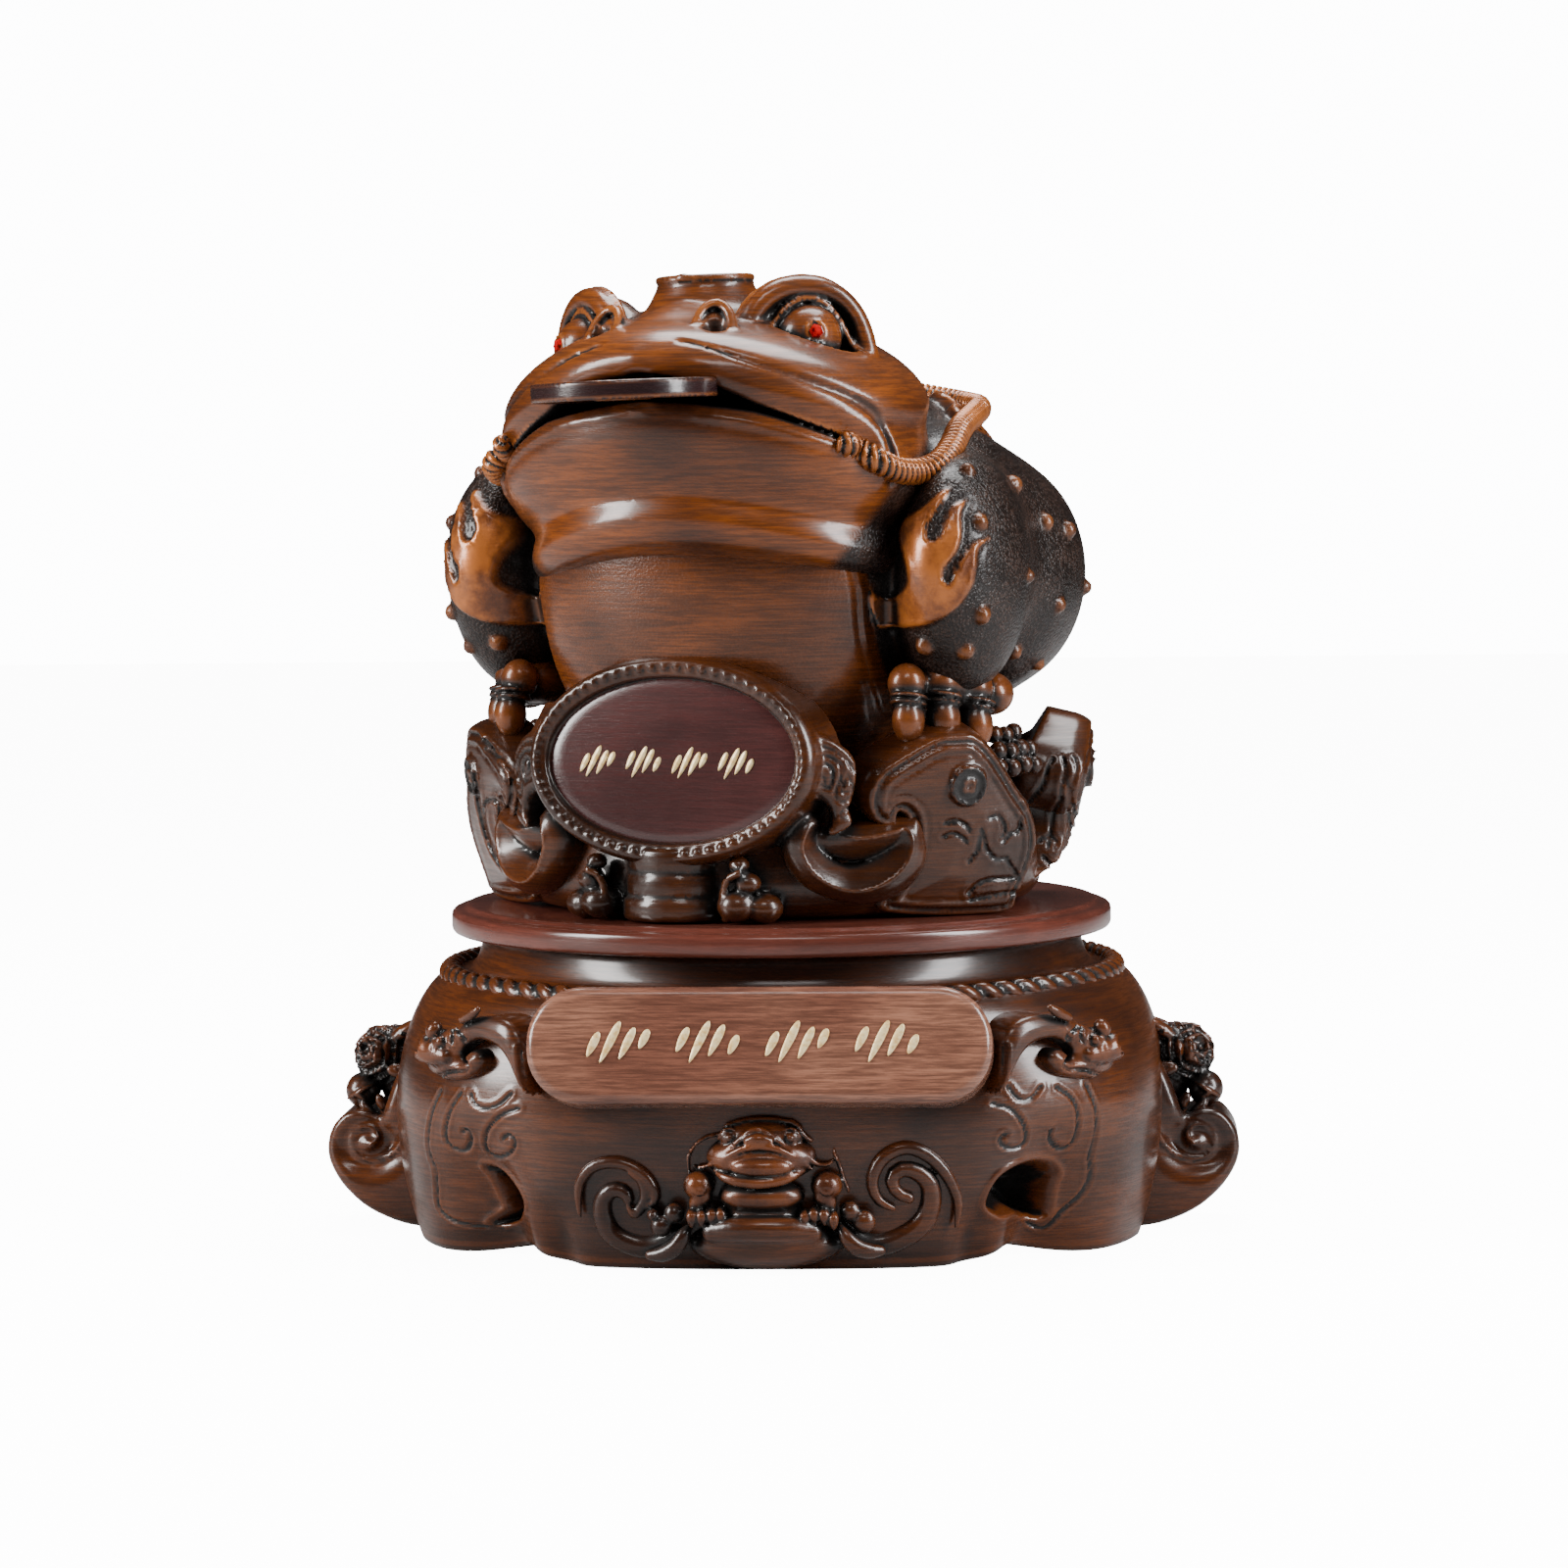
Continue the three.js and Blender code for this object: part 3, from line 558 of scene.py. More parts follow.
def upright(points: Array) -> Array:
    """Points on the head's own axes, before it was tilted to one side about its lip."""
    c, s = math.cos(HEAD_TURN), math.sin(HEAD_TURN)
    above = points[:, 2] - LIP_HEIGHT
    straight = points.copy()
    straight[:, 0] = points[:, 0] * c + above * s
    straight[:, 2] = LIP_HEIGHT - points[:, 0] * s + above * c
    return straight


@dataclass(frozen=True)
class Head:
    """Skull, jaw, lips, eyes, nostrils and crown."""

    centre_y: float = -48.0
    half: tuple[float, float] = (72.0, 61.0)
    mean_half: float = 66.0
    hang: float = 19.0  # how far the sides hang below the middle
    eye: Place = (37.0, -58.0, 185.0)
    look: float = 40.0  # degrees that the eyes look out from straight ahead
    ball: float = 10.8
    # Share of the half size at each height, from the throat to the top of the skull.
    throat: tuple[tuple[float, float], ...] = (
        (0.0, 112.0), (0.55, 114.0), (0.72, 117.0), (0.82, 120.5), (0.868, 125.0), (0.882, 129.0),
        (0.87, 132.6), (0.86, 135.4), (0.878, 139.0), (0.922, 144.0), (0.957, 149.0), (0.983, 154.0),
        (0.991, 158.5), (0.986, 162.0), (0.972, 165.0), (0.962, 170.0), (0.972, 175.0), (0.982, 178.5),
        (0.965, 181.5), (0.925, 184.5), (0.84, 187.6), (0.7, 190.4), (0.5, 192.7), (0.25, 194.2),
        (0.0, 194.6),
    )

    def profile(self) -> Drawing:
        """The skull's outline as radius and height, with its mirror image to close it."""
        return lathe(smooth_line([(share * self.mean_half, height) for share, height in self.throat], 90))

    def at(self, angle: float, height: float, out: float = 0.0) -> Place:
        """Place on the head: degrees from the front, height before the sides hang, mm out of the surface."""
        table = np.array(self.throat)
        share = float(np.interp(height, table[:, 1], table[:, 0]))
        turn = math.radians(angle)
        x = (self.half[0] * share + out) * math.sin(turn)
        y = self.centre_y - (self.half[1] * share + out) * math.cos(turn)
        return x, y, height - self.hang * min(1.2, abs(x) / self.half[0]) ** 2

    def eye_place(self, across: float, up: float, ahead: float) -> Place:
        """Place by the left eye: mm across its look, up, and ahead of the ball's middle."""
        turn = math.radians(self.look)
        x = self.eye[0] + across * math.cos(turn) + ahead * math.sin(turn)
        y = self.eye[1] + across * math.sin(turn) - ahead * math.cos(turn)
        return x, y, self.eye[2] + up

    def lips(self) -> list[tuple[Form, float]]:
        """The upper lip's roll with its curl at the corner, and the folds behind it."""
        upper = [(0, 178.0, -2.4), (16, 176.6, -2.3), (30, 173.4, -2.2), (44, 172.6, -2.2),
                 (55, 171.8, -2.2), (62, 170.0, -2.2), (67, 167.4, -2.0), (69.6, 162.6, -1.9),
                 (70.6, 157.0, -1.8), (70.2, 152.0, -2.0)]
        radii = [3.5, 3.6, 3.7, 3.9, 4.4, 4.8, 4.8, 4.4, 3.4, 1.8]
        fold = [(70.5, 172.0, -1.2), (74.0, 168.5, -1.0), (76.2, 163.0, -0.9), (77.0, 157.0, -1.0),
                (76.6, 151.0, -1.2)]
        second = [(77.5, 169.0, -1.2), (80.2, 163.0, -0.9), (81.2, 157.0, -1.1)]
        return [
            (rod([self.at(*p) for p in upper], radii, 30), 2.6),
            (rod([self.at(*p) for p in fold], [0.5, 1.6, 2.0, 1.7, 0.6], 10), 1.6),
            (rod([self.at(*p) for p in second], [0.5, 1.2, 0.5], 7), 1.6),
        ]

    def lip_lines(self) -> tuple[Rod, Rod]:
        """The groove over the upper lip's roll, and the thin roll along the lower lip."""
        above = [(12, 184.4, -0.6), (30, 181.0, -0.4), (44, 179.4, -0.4), (55, 178.4, -0.2),
                 (62, 176.8, 0.2), (67.4, 174.4, 0.6), (71.6, 169.0, 1.0), (73.4, 161.0, 0.6),
                 (73.4, 153.0, 0.2)]
        lower = [(0, 162.6, -0.6), (20, 161.6, -0.6), (32, 161.6, -0.6), (45, 160.8, -0.6),
                 (55, 159.8, -0.8), (62, 157.6, -1.0)]
        return (rod([self.at(*place) for place in above], [0.1, 0.2, 0.4, 0.7, 1.0, 1.3, 1.4, 1.2, 0.3], 26),
                rod([self.at(*place) for place in lower], [1.6, 1.6, 1.6, 1.5, 1.3, 0.8], 20))

    def hood(self) -> tuple[list[tuple[Form, float]], Rod]:
        """The brow over an eye, a mound and a roll with a thin outer rim, and the eyelid's own bar."""
        roll = [(-21.0, -1.0), (-19.4, 4.0), (-16.6, 8.6), (-12.6, 12.2), (-7.4, 14.4), (-1.6, 15.2),
                (4.2, 14.6), (9.6, 12.2), (13.8, 8.4), (17.0, 3.2), (19.0, -3.4), (20.2, -11.0)]
        rim = [(-24.0, 1.0), (-21.6, 6.8), (-17.8, 11.8), (-12.6, 15.4), (-6.4, 17.6), (0.0, 18.2),
               (6.0, 17.4), (11.8, 14.6), (16.6, 9.8), (20.2, 3.4), (22.2, -4.6), (23.4, -12.0)]
        lid = [(-14.2, -5.0), (-12.8, 0.4), (-10.0, 5.6), (-6.4, 9.2), (-2.0, 11.0), (2.4, 10.8),
               (6.4, 8.6), (9.8, 4.6), (12.4, -0.6), (15.4, -6.4), (18.4, -11.5)]
        lid_radii = [0.7, 1.0, 1.2, 1.3, 1.3, 1.3, 1.3, 1.3, 1.2, 1.1, 0.7]
        mound = Ball(self.eye_place(0.0, -5.0, -5.0), (22.5, 12.0, 20.6), (0, 0, self.look))
        return [
            (mound, 3.0),
            (rod([self.eye_place(a, b, 2.0 + 0.02 * abs(a)) for a, b in roll], 3.7, 22), 1.5),
            (rod([self.eye_place(a, b, -0.6) for a, b in rim], 1.2, 22), 0.8),
        ], rod([self.eye_place(a, b, 4.4) for a, b in lid], lid_radii, 20)

    def nostril(self) -> Rod:
        """A hook that stands on the muzzle, seen from where its open side faces."""
        knots = [(-6.2, -2.6), (-5.6, 3.0), (-3.1, 7.2), (0.2, 8.8), (3.2, 8.0), (5.4, 4.2),
                 (5.8, -1.4), (5.0, -6.6), (2.8, -10.4)]
        radii = [1.0, 1.3, 1.4, 1.5, 1.6, 1.8, 1.9, 1.8, 1.3]
        c, s = math.cos(VIEW_TURN), math.sin(VIEW_TURN)
        lean = 0.62
        places = [(19.6 + c * a - lean * s * b, -89.6 + s * a + lean * c * b, 186.8 + b)
                  for a, b in knots]
        return rod(places, radii, 20)

    def crown(self, clay: Clay, straight: Array) -> None:
        """The hollow-sided cone on the skull, with a moulding round its top and a knob."""
        outline = [(0, 178), (33, 182), (28.5, 186.5), (24.0, 190.0), (20.0, 194.6), (17.4, 199.0),
                   (15.6, 202.6), (15.4, 203.4), (16.0, 203.9), (16.1, 205.2), (15.3, 205.9),
                   (12.6, 206.0), (12.0, 205.2), (0, 205.0)]
        drawn = lathe(outline, 8.0)
        x, y, z = straight.T
        near = np.flatnonzero((np.abs(x) < 45) & (np.abs(y + 52) < 45) & (z > 168))
        cone = drawn.at(np.hypot(x[near], y[near] + 52.0), z[near])
        clay.value[near] = blended(clay.value[near], cone, 5.0)
        clay.add(Ball((-1.0, -66.5, 205.0), (2.0, 1.6, 1.4)), 0.6, straight)
        clay.add(Ball((0.0, -74.0, 184.4), (14.0, 13.0, 10.6)), 5.0, straight)

    def shape(self, points: Array, skull: Drawing) -> Clay:
        """The whole head at points in figure millimetres."""
        clay = Clay(points)
        straight = upright(points)
        folded = mirrored(straight)
        x, y, z = folded.T
        hung = z + self.hang * np.square(np.minimum(1.2, x / self.half[0]))
        deep = (y - self.centre_y) / self.half[1]
        reach = np.hypot(x / self.half[0], deep) * self.mean_half
        angle = np.degrees(np.arctan2(x / self.half[0], -deep))
        clay.value = skull.at(reach, hung)
        far = (reach > 95) | (hung > 215) | (hung < 98)
        clay.value[far] = np.maximum(clay.value[far], 12.0)
        for form, blend in self.lips():
            clay.add(form, blend, folded)
        groove, lower_lip = self.lip_lines()
        clay.cut(groove, 2.4, folded)
        clay.add(lower_lip, 1.0, folded)
        middle = np.interp(angle, [0, 20, 32, 45, 55, 62, 68],
                           [170.0, 168.4, 166.6, 165.0, 163.8, 161.0, 158.0])
        open_half = np.interp(angle, [0, 20, 32, 45, 55, 62, 66, 74],
                              [4.7, 3.6, 1.2, 0.7, 0.6, 0.5, -0.2, -6.0])
        gap = np.maximum(np.abs(hung - middle) - open_half, 30.0 - reach)
        clay.value = -blended(-clay.value, gap, 1.6)
        self.crown(clay, straight)
        hood, lid = self.hood()
        for form, blend in hood:
            clay.add(form, blend, folded)
        socket = Ball(self.eye_place(1.5, -1.5, 6.0), (14.2, 8.6, 13.4), (0, 0, self.look))
        clay.cut(socket, 1.0, folded)
        clay.add(lid, 0.8, folded)
        clay.add(Ball(self.eye_place(0, -1.2, 3.0), (self.ball,) * 3), 0.3, folded)
        for seat in EYE_SEATS:
            clay.add(seat, 0.4)
        clay.add(Ball((17.0, -83.6, 184.6), (6.6, 5.6, 8.8), (0, 0, 24.1)), 3.0, folded)
        clay.add(self.nostril(), 1.0, folded)
        c, s = math.cos(VIEW_TURN), math.sin(VIEW_TURN)
        clay.cut(Ball((19.6 + c * 0.6, -90.6 + s * 0.6, 187.6), (3.6, 4.0, 5.2)), 0.8, folded)
        clay.add(Ball((19.6 - c * 4.6, -91.6 - s * 4.6, 182.4), (6.6, 4.4, 3.6)), 1.6, folded)
        return clay


@dataclass(frozen=True)
class Trunk:
    """Back, belly with its raised panel, shoulders, forelegs, haunches and the single hind leg."""

    belly: Ball = Ball((0, -30, 115), (67, 59, 80))
    back: Ball = Ball((0, 16, 104), (79, 62, 75))
    shoulder: Ball = Ball((81, -34, 112), (19.5, 31, 35))
    forearm: Ball = Ball((77, -34, 94), (17, 20, 24))
    haunch: Ball = Ball((67, 20, 108), (31, 41, 39))
    hump: Ball = Ball((64, -6, 126), (24, 36, 31))
    hind: Ball = Ball((0, 66, 78), (24, 24, 40))
    panel_top: float = 125.6
    # Half width of the raised panel at each height.
    panel_side: tuple[tuple[float, float], ...] = ((50.0, 51.0), (70.0, 56.0), (79.0, 57.0),
                                                   (104.0, 58.2), (126.0, 55.0))

    def flame(self) -> Drawing:
        """Outline of the flame on a shoulder as the camera sees it: mm right of the axis, and height."""
        corners = [
            (120, 1120), (150, 1245), (230, 1250), (330, 1240), (420, 1205), (500, 1145), (550, 1070),
            (570, 990), (575, 930), (595, 895), (635, 868), (575, 878), (535, 905), (505, 950),
            (475, 1010), (462, 1040), (445, 1058), (425, 1040), (425, 1010), (445, 975), (480, 930),
            (502, 880), (508, 820), (505, 770), (520, 735), (542, 712), (500, 715), (462, 740),
            (440, 790), (425, 840), (400, 875), (378, 880), (360, 850), (365, 810), (395, 765),
            (430, 720), (455, 680), (460, 650), (410, 682), (350, 735), (280, 780), (248, 820),
            (242, 870), (258, 930), (275, 1000), (275, 1060), (240, 1105), (200, 1118), (155, 1108),
            (130, 1080),
        ]
        outline = [(19.9 + across * 0.0753, 186.7 - down * 0.0753) for across, down in corners]
        return Drawing([smooth_line(outline, 420, closed=True)], closed=True, step=0.25)

    def chart(self, folded: Array) -> tuple[Array, Array]:
        """How far right of the axis and how near the camera points are, for the side that it sees best."""
        c, s = math.cos(VIEW_TURN), math.sin(VIEW_TURN)
        return folded[:, 0] * c + folded[:, 1] * s, folded[:, 0] * s - folded[:, 1] * c

    def panel(self, folded: Array) -> Array:
        """How far inside the panel's border points on the belly are, in mm: negative outside."""
        x, y, z = folded.T
        heights, widths = np.array(self.panel_side).T
        sideways = np.interp(z, heights, widths) - np.abs(x)
        top = self.panel_top - z
        corner = 5.0
        rounded = corner - np.hypot(np.maximum(corner - sideways, 0.0), np.maximum(corner - top, 0.0))
        return np.minimum(np.minimum(sideways, top), rounded)

    def shape(self, points: Array, flame: Drawing) -> Clay:
        """The whole trunk at points in figure millimetres."""
        clay = Clay(points)
        clay.add(self.back)
        clay.pair(self.hump, 14.0)
        clay.pair(self.haunch, 10.0)
        clay.add(self.hind, 8.0)
        fore = Clay(points)
        fore.pair(self.shoulder)
        fore.pair(self.forearm, 9.0)
        clay.value = blended(clay.value, fore.value, 11.0)
        belly = Clay(points)
        belly.add(self.belly)
        near = np.flatnonzero(np.abs(belly.value) < 9.0)
        inside = self.panel(belly.folded[near])
        front = belly.points[near, 1] < -20.0
        height = 1.7 * step_between(inside, 0.0, 1.0) - 0.5 * hump(inside - 2.0, 0.5)
        height += 0.8 * step_between(inside, 2.4, 3.2)
        belly.value[near] -= np.where(front, height, 0.0)
        clay.value = blended(clay.value, belly.value, 5.0)
        clay.raise_by(lambda near_points: self.flame_height(near_points, flame))
        for wart in WARTS:
            clay.pair(wart, 1.0)
        for mound, seat in BACK_SEATS:
            clay.add(mound, 2.4)
            clay.add(seat, 0.3)
        for coin in BACK_COINS:
            clay.add(coin, 0.6)
        return clay

    def flame_height(self, points: Array, flame: Drawing) -> Array:
        """Relief of the flame: a low plateau with a thin raised rim and a fine groove outside it."""
        across, nearness = self.chart(mirrored(points))
        away = flame.at(across, points[:, 2])
        seen = step_between(nearness, 44.0, 52.0)
        height = 1.15 * step_between(-away, -0.25, 0.75)
        height += 0.35 * hump(away + 1.0, 0.6) - 0.3 * hump(away - 0.9, 0.6)
        return height * seen


def world_box_middle(node: str) -> Array:
    """Middle of a CAD node's box, in figure millimetres."""
    low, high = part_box(node)
    middle = (np.array(low) + np.array(high)) / 2 / MM - [0.0, 0.0, FIGURE_BASE]
    c, s = math.cos(FIGURE_TURN), math.sin(FIGURE_TURN)
    return np.array([middle[0] * c + middle[1] * s, middle[1] * c - middle[0] * s, middle[2]])


@dataclass(frozen=True)
class OldCoin:
    """A round coin with a square hole: raised rim, raised border of the hole, sunk field."""

    middle: Place
    facing: Place
    radius: float
    thick: float
    hole: float
    rim: float = 2.4
    sunk: float = 0.8

    def axes(self) -> Array:
        """Across, up and facing."""
        facing = np.array(self.facing, float)
        facing /= np.linalg.norm(facing)
        across = np.cross([0.0, 0.0, 1.0], facing)
        length = np.linalg.norm(across)
        across = across / length if length > 0.1 else np.array([1.0, 0.0, 0.0])
        return np.array([across, np.cross(facing, across), facing])

    def distance(self, points: Array) -> Array:
        """Distance: a disc whose half thickness drops by the sunk depth between rim and border."""
        u, v, w = ((points - np.array(self.middle)) @ self.axes().T).astype(np.float32).T
        away = np.hypot(u, v)
        square = np.maximum(np.abs(u), np.abs(v)) - self.hole / 2
        inside_rim = step_between(self.radius - self.rim - away, -0.2, 0.4)
        half = self.thick / 2 - self.sunk * (inside_rim * step_between(square, 1.3, 1.9))
        edge = away - self.radius
        corner = np.hypot(np.maximum(edge + 0.7, 0), np.maximum(np.abs(w) - half + 0.7, 0)) - 0.7
        disc = np.where((edge > -0.7) & (np.abs(w) > half - 0.7), corner,
                        np.maximum(edge, np.abs(w) - half))
        return np.maximum(disc, -square)

    def box(self) -> tuple[Array, Array]:
        """Lowest and highest corner."""
        return np.array(self.middle) - self.radius, np.array(self.middle) + self.radius


@dataclass(frozen=True)
class StoneRing:
    """The raised bezel round a stone, with a dished seat inside it."""

    middle: Place
    facing: Place
    radius: float = 3.5
    thick: float = 1.0

    def box(self) -> tuple[Array, Array]:
        """Lowest and highest corner."""
        reach = self.radius + self.thick
        return np.array(self.middle) - reach, np.array(self.middle) + reach

    def distance(self, points: Array) -> Array:
        """Distance to a ring: from the circle of its radius, less its thickness."""
        local = points - np.array(self.middle)
        along = local @ np.array(self.facing)
        across = np.sqrt(np.maximum(np.square(local).sum(1) - np.square(along), 0.0))
        return np.hypot(across - self.radius, along) - self.thick


BACK_STONES = [f"back_gem_{number}" for number in range(1, 8)]


def back_coin(x: float, y: float, radius: float, lift: float) -> OldCoin:
    """A coin that leans on the back's rounded mass over a place, facing away from it."""
    back = Trunk().back
    share = 1 - ((x - back.centre[0]) / back.half[0]) ** 2 - ((y - back.centre[1]) / back.half[1]) ** 2
    place = np.array([x, y, back.centre[2] + back.half[2] * math.sqrt(share)])
    facing = (place - np.array(back.centre)) / np.square(np.array(back.half))
    facing /= np.linalg.norm(facing)
    return OldCoin(tuple(place + lift * facing), tuple(facing), radius, 7.0, 5.2)


BACK_COINS = [back_coin(46, 40, 11, 1.0), back_coin(58, 24, 10, 1.2), back_coin(-46, 44, 11, 1.0),
              back_coin(-58, 26, 10, 1.2)]


def back_seat(stone: str) -> tuple[Ball, StoneRing]:
    """The mound and the bezel that carry a stone, facing away from the middle of the back's rounded mass."""
    back = Trunk().back
    middle = world_box_middle(stone)
    facing = (middle - np.array(back.centre)) / np.square(np.array(back.half))
    facing /= np.linalg.norm(facing)
    seat = StoneRing(tuple(middle - 0.5 * facing), tuple(facing))
    return Ball(tuple(middle - 5.2 * facing), (7.4, 7.4, 6.2)), seat


BACK_SEATS = [back_seat(stone) for stone in BACK_STONES]
EYE_SEATS = [StoneRing(tuple(world_box_middle(f"eye_gem_{name}")),
                       (math.copysign(0.643, side), -0.766, 0.06), 3.3, 0.65)
             for name, side in (("left", world_box_middle("eye_gem_left")[0]),
                                ("right", world_box_middle("eye_gem_right")[0]))]


@dataclass(frozen=True)
class Sight:
    """The camera that took the photograph, to find where a picture place lies on a known surface."""

    focal: float = 5520.0  # pixels of the 1600 pixel frame
    distance: float = 1800.0
    height: float = 273.0
    axis: float = -4.0  # pixels that the object's axis stands to the right of the middle
    azimuth: float = math.radians(3.6)
    down: float = math.radians(4.01)
    roll: float = math.radians(0.6)

    def rays(self, pixels: Trace, figure: bool) -> tuple[Array, Array]:
        """Start and directions of the lines of sight through pixels, in pedestal or in figure millimetres.

        Args:
            pixels: Picture places (x, y) in the 1600 pixel frame.
            figure: Whether the answer is on the figure's own axes.

        Returns:
            The camera's place and one direction a row.
        """
        given = np.asarray(pixels, float) - 800.0
        c, s = math.cos(self.roll), math.sin(self.roll)
        across = (given[:, 0] * c - given[:, 1] * s - self.axis) / self.focal
        fall = (given[:, 0] * s + given[:, 1] * c) / self.focal
        right = np.array([math.cos(self.azimuth), math.sin(self.azimuth), 0.0])
        away = np.array([-math.sin(self.azimuth), math.cos(self.azimuth), 0.0])
        upright_axis = np.array([0.0, 0.0, 1.0])
        ahead = away * math.cos(self.down) - upright_axis * math.sin(self.down)
        upward = away * math.sin(self.down) + upright_axis * math.cos(self.down)
        start = -self.distance * away + self.height * upright_axis
        directions = ahead + np.outer(across, right) - np.outer(fall, upward)
        if figure:
            c, s = math.cos(FIGURE_TURN), math.sin(FIGURE_TURN)
            turn = np.array([[c, s, 0], [-s, c, 0], [0, 0, 1]])
            start = turn @ (start - [0, 0, FIGURE_BASE])
            directions = directions @ turn.T
        return start, directions

    def pixels(self, points: Array) -> tuple[Array, Array]:
        """Picture places (x, y) of points in figure millimetres."""
        world = to_world(points) / MM
        right = np.array([math.cos(self.azimuth), math.sin(self.azimuth), 0.0])
        away = np.array([-math.sin(self.azimuth), math.cos(self.azimuth), 0.0])
        depth = self.distance + world @ away
        rise = world[:, 2] - self.height
        ahead = depth * math.cos(self.down) - rise * math.sin(self.down)
        across = self.focal * (world @ right) / ahead + self.axis
        fall = -self.focal * (rise * math.cos(self.down) + depth * math.sin(self.down)) / ahead
        c, s = math.cos(self.roll), math.sin(self.roll)
        return 800.0 + across * c + fall * s, 800.0 - across * s + fall * c

    def on_plane(self, pixels: Trace, origin: Sequence[float], axes: Array,
                 figure: bool = True) -> Array:
        """Where lines of sight meet a plane, as mm along its first two axes from its origin."""
        start, directions = self.rays(pixels, figure)
        reach = ((np.asarray(origin) - start) @ axes[2]) / (directions @ axes[2])
        places = start + reach[:, None] * directions - np.asarray(origin)
        return places @ np.asarray(axes[:2]).T

    def on_drum(self, pixels: Trace, radius: float, figure: bool = True) -> Array:
        """Where lines of sight meet an upright drum, as mm round it from the front, and height."""
        start, directions = self.rays(pixels, figure)
        a = np.square(directions[:, :2]).sum(1)
        b = directions[:, :2] @ start[:2]
        under = np.maximum(b * b - a * (start[:2] @ start[:2] - radius**2), 0.0)
        places = start + ((-b - np.sqrt(under)) / a)[:, None] * directions
        return np.column_stack([np.arctan2(places[:, 0], -places[:, 1]) * radius, places[:, 2]])


SIGHT = Sight()
RING_RADIUS = 96.0


def outline(points: Array, count: int = 160) -> Array:
    """A smooth closed outline through points."""
    return smooth_line(points, count, closed=True)


def lathe(profile: Trace, margin: float = 14.0) -> Drawing:
    """Half outline of a turned form, as radius and height, with its mirror image to close it."""
    half = np.asarray(profile, np.float32)
    other = half[-2:0:-1] * np.array([-1, 1], np.float32)
    return Drawing([np.vstack([half, other])], closed=True, margin=margin)


def oval(half: tuple[float, float], count: int = 120) -> Array:
    """An ellipse about the origin."""
    turn = np.linspace(0, 2 * math.pi, count, endpoint=False)
    return np.column_stack([half[0] * np.cos(turn), half[1] * np.sin(turn)])


@dataclass(frozen=True)
class Ingot:
    """One sceptre-headed ingot: a leaning plate with curled lobes, a double rim and a coin on its face."""

    degrees: float
    width: float
    swing: float
    inset: float
    side: int = 1  # 1 as seen at the front right, -1 mirrored
    tuck: float = 0.0  # how fast its face draws in towards its foot
    lean: float = 0.24
    face: float = 90.0
    thick: float = 24.0
    half_outline: tuple[tuple[float, float], ...] = (
        (-4.6, 61.0), (-10.0, 60.4), (-16.2, 57.4), (-21.5, 54.0), (-27.0, 50.3), (-30.6, 46.6),
        (-32.4, 42.0), (-32.6, 36.4), (-30.4, 31.4), (-26.4, 28.6), (-22.0, 28.2), (-19.8, 30.4),
        (-20.6, 33.2), (-18.0, 31.0), (-17.0, 24.0), (-20.0, 12.0), (-22.0, 0.0), (20.0, 0.0),
        (26.0, 8.0), (29.4, 20.0), (29.0, 29.0), (25.6, 36.6), (20.0, 43.2), (15.6, 48.6), (10.6, 54.4),
        (5.0, 59.4), (0.5, 61.2),
    )

    def frame(self) -> tuple[Array, Array]:
        """The plate's foot and its axes: across, up and outwards."""
        round_ring = turned_by((0, 0, self.degrees))
        turn = round_ring @ turned_by((math.degrees(self.lean), 0, 0)) @ turned_by((0, 0, self.swing))
        foot = round_ring @ np.array([0.0, self.inset - self.face, 0.0])
        return foot, np.stack([turn[:, 0], turn[:, 2], -turn[:, 1]])

    def drawing(self) -> Drawing:
        """Its outline, narrowed to its width."""
        share = self.width / 58.0
        given = np.array(self.half_outline) * [self.side * share, 1.0]
        return Drawing([outline(given, 220)], closed=True, step=0.3)


@dataclass(frozen=True)
class IngotRing:
    """The ring under the toad: its base, five ingots, pearls in the gaps and the coin stack in front."""

    ingots: tuple[Ingot, ...] = (
        Ingot(60, 58, -14, 0.5), Ingot(-60, 58, 14, 0.5, -1), Ingot(113, 50, 0, 0, tuck=0.02),
        Ingot(-113, 50, 0, 0, -1, tuck=0.02), Ingot(180, 58, 0, 0, tuck=0.01),
    )
    base: tuple[tuple[float, float], ...] = (
        (0, 0.2), (78, 0.2), (83, 1.6), (86, 5.5), (87, 11), (86.4, 18), (84.6, 24), (81.5, 29.5),
        (77, 34.5), (70, 41), (60, 48.5), (50, 50), (0, 50),
    )


RING = IngotRing()
INGOT_DRAWINGS = [ingot.drawing() for ingot in RING.ingots]
RING_BASE = lathe(RING.base)


GROOVE_PIXEL = 0.31  # mm on the figure for each picture place
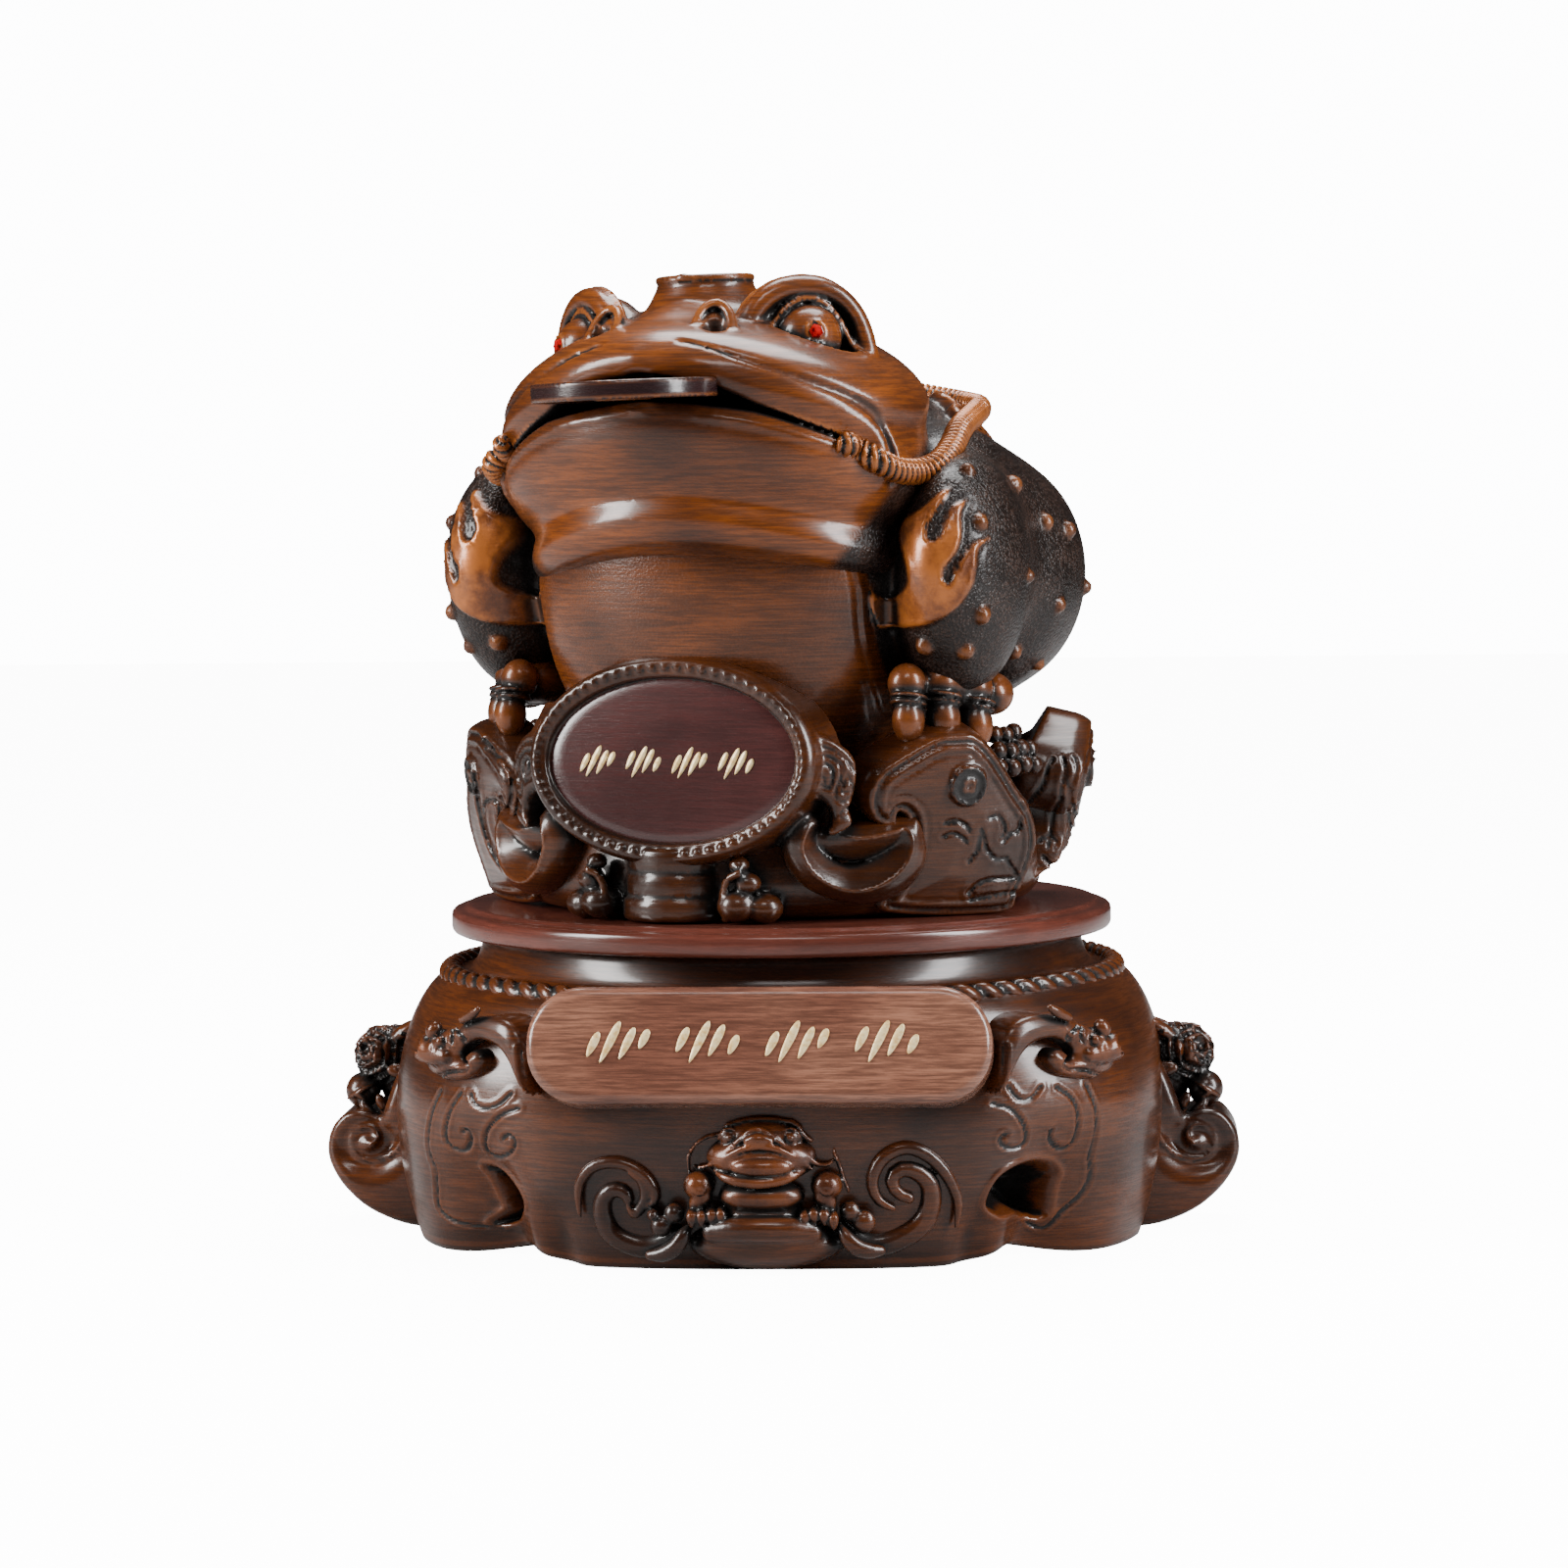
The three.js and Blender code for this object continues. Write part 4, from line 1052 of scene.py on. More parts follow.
# Lines engraved in the ring as they are seen: a corner's left and top, its enlargement, the places in it.
RING_CROPS = [
    ((470, 640), 4.02, [
        [(100, 460), (130, 490), (185, 535), (225, 600), (240, 660), (235, 740), (215, 800), (180, 815),
         (165, 790), (168, 760)],
        [(110, 500), (160, 530), (200, 580), (212, 640), (210, 700), (190, 760)],
        [(100, 800), (98, 745), (115, 712), (150, 712), (165, 750), (160, 790)],
        [(60, 600), (80, 740), (110, 860), (150, 950), (210, 1020), (270, 1045), (320, 1020), (335, 970)],
        [(100, 800), (120, 870), (165, 950), (230, 1000)],
    ]),
    ((860, 680), 5.407, [
        [(1215, 505), (1225, 560), (1235, 640), (1250, 740), (1240, 820), (1265, 900), (1310, 940),
         (1350, 900), (1370, 850)],
        [(1270, 500), (1290, 560), (1270, 640), (1255, 700), (1275, 800), (1300, 870), (1340, 880),
         (1370, 830), (1350, 770)],
        [(1385, 440), (1385, 520), (1400, 620), (1385, 700), (1345, 760)],
        [(1030, 740), (1080, 680), (1110, 630), (1130, 560), (1160, 510)],
        [(1130, 1000), (1150, 880), (1160, 800), (1200, 740), (1205, 680), (1215, 600)],
        [(1080, 960), (1130, 940), (1165, 950), (1180, 980), (1160, 1005)],
        [(1100, 1050), (1160, 1100), (1260, 1110), (1340, 1080), (1400, 1020)],
        [(562, 862), (620, 850), (670, 870), (700, 905)],
        [(545, 944), (600, 922), (650, 937), (685, 972)],
        [(800, 840), (850, 822), (882, 860), (890, 905), (868, 950)],
        [(760, 900), (780, 950), (792, 1010), (842, 1060), (900, 1056)],
        [(880, 970), (920, 922), (962, 905), (985, 840)],
        [(690, 1080), (740, 1010), (752, 940)],
        [(905, 1070), (930, 1110), (960, 1150)],
        [(690, 1250), (740, 1200), (800, 1175), (870, 1170), (960, 1165)],
        [(700, 1285), (790, 1265), (900, 1250), (975, 1245)],
    ]),
]
RING_ENGRAVED = Drawing([smooth_line(np.array(line) / scale + corner, 26)
                         for corner, scale, lines in RING_CROPS for line in lines], step=1.0, margin=20.0)


EMBLEM = (0.3, 44.4)  # middle of the coin on an ingot's face, across and up


def seen_grooves(points: Array) -> Array:
    """Depth of the lines that the camera sees in the ring, at points near its near side."""
    x, y = SIGHT.pixels(points)
    away = RING_ENGRAVED.at(x, y) * GROOVE_PIXEL
    _, nearness = Trunk().chart(points)
    return (1.0 * hump(away, 0.55) - 0.35 * hump(away - 1.2, 0.6)) * step_between(nearness, -24.0, -12.0)


def ring_base(points: Array) -> Array:
    """Distance to the turned base of the ring."""
    return RING_BASE.at(np.hypot(points[:, 0], points[:, 1]), points[:, 2])


def ingots_field(points: Array) -> Array:
    """Distance to the five ingots, each with its relief."""
    clay = Clay(points)
    for ingot, drawn in zip(RING.ingots, INGOT_DRAWINGS):
        foot, axes = ingot.frame()
        plate = Plate(drawn, tuple(foot), axes, ingot.thick, 6.0, 0.16)
        one = Clay(points)
        one.add(plate)
        near = np.flatnonzero(np.abs(one.value) < 8.0)
        local = (points[near] - foot) @ axes.T
        drawn_in = ingot.tuck * np.square(np.maximum(28.0 - local[:, 1], 0.0))
        outer = np.maximum(one.value[near], local[:, 2] + drawn_in - 2.6)
        behind = 0.3 * np.maximum(local[:, 1] - 34.0, 0.0) - ingot.thick - local[:, 2]
        one.value[near] = np.maximum(outer, behind)
        rim = drawn.at(local[:, 0], local[:, 1])
        face = step_between(local[:, 2], -6.0, -2.0)
        relief = 0.9 * hump(rim + 1.6, 1.0) - 0.8 * hump(rim + 3.4, 0.7)
        relief += 0.5 * hump(rim + 5.0, 0.8) - 0.5 * hump(rim + 6.6, 0.6)
        across, up = local[:, 0] - ingot.side * EMBLEM[0], local[:, 1] - EMBLEM[1]
        away = np.hypot(across, up)
        coin = 1.9 * step_between(-away, -6.9, -6.2) - 0.9 * step_between(-away, -5.4, -4.9)
        hole = np.maximum(np.abs(across), np.abs(up))
        coin += 0.9 * hump(hole - 1.7, 0.5)
        one.value[near] -= face * (np.where(away < 9.0, 0.0, relief) + coin)
        clay.value = blended(clay.value, one.value, 1.5)
    clay.add(ARCH, 1.0)
    near = np.flatnonzero(np.abs(clay.value) < 5.0)
    clay.value[near] += seen_grooves(points[near])
    return clay.value


ARCH_AXES = np.array([
    [math.cos(VIEW_TURN), math.sin(VIEW_TURN), 0.0],
    [0.0, 0.0, 1.0],
    [math.sin(VIEW_TURN), -math.cos(VIEW_TURN), 0.0],
])
ARCH_PLACE = (0.0, 0.0, 0.0)
ARCH_OUTLINE = [(1026, 800), (1030, 772), (1040, 753), (1058, 744), (1076, 743), (1087, 749),
                (1090, 772), (1090, 800), (1080, 800), (1077, 782), (1070, 768), (1058, 764),
                (1046, 776), (1042, 804)]
ARCH_EDGE = outline(SIGHT.on_plane(ARCH_OUTLINE, ARCH_PLACE, ARCH_AXES))
ARCH = Plate(Drawing([ARCH_EDGE], closed=True, step=0.3), ARCH_PLACE, ARCH_AXES, 9.0, 2.2)


PLAQUE_ORIGIN = np.array([2.0, -91.0, 51.5])
PLAQUE_LEAN = 0.1
PLAQUE_AXES = np.array([
    [1.0, 0.0, 0.0],
    [0.0, math.sin(PLAQUE_LEAN), math.cos(PLAQUE_LEAN)],
    [0.0, -math.cos(PLAQUE_LEAN), math.sin(PLAQUE_LEAN)],
])
PLAQUE_FACE = (43.6, 26.6)
PLAQUE_DRUM = Drawing([oval((50.0, 33.6))], closed=True)
PLAQUE_OVAL = Drawing([oval(PLAQUE_FACE)], closed=True)

# The wing beside the plaque, traced at the front right and mirrored: its outline and its engraved lines.
WING = [(807, 720), (833, 747), (844, 752), (859, 761), (870, 773), (872, 795), (870, 811), (865, 825),
        (868, 838), (862, 846), (848, 852), (845, 848), (849, 840), (848, 827), (837, 816), (822, 812),
        (800, 812), (780, 780), (785, 735)]
WING_LINES = [
    [(831, 761), (843, 763), (854, 769), (864, 777), (870, 787)],
    [(831, 771), (842, 771), (850, 775), (856, 780), (857, 790), (854, 799), (851, 807), (852, 814),
     (857, 818), (862, 817), (869, 812)],
    [(841, 796), (838, 794), (836, 790), (836, 783), (839, 779), (845, 781), (848, 785), (848, 795),
     (845, 803), (839, 801), (831, 799)],
    [(863, 790), (860, 798), (857, 806), (861, 809), (864, 806)],
    [(863, 790), (866, 795), (869, 802), (869, 808)],
    [(823, 808), (834, 812), (843, 819), (849, 828), (850, 836)],
    [(856, 830), (860, 826), (864, 824)],
    [(857, 836), (862, 834), (865, 830)],
    [(812, 722), (831, 744), (836, 749), (849, 755), (863, 765), (869, 774)],
]
BOAT_OUTER = [(846, 848), (842, 838), (831, 828), (817, 828), (803, 838), (796, 855), (799, 878),
              (816, 902), (846, 918), (884, 925), (920, 918), (944, 898), (954, 872), (950, 842),
              (938, 826), (922, 832)]
BOAT_INNER = [(842, 845), (834, 842), (825, 848), (819, 861), (820, 873), (830, 890), (846, 902),
              (865, 909), (884, 908), (904, 899), (918, 886), (925, 874), (928, 861), (924, 847),
              (912, 850), (880, 856), (858, 852)]
WING_OUTLINE = Drawing([outline(SIGHT.on_drum(WING, RING_RADIUS))], closed=True, step=0.25)
WING_ENGRAVED = Drawing([smooth_line(SIGHT.on_drum(line, RING_RADIUS), 24) for line in WING_LINES],
                        step=0.25)
BOAT_SHAPE = Drawing([outline(SIGHT.on_drum(BOAT_OUTER, RING_RADIUS))], closed=True, step=0.25)
BOAT_BOWL = Drawing([outline(SIGHT.on_drum(BOAT_INNER, RING_RADIUS))], closed=True, step=0.25)


BEADS = 66
BEAD_OVAL = (46.9, 29.8)
BEAD_RADIUS = 1.5


def front_field(points: Array) -> Array:
    """Distance to the front of the ring: the plaque's drum and frame, its wings and the two boats."""
    local = (points - PLAQUE_ORIGIN) @ PLAQUE_AXES.T
    rim = PLAQUE_DRUM.at(local[:, 0], local[:, 1])
    inner = PLAQUE_OVAL.at(local[:, 0], local[:, 1])
    front = local[:, 2] - 0.4 - 1.0 * hump(rim + 2.2, 1.6)
    front += 2.6 * step_between(-inner, -0.6, 0.4)
    body = np.maximum(np.maximum(rim, front), -24.0 - local[:, 2])
    corner = np.hypot(np.maximum(rim + 3.0, 0.0), np.maximum(front + 3.0, 0.0)) - 3.0
    value = np.where((rim > -3.0) & (front > -3.0), corner, body)
    turn = np.arctan2(local[:, 1] / BEAD_OVAL[1], local[:, 0] / BEAD_OVAL[0])
    nearest = np.round(turn * BEADS / (2 * math.pi)) * 2 * math.pi / BEADS
    bead = np.stack([BEAD_OVAL[0] * np.cos(nearest), BEAD_OVAL[1] * np.sin(nearest)], 1)
    beads = np.sqrt(np.square(local[:, :2] - bead).sum(1) + np.square(local[:, 2] - 0.2)) - BEAD_RADIUS
    value = np.minimum(value, beads)
    folded = np.abs(points[:, 0])
    around = np.arctan2(folded, -points[:, 1]) * RING_RADIUS
    radius = np.hypot(points[:, 0], points[:, 1])
    height = points[:, 2]
    wing = WING_OUTLINE.at(around, height)
    lines = WING_ENGRAVED.at(around, height)
    surface = radius - 97.5 + 0.9 * hump(lines, 0.55) - 0.3 * np.minimum(-wing, 3.0)
    slab = np.maximum(np.maximum(np.maximum(wing, surface), 90.0 - radius), -2.0 - rim)
    value = blended(value, slab, 1.5)
    boat = BOAT_SHAPE.at(around, height)
    bowl = BOAT_BOWL.at(around, height)
    swell = 1.0 - np.clip((boat + 9.0) / 9.0, 0.0, 1.0) ** 2
    depth = 1.05 * np.clip(-bowl, 0.0, 8.0) + 11.0 * step_between(-bowl, 7.0, 9.5)
    crest = 88.0 + 9.5 * np.sqrt(np.maximum(swell, 0.0)) + 0.5 * hump(bowl - 0.4, 0.7) - depth
    hull = np.maximum(np.maximum(boat, (radius - crest) * 0.8), 70.0 - radius)
    return blended(value, hull, 1.5)


def ring_field(points: Array) -> Array:
    """Distance to the ring's base with its pearls and the coin stack."""
    clay = Clay(points)
    clay.value = ring_base(points)
    for x, y, z in PEARLS:
        clay.pair(Ball((x, y, z), (3.1, 3.1, 3.1)), 0.3)
    stack = STACK.at(np.hypot(points[:, 0], points[:, 1] + 80.0), points[:, 2])
    clay.value = blended(clay.value, stack, 0.8)
    for x, y, z, size in ((24, -88, 5.5, 6.5), (31.5, -84, 4.6, 6.2), (27.5, -87.5, 12.6, 4.4),
                          (25, -88.6, 18.6, 3.4)):
        clay.pair(Ball((x, y, z), (size, size, size * 0.8)), 0.4)
    clay.pair(rod([(21.4, -91, 1.5), (20.6, -91.5, 8), (22.6, -92, 14), (27, -92.4, 16.4)], 1.3, 12), 0.3)
    return clay.value


STACK = lathe([(0, 0.2), (17, 0.2), (18, 1.2), (18, 6.4), (17.4, 7.4), (16, 8), (16.8, 9), (16.8, 14),
               (16, 15), (15.2, 15.6), (16.2, 16.6), (16.2, 22.6), (15.4, 23.6), (0, 24)])


def pearl_heap() -> list[Place]:
    """Places of the pearls in a side gap: three rows round a low mound, each row set back from the last."""
    places = []
    for height, radius, count, start in ((46.5, 91.0, 4, 75.0), (51.5, 88.0, 4, 77.5),
                                         (56.5, 84.0, 3, 80.0)):
        for i in range(count):
            turn = math.radians(start + 4.8 * i)
            places.append((radius * math.sin(turn), -radius * math.cos(turn), height - 0.6 * (i % 2)))
    return places


PEARLS = pearl_heap()


FOOT_RADIUS = 91.0


def toe_forms() -> list[tuple[Form, float]]:
    """A forefoot: three toes, each a knuckle, a double ring and a long tip, and a thumb behind."""
    forms: list[tuple[Form, float]] = []
    toes = [((930, 698), (926, 735), 4.8), ((964, 697), (961, 734), 5.2), ((999, 703), (994, 740), 5.2)]
    for knuckle, tip, size in toes:
        (k_around, k_up), (t_around, t_up) = SIGHT.on_drum([knuckle, tip], FOOT_RADIUS)

        def at(around: float, up: float, out: float) -> Place:
            """Place that stands out from the feet's drum."""
            angle = around / FOOT_RADIUS
            return ((FOOT_RADIUS + out) * math.sin(angle), -(FOOT_RADIUS + out) * math.cos(angle), up)

        forms.append((Ball(at(k_around, k_up, -3), (size + 1.4, size + 1.4, size + 1.8)), 0.8))
        for share in (0.36, 0.54):
            around, up = k_around + (t_around - k_around) * share, k_up + (t_up - k_up) * share
            forms.append((Ball(at(around, up, -0.6), (size + 1.3, size + 1.5, 1.3), (-14, 0, 0)), 0.15))
        forms.append((Ball(at(t_around, t_up, 0.6), (size + 0.4, size + 0.8, size + 2.6)), 0.3))
    (around, up), = SIGHT.on_drum([(1024, 708)], FOOT_RADIUS)
    angle = around / FOOT_RADIUS
    forms.append((Ball((86 * math.sin(angle), -86 * math.cos(angle), up), (7.4, 9.4, 7.0), (0, 0, 30)),
                  0.6))
    forms.append((Ball((72, -32, 74), (13, 20, 9)), 2.0))
    return forms


TOES = toe_forms()


def feet_field(points: Array) -> Array:
    """Distance to the feet."""
    clay = Clay(points)
    for form, blend in TOES:
        clay.pair(form, blend)
    clay.add(Ball((0, 90, 62), (16, 12, 9)), 1.0)
    for x in (-9.0, 0.0, 9.0):
        clay.add(Ball((x, 99.0 - 0.03 * x * x, 60), (4.6, 7.5, 6)), 0.6)
    return clay.value


SKULL = Head().profile()
FLAME = Trunk().flame()


WARTS: list[Ball] = []  # filled once the bare skin that they sit on is known
WART_PLACES = [(987, 480, 2.4), (1033, 495, 3.3), (999, 533, 2.8), (1066, 533, 3.0), (1089, 541, 3.0),
               (1049, 588, 2.2), (1080, 617, 2.6), (1106, 599, 2.6), (1002, 628, 2.9), (944, 659, 3.0),
               (985, 664, 2.8), (1034, 665, 2.8), (1059, 678, 2.2), (512, 690, 2.4), (535, 657, 2.6),
               (1014, 700, 2.0)]


def head_field(points: Array) -> Array:
    """Distance to the head."""
    return Head().shape(points, SKULL).value


def skin_places(pixels: Trace, start: float = 1600.0, end: float = 1900.0) -> Array:
    """Where lines of sight first meet the skin of head or trunk, found by stepping along them."""
    eye, directions = SIGHT.rays([pixel[:2] for pixel in pixels], True)
    reach = np.arange(start, end, 1.0)
    points = (eye + directions[:, None] * reach[:, None]).reshape(-1, 3).astype(np.float32)
    inside = (np.minimum(trunk_field(points), head_field(points)) < 0).reshape(len(pixels), -1)
    first = np.where(inside.any(1), inside.argmax(1), len(reach) // 2)
    return eye + directions * reach[first][:, None]


def trunk_field(points: Array) -> Array:
    """Distance to the trunk."""
    return Trunk().shape(points, FLAME).value


ROPE_PIXELS = [(852, 447), (860, 452), (873, 457.6), (893.5, 469), (914, 479.5), (937, 481), (957, 473),
               (970, 457.6), (980, 437)]
WARTS.extend([Ball(tuple(place), (size,) * 3)
              for place, (_, _, size) in zip(skin_places(WART_PLACES), WART_PLACES)])


def rope_path() -> Array:
    """Middle line of the rope: from the mouth's corner along the traced places, then round the back."""
    _, directions = SIGHT.rays(ROPE_PIXELS, True)
    seen = skin_places(ROPE_PIXELS) - 2.0 * directions
    behind = np.array([(62, 23, 160.6), (60, 31, 162.4), (53, 39, 163.4), (42, 46, 165),
                       (25, 52, 167.5), (12, 54, 168.5), (0, 55, 168.5)], float)
    right = np.concatenate([seen, behind])
    left = (right[:-1] * [-1, 1, 1])[::-1]
    route = smooth_line(np.concatenate([right, left]), 1500)
    step = np.linalg.norm(np.diff(route, axis=0), axis=1)
    along = np.concatenate([[0], np.cumsum(step)])
    even = np.linspace(0, along[-1], 1100)
    path = np.column_stack([np.interp(even, along, route[:, axis]) for axis in range(3)])
    kernel = np.ones(17) / 17
    soft = np.column_stack([np.convolve(np.pad(path[:, axis], 8, "edge"), kernel, "valid")
                            for axis in range(3)])
    return soft


SCROLL_CHART = 2.05  # mm on the pedestal's chart for each degree round it


@dataclass(frozen=True)
class Drum:
    """The lobed drum of the pedestal: half sizes, and the hollows that part its lobes."""

    half_width: float = 128.0
    half_depth: float = 112.0
    shoulder: float = 87.0
    top_radius: float = 108.0
    power: float = 2.6
    # Each hollow: degrees from a broad face, its width in degrees, its depth and how high it runs, in mm.
    hollows: tuple[tuple[float, float, float, float], ...] = ((47, 7, 13, 52), (34, 3, 4, 26),
                                                              (84, 4, 8, 66))

    def radius(self, angle: Array, height: Array) -> Array:
        """Radius at an angle in radians from the front and a height.

        A superellipse drawn in at the foot, rounded over to the top radius from half the shoulder's height,
        less the hollows, each a bell curve round the drum that fades out upwards.
        """
        across = np.abs(np.sin(angle)) / self.half_width
        deep = np.abs(np.cos(angle)) / self.half_depth
        drum = (across**self.power + deep**self.power) ** (-1 / self.power)
        foot = 1 - 0.06 * np.square(1 - np.minimum(1, height / 45))
        over = np.clip((height - self.shoulder / 2) / (self.shoulder / 2), 0, 1)
        shoulder = 1 - np.sqrt(1 - over**1.8)
        round_over = drum * foot * (1 - shoulder) + self.top_radius * shoulder
        degrees = np.abs(np.degrees(angle))
        from_face = np.minimum(degrees, 180 - degrees)
        for at, width, depth, top in self.hollows:
            fading = 1 - step_between(height, top / 3, top)
            round_over = round_over - depth * hump(from_face - at, width) * fading
        return round_over

    def places(self, pixels: Trace) -> Array:
        """Picture places as mm round the drum and height, by closing in on the drum's own radius."""
        radius = np.full(len(pixels), 116.0)
        for _ in range(4):
            found = SIGHT.on_drum(pixels, radius, False)
            angle = found[:, 0] / radius
            radius = self.radius(angle, np.clip(found[:, 1], 1.0, 86.0))
        return np.column_stack([np.degrees(angle) * SCROLL_CHART, found[:, 1]])


DRUM = Drum()

# Lines on the drum, traced on the left and on the right of the photograph.
DRUM_LINES = [
    [(450, 1113), (441, 1136), (436, 1163), (438, 1181), (443, 1192), (443, 1213), (450, 1232),
     (461, 1247), (486, 1259)],
    [(470, 1115), (459, 1134), (454, 1156), (457, 1170), (468, 1174), (478, 1167), (480, 1158),
     (475, 1152), (471, 1155)],
    [(529, 1131), (511, 1138), (498, 1152), (495, 1166), (500, 1177), (512, 1180), (523, 1174),
     (525, 1163), (518, 1158), (513, 1162)],
    [(480, 1116), (484, 1127), (495, 1131), (509, 1127), (521, 1116)],
    [(1108, 1106), (1118, 1132), (1118, 1159), (1115, 1179), (1117, 1199), (1112, 1219), (1098, 1239),
     (1085, 1252), (1058, 1255), (1042, 1242)],
    [(1029, 1109), (1039, 1121), (1052, 1121), (1062, 1109)],
    [(1012, 1126), (1032, 1132), (1045, 1149), (1045, 1166), (1032, 1172), (1021, 1167), (1022, 1159),
     (1028, 1158)],
    [(1078, 1109), (1095, 1122), (1100, 1146), (1095, 1166), (1082, 1172), (1071, 1163), (1072, 1153)],
]
PITS = [
    [(484, 1200), (489, 1192), (502, 1190), (514, 1195), (525, 1206), (534, 1220), (536, 1232),
     (530, 1244), (519, 1250), (504, 1248), (490, 1238), (482, 1225), (480, 1212)],
    [(1006, 1228), (1018, 1203), (1041, 1188), (1064, 1186), (1081, 1196), (1085, 1212), (1078, 1231),
     (1062, 1241), (1046, 1241), (1034, 1236), (1020, 1240)],
]


def drawn_lines(lines: Sequence[Trace]) -> Drawing:
    """Smooth lines on the pedestal's chart, traced on the photograph."""
    placed = [smooth_line(DRUM.places(line), 30) for line in lines]
    return Drawing(placed, step=0.3)


ENGRAVED = drawn_lines(DRUM_LINES)
PIT_SHAPE = Drawing([outline(DRUM.places(pit), 90) for pit in PITS], closed=True, step=0.4)


def both_faces(around: Array) -> Array:
    """Chart place on the front for one on the back, turned half round, so that the back is carved alike."""
    half = 180.0 * SCROLL_CHART
    return np.where(around > half / 2, around - half, np.where(around < -half / 2, around + half, around))


def drum_radius(angle: Array, height: Array) -> Array:
    """The drum's radius with its relief: grooves with a fine ridge beside them, and two pits on each face."""
    around = both_faces(np.degrees(angle) * SCROLL_CHART)
    lines = ENGRAVED.at(around, height)
    pit = PIT_SHAPE.at(around, height)
    relief = 0.4 * hump(lines - 1.2, 0.55) - 1.15 * hump(lines, 0.5)
    pits = 0.9 * hump(pit - 1.2, 1.0) - 12.0 * step_between(-pit, -0.6, 4.0)
    pits -= 5.0 * step_between(-pit, 3.0, 8.0)
    return DRUM.radius(angle, height) + relief + pits


def drum_surface(fine: float, coarse: float) -> tuple[Array, Array, Array]:
    """The lobed drum with its shoulder, neck and underside, as rows round the axis.

    Each turn's column runs from the middle of the underside out to the foot, up the relief by the drum's
    own radius, in over the shoulder and up the concave neck to the middle of its top. The turns are closest
    together where the fine lines are.

    Args:
        fine: Spacing in mm where the lines are.
        coarse: Spacing elsewhere.

    Returns:
        The vertices in mm, the quads, and a mask of the grooves.
    """
    steps = 7200
    degrees = np.linspace(-180, 180, steps + 1)[:-1]
    spacing = np.where((np.abs(degrees) > 22) & (np.abs(degrees) < 74), fine, coarse) / SCROLL_CHART
    places_so_far = np.concatenate([[0.0], np.cumsum(1.0 / spacing) * (360.0 / steps)])
    count = int(places_so_far[-1])
    turn = np.radians(np.interp(np.arange(count), places_so_far * count / places_so_far[-1],
                                np.append(degrees, 180)))
    up = np.concatenate([np.arange(0, 4, 1.2), np.arange(4, 64, fine), np.arange(64, 84, 1.3),
                         [84.6, 85.6, 86.4, 86.9]])
    angle, height = np.meshgrid(turn, up, indexing="ij")
    from_face = np.minimum(np.abs(np.degrees(turn)), 180 - np.abs(np.degrees(turn)))
    foot = 0.4 + 4.0 * hump(from_face - 43, 7.0)
    radius = drum_radius(angle, height)
    squeeze = np.clip(height / 12.0, 0, 1)
    height = foot[:, None] * (1 - squeeze) + height
    smooth = DRUM.radius(turn, np.full_like(turn, 0.5))
    inner = np.array([0.001, 0.35, 0.7, 0.9, 0.975, 0.992])
    lower = smooth[:, None] * inner
    lower_height = np.where(inner > 0.6, foot[:, None] + np.where(inner > 0.98, 0.2, 0.0), 0.6)
    neck = np.array([(106.4, 87.0), (105.0, 87.3), (103.6, 88.0), (102.2, 89.4), (101.2, 91.2),
                     (100.4, 93.4), (99.8, 96), (99.4, 98.1), (98.8, 98.9), (60, 98.9), (22, 98.9),
                     (0.001, 98.9)])
    radius = np.concatenate([lower, radius, np.broadcast_to(neck[:, 0], (count, len(neck)))], 1)
    height = np.concatenate([lower_height, height, np.broadcast_to(neck[:, 1], (count, len(neck)))], 1)
    places = np.stack([radius * np.sin(turn)[:, None], -radius * np.cos(turn)[:, None], height], -1)
    return places.reshape(-1, 3), grid_quads(*radius.shape, True, False), places


def creases(places: Array) -> tuple[Array, Array]:
    """Hollow and ridge masks of a grid of points, from how far each lies inside its neighbours' middle."""
    # the finish paints shade, together with stain, where this hollow mask is high
    hollow = np.zeros(places.shape[:2])
    for reach in (2, 5):
        middle = sum(np.roll(places, shift, axis) for axis in (0, 1) for shift in (reach, -reach)) / 4
        outward_way = places * [1, 1, 0]
        outward_way = outward_way / np.maximum(np.linalg.norm(outward_way, axis=-1, keepdims=True), 1e-6)
        hollow += ((middle - places) * outward_way).sum(-1) / (0.55 * reach)
    hollow[:, :8] = hollow[:, -18:] = 0
    return np.clip(hollow, 0, 1).ravel(), np.clip(-hollow - 0.12, 0, 1).ravel()


@dataclass(frozen=True)
class NameBoard:
    """The thick board with round ends that leans back against the drum."""

    width: float = 146.0
    height: float = 37.0
    corner: float = 17.6
    thick: float = 26.0
    lean: float = 0.2
    middle: Place = (0.0, -123.0, 74.0)

    def axes(self) -> Array:
        """Across, up and outwards."""
        c, s = math.cos(self.lean), math.sin(self.lean)
        return np.array([[1.0, 0.0, 0.0], [0.0, s, c], [0.0, -c, s]])

    def drawing(self) -> Drawing:
        """Its outline: a rectangle with round corners."""
        turn = np.linspace(0, 2 * math.pi, 121)[:-1]
        reach = np.array([self.width / 2 - self.corner, self.height / 2 - self.corner])
        way = np.column_stack([np.cos(turn), np.sin(turn)])
        return Drawing([self.corner * way + reach * np.sign(way)], closed=True)


BOARD = NameBoard()
BOARD_PLATE = Plate(BOARD.drawing(), BOARD.middle, BOARD.axes(), BOARD.thick, 3.0)


def board_field(points: Array) -> Array:
    """Distance to the name board."""
    clay = Clay(points)
    clay.add(BOARD_PLATE)
    return clay.value


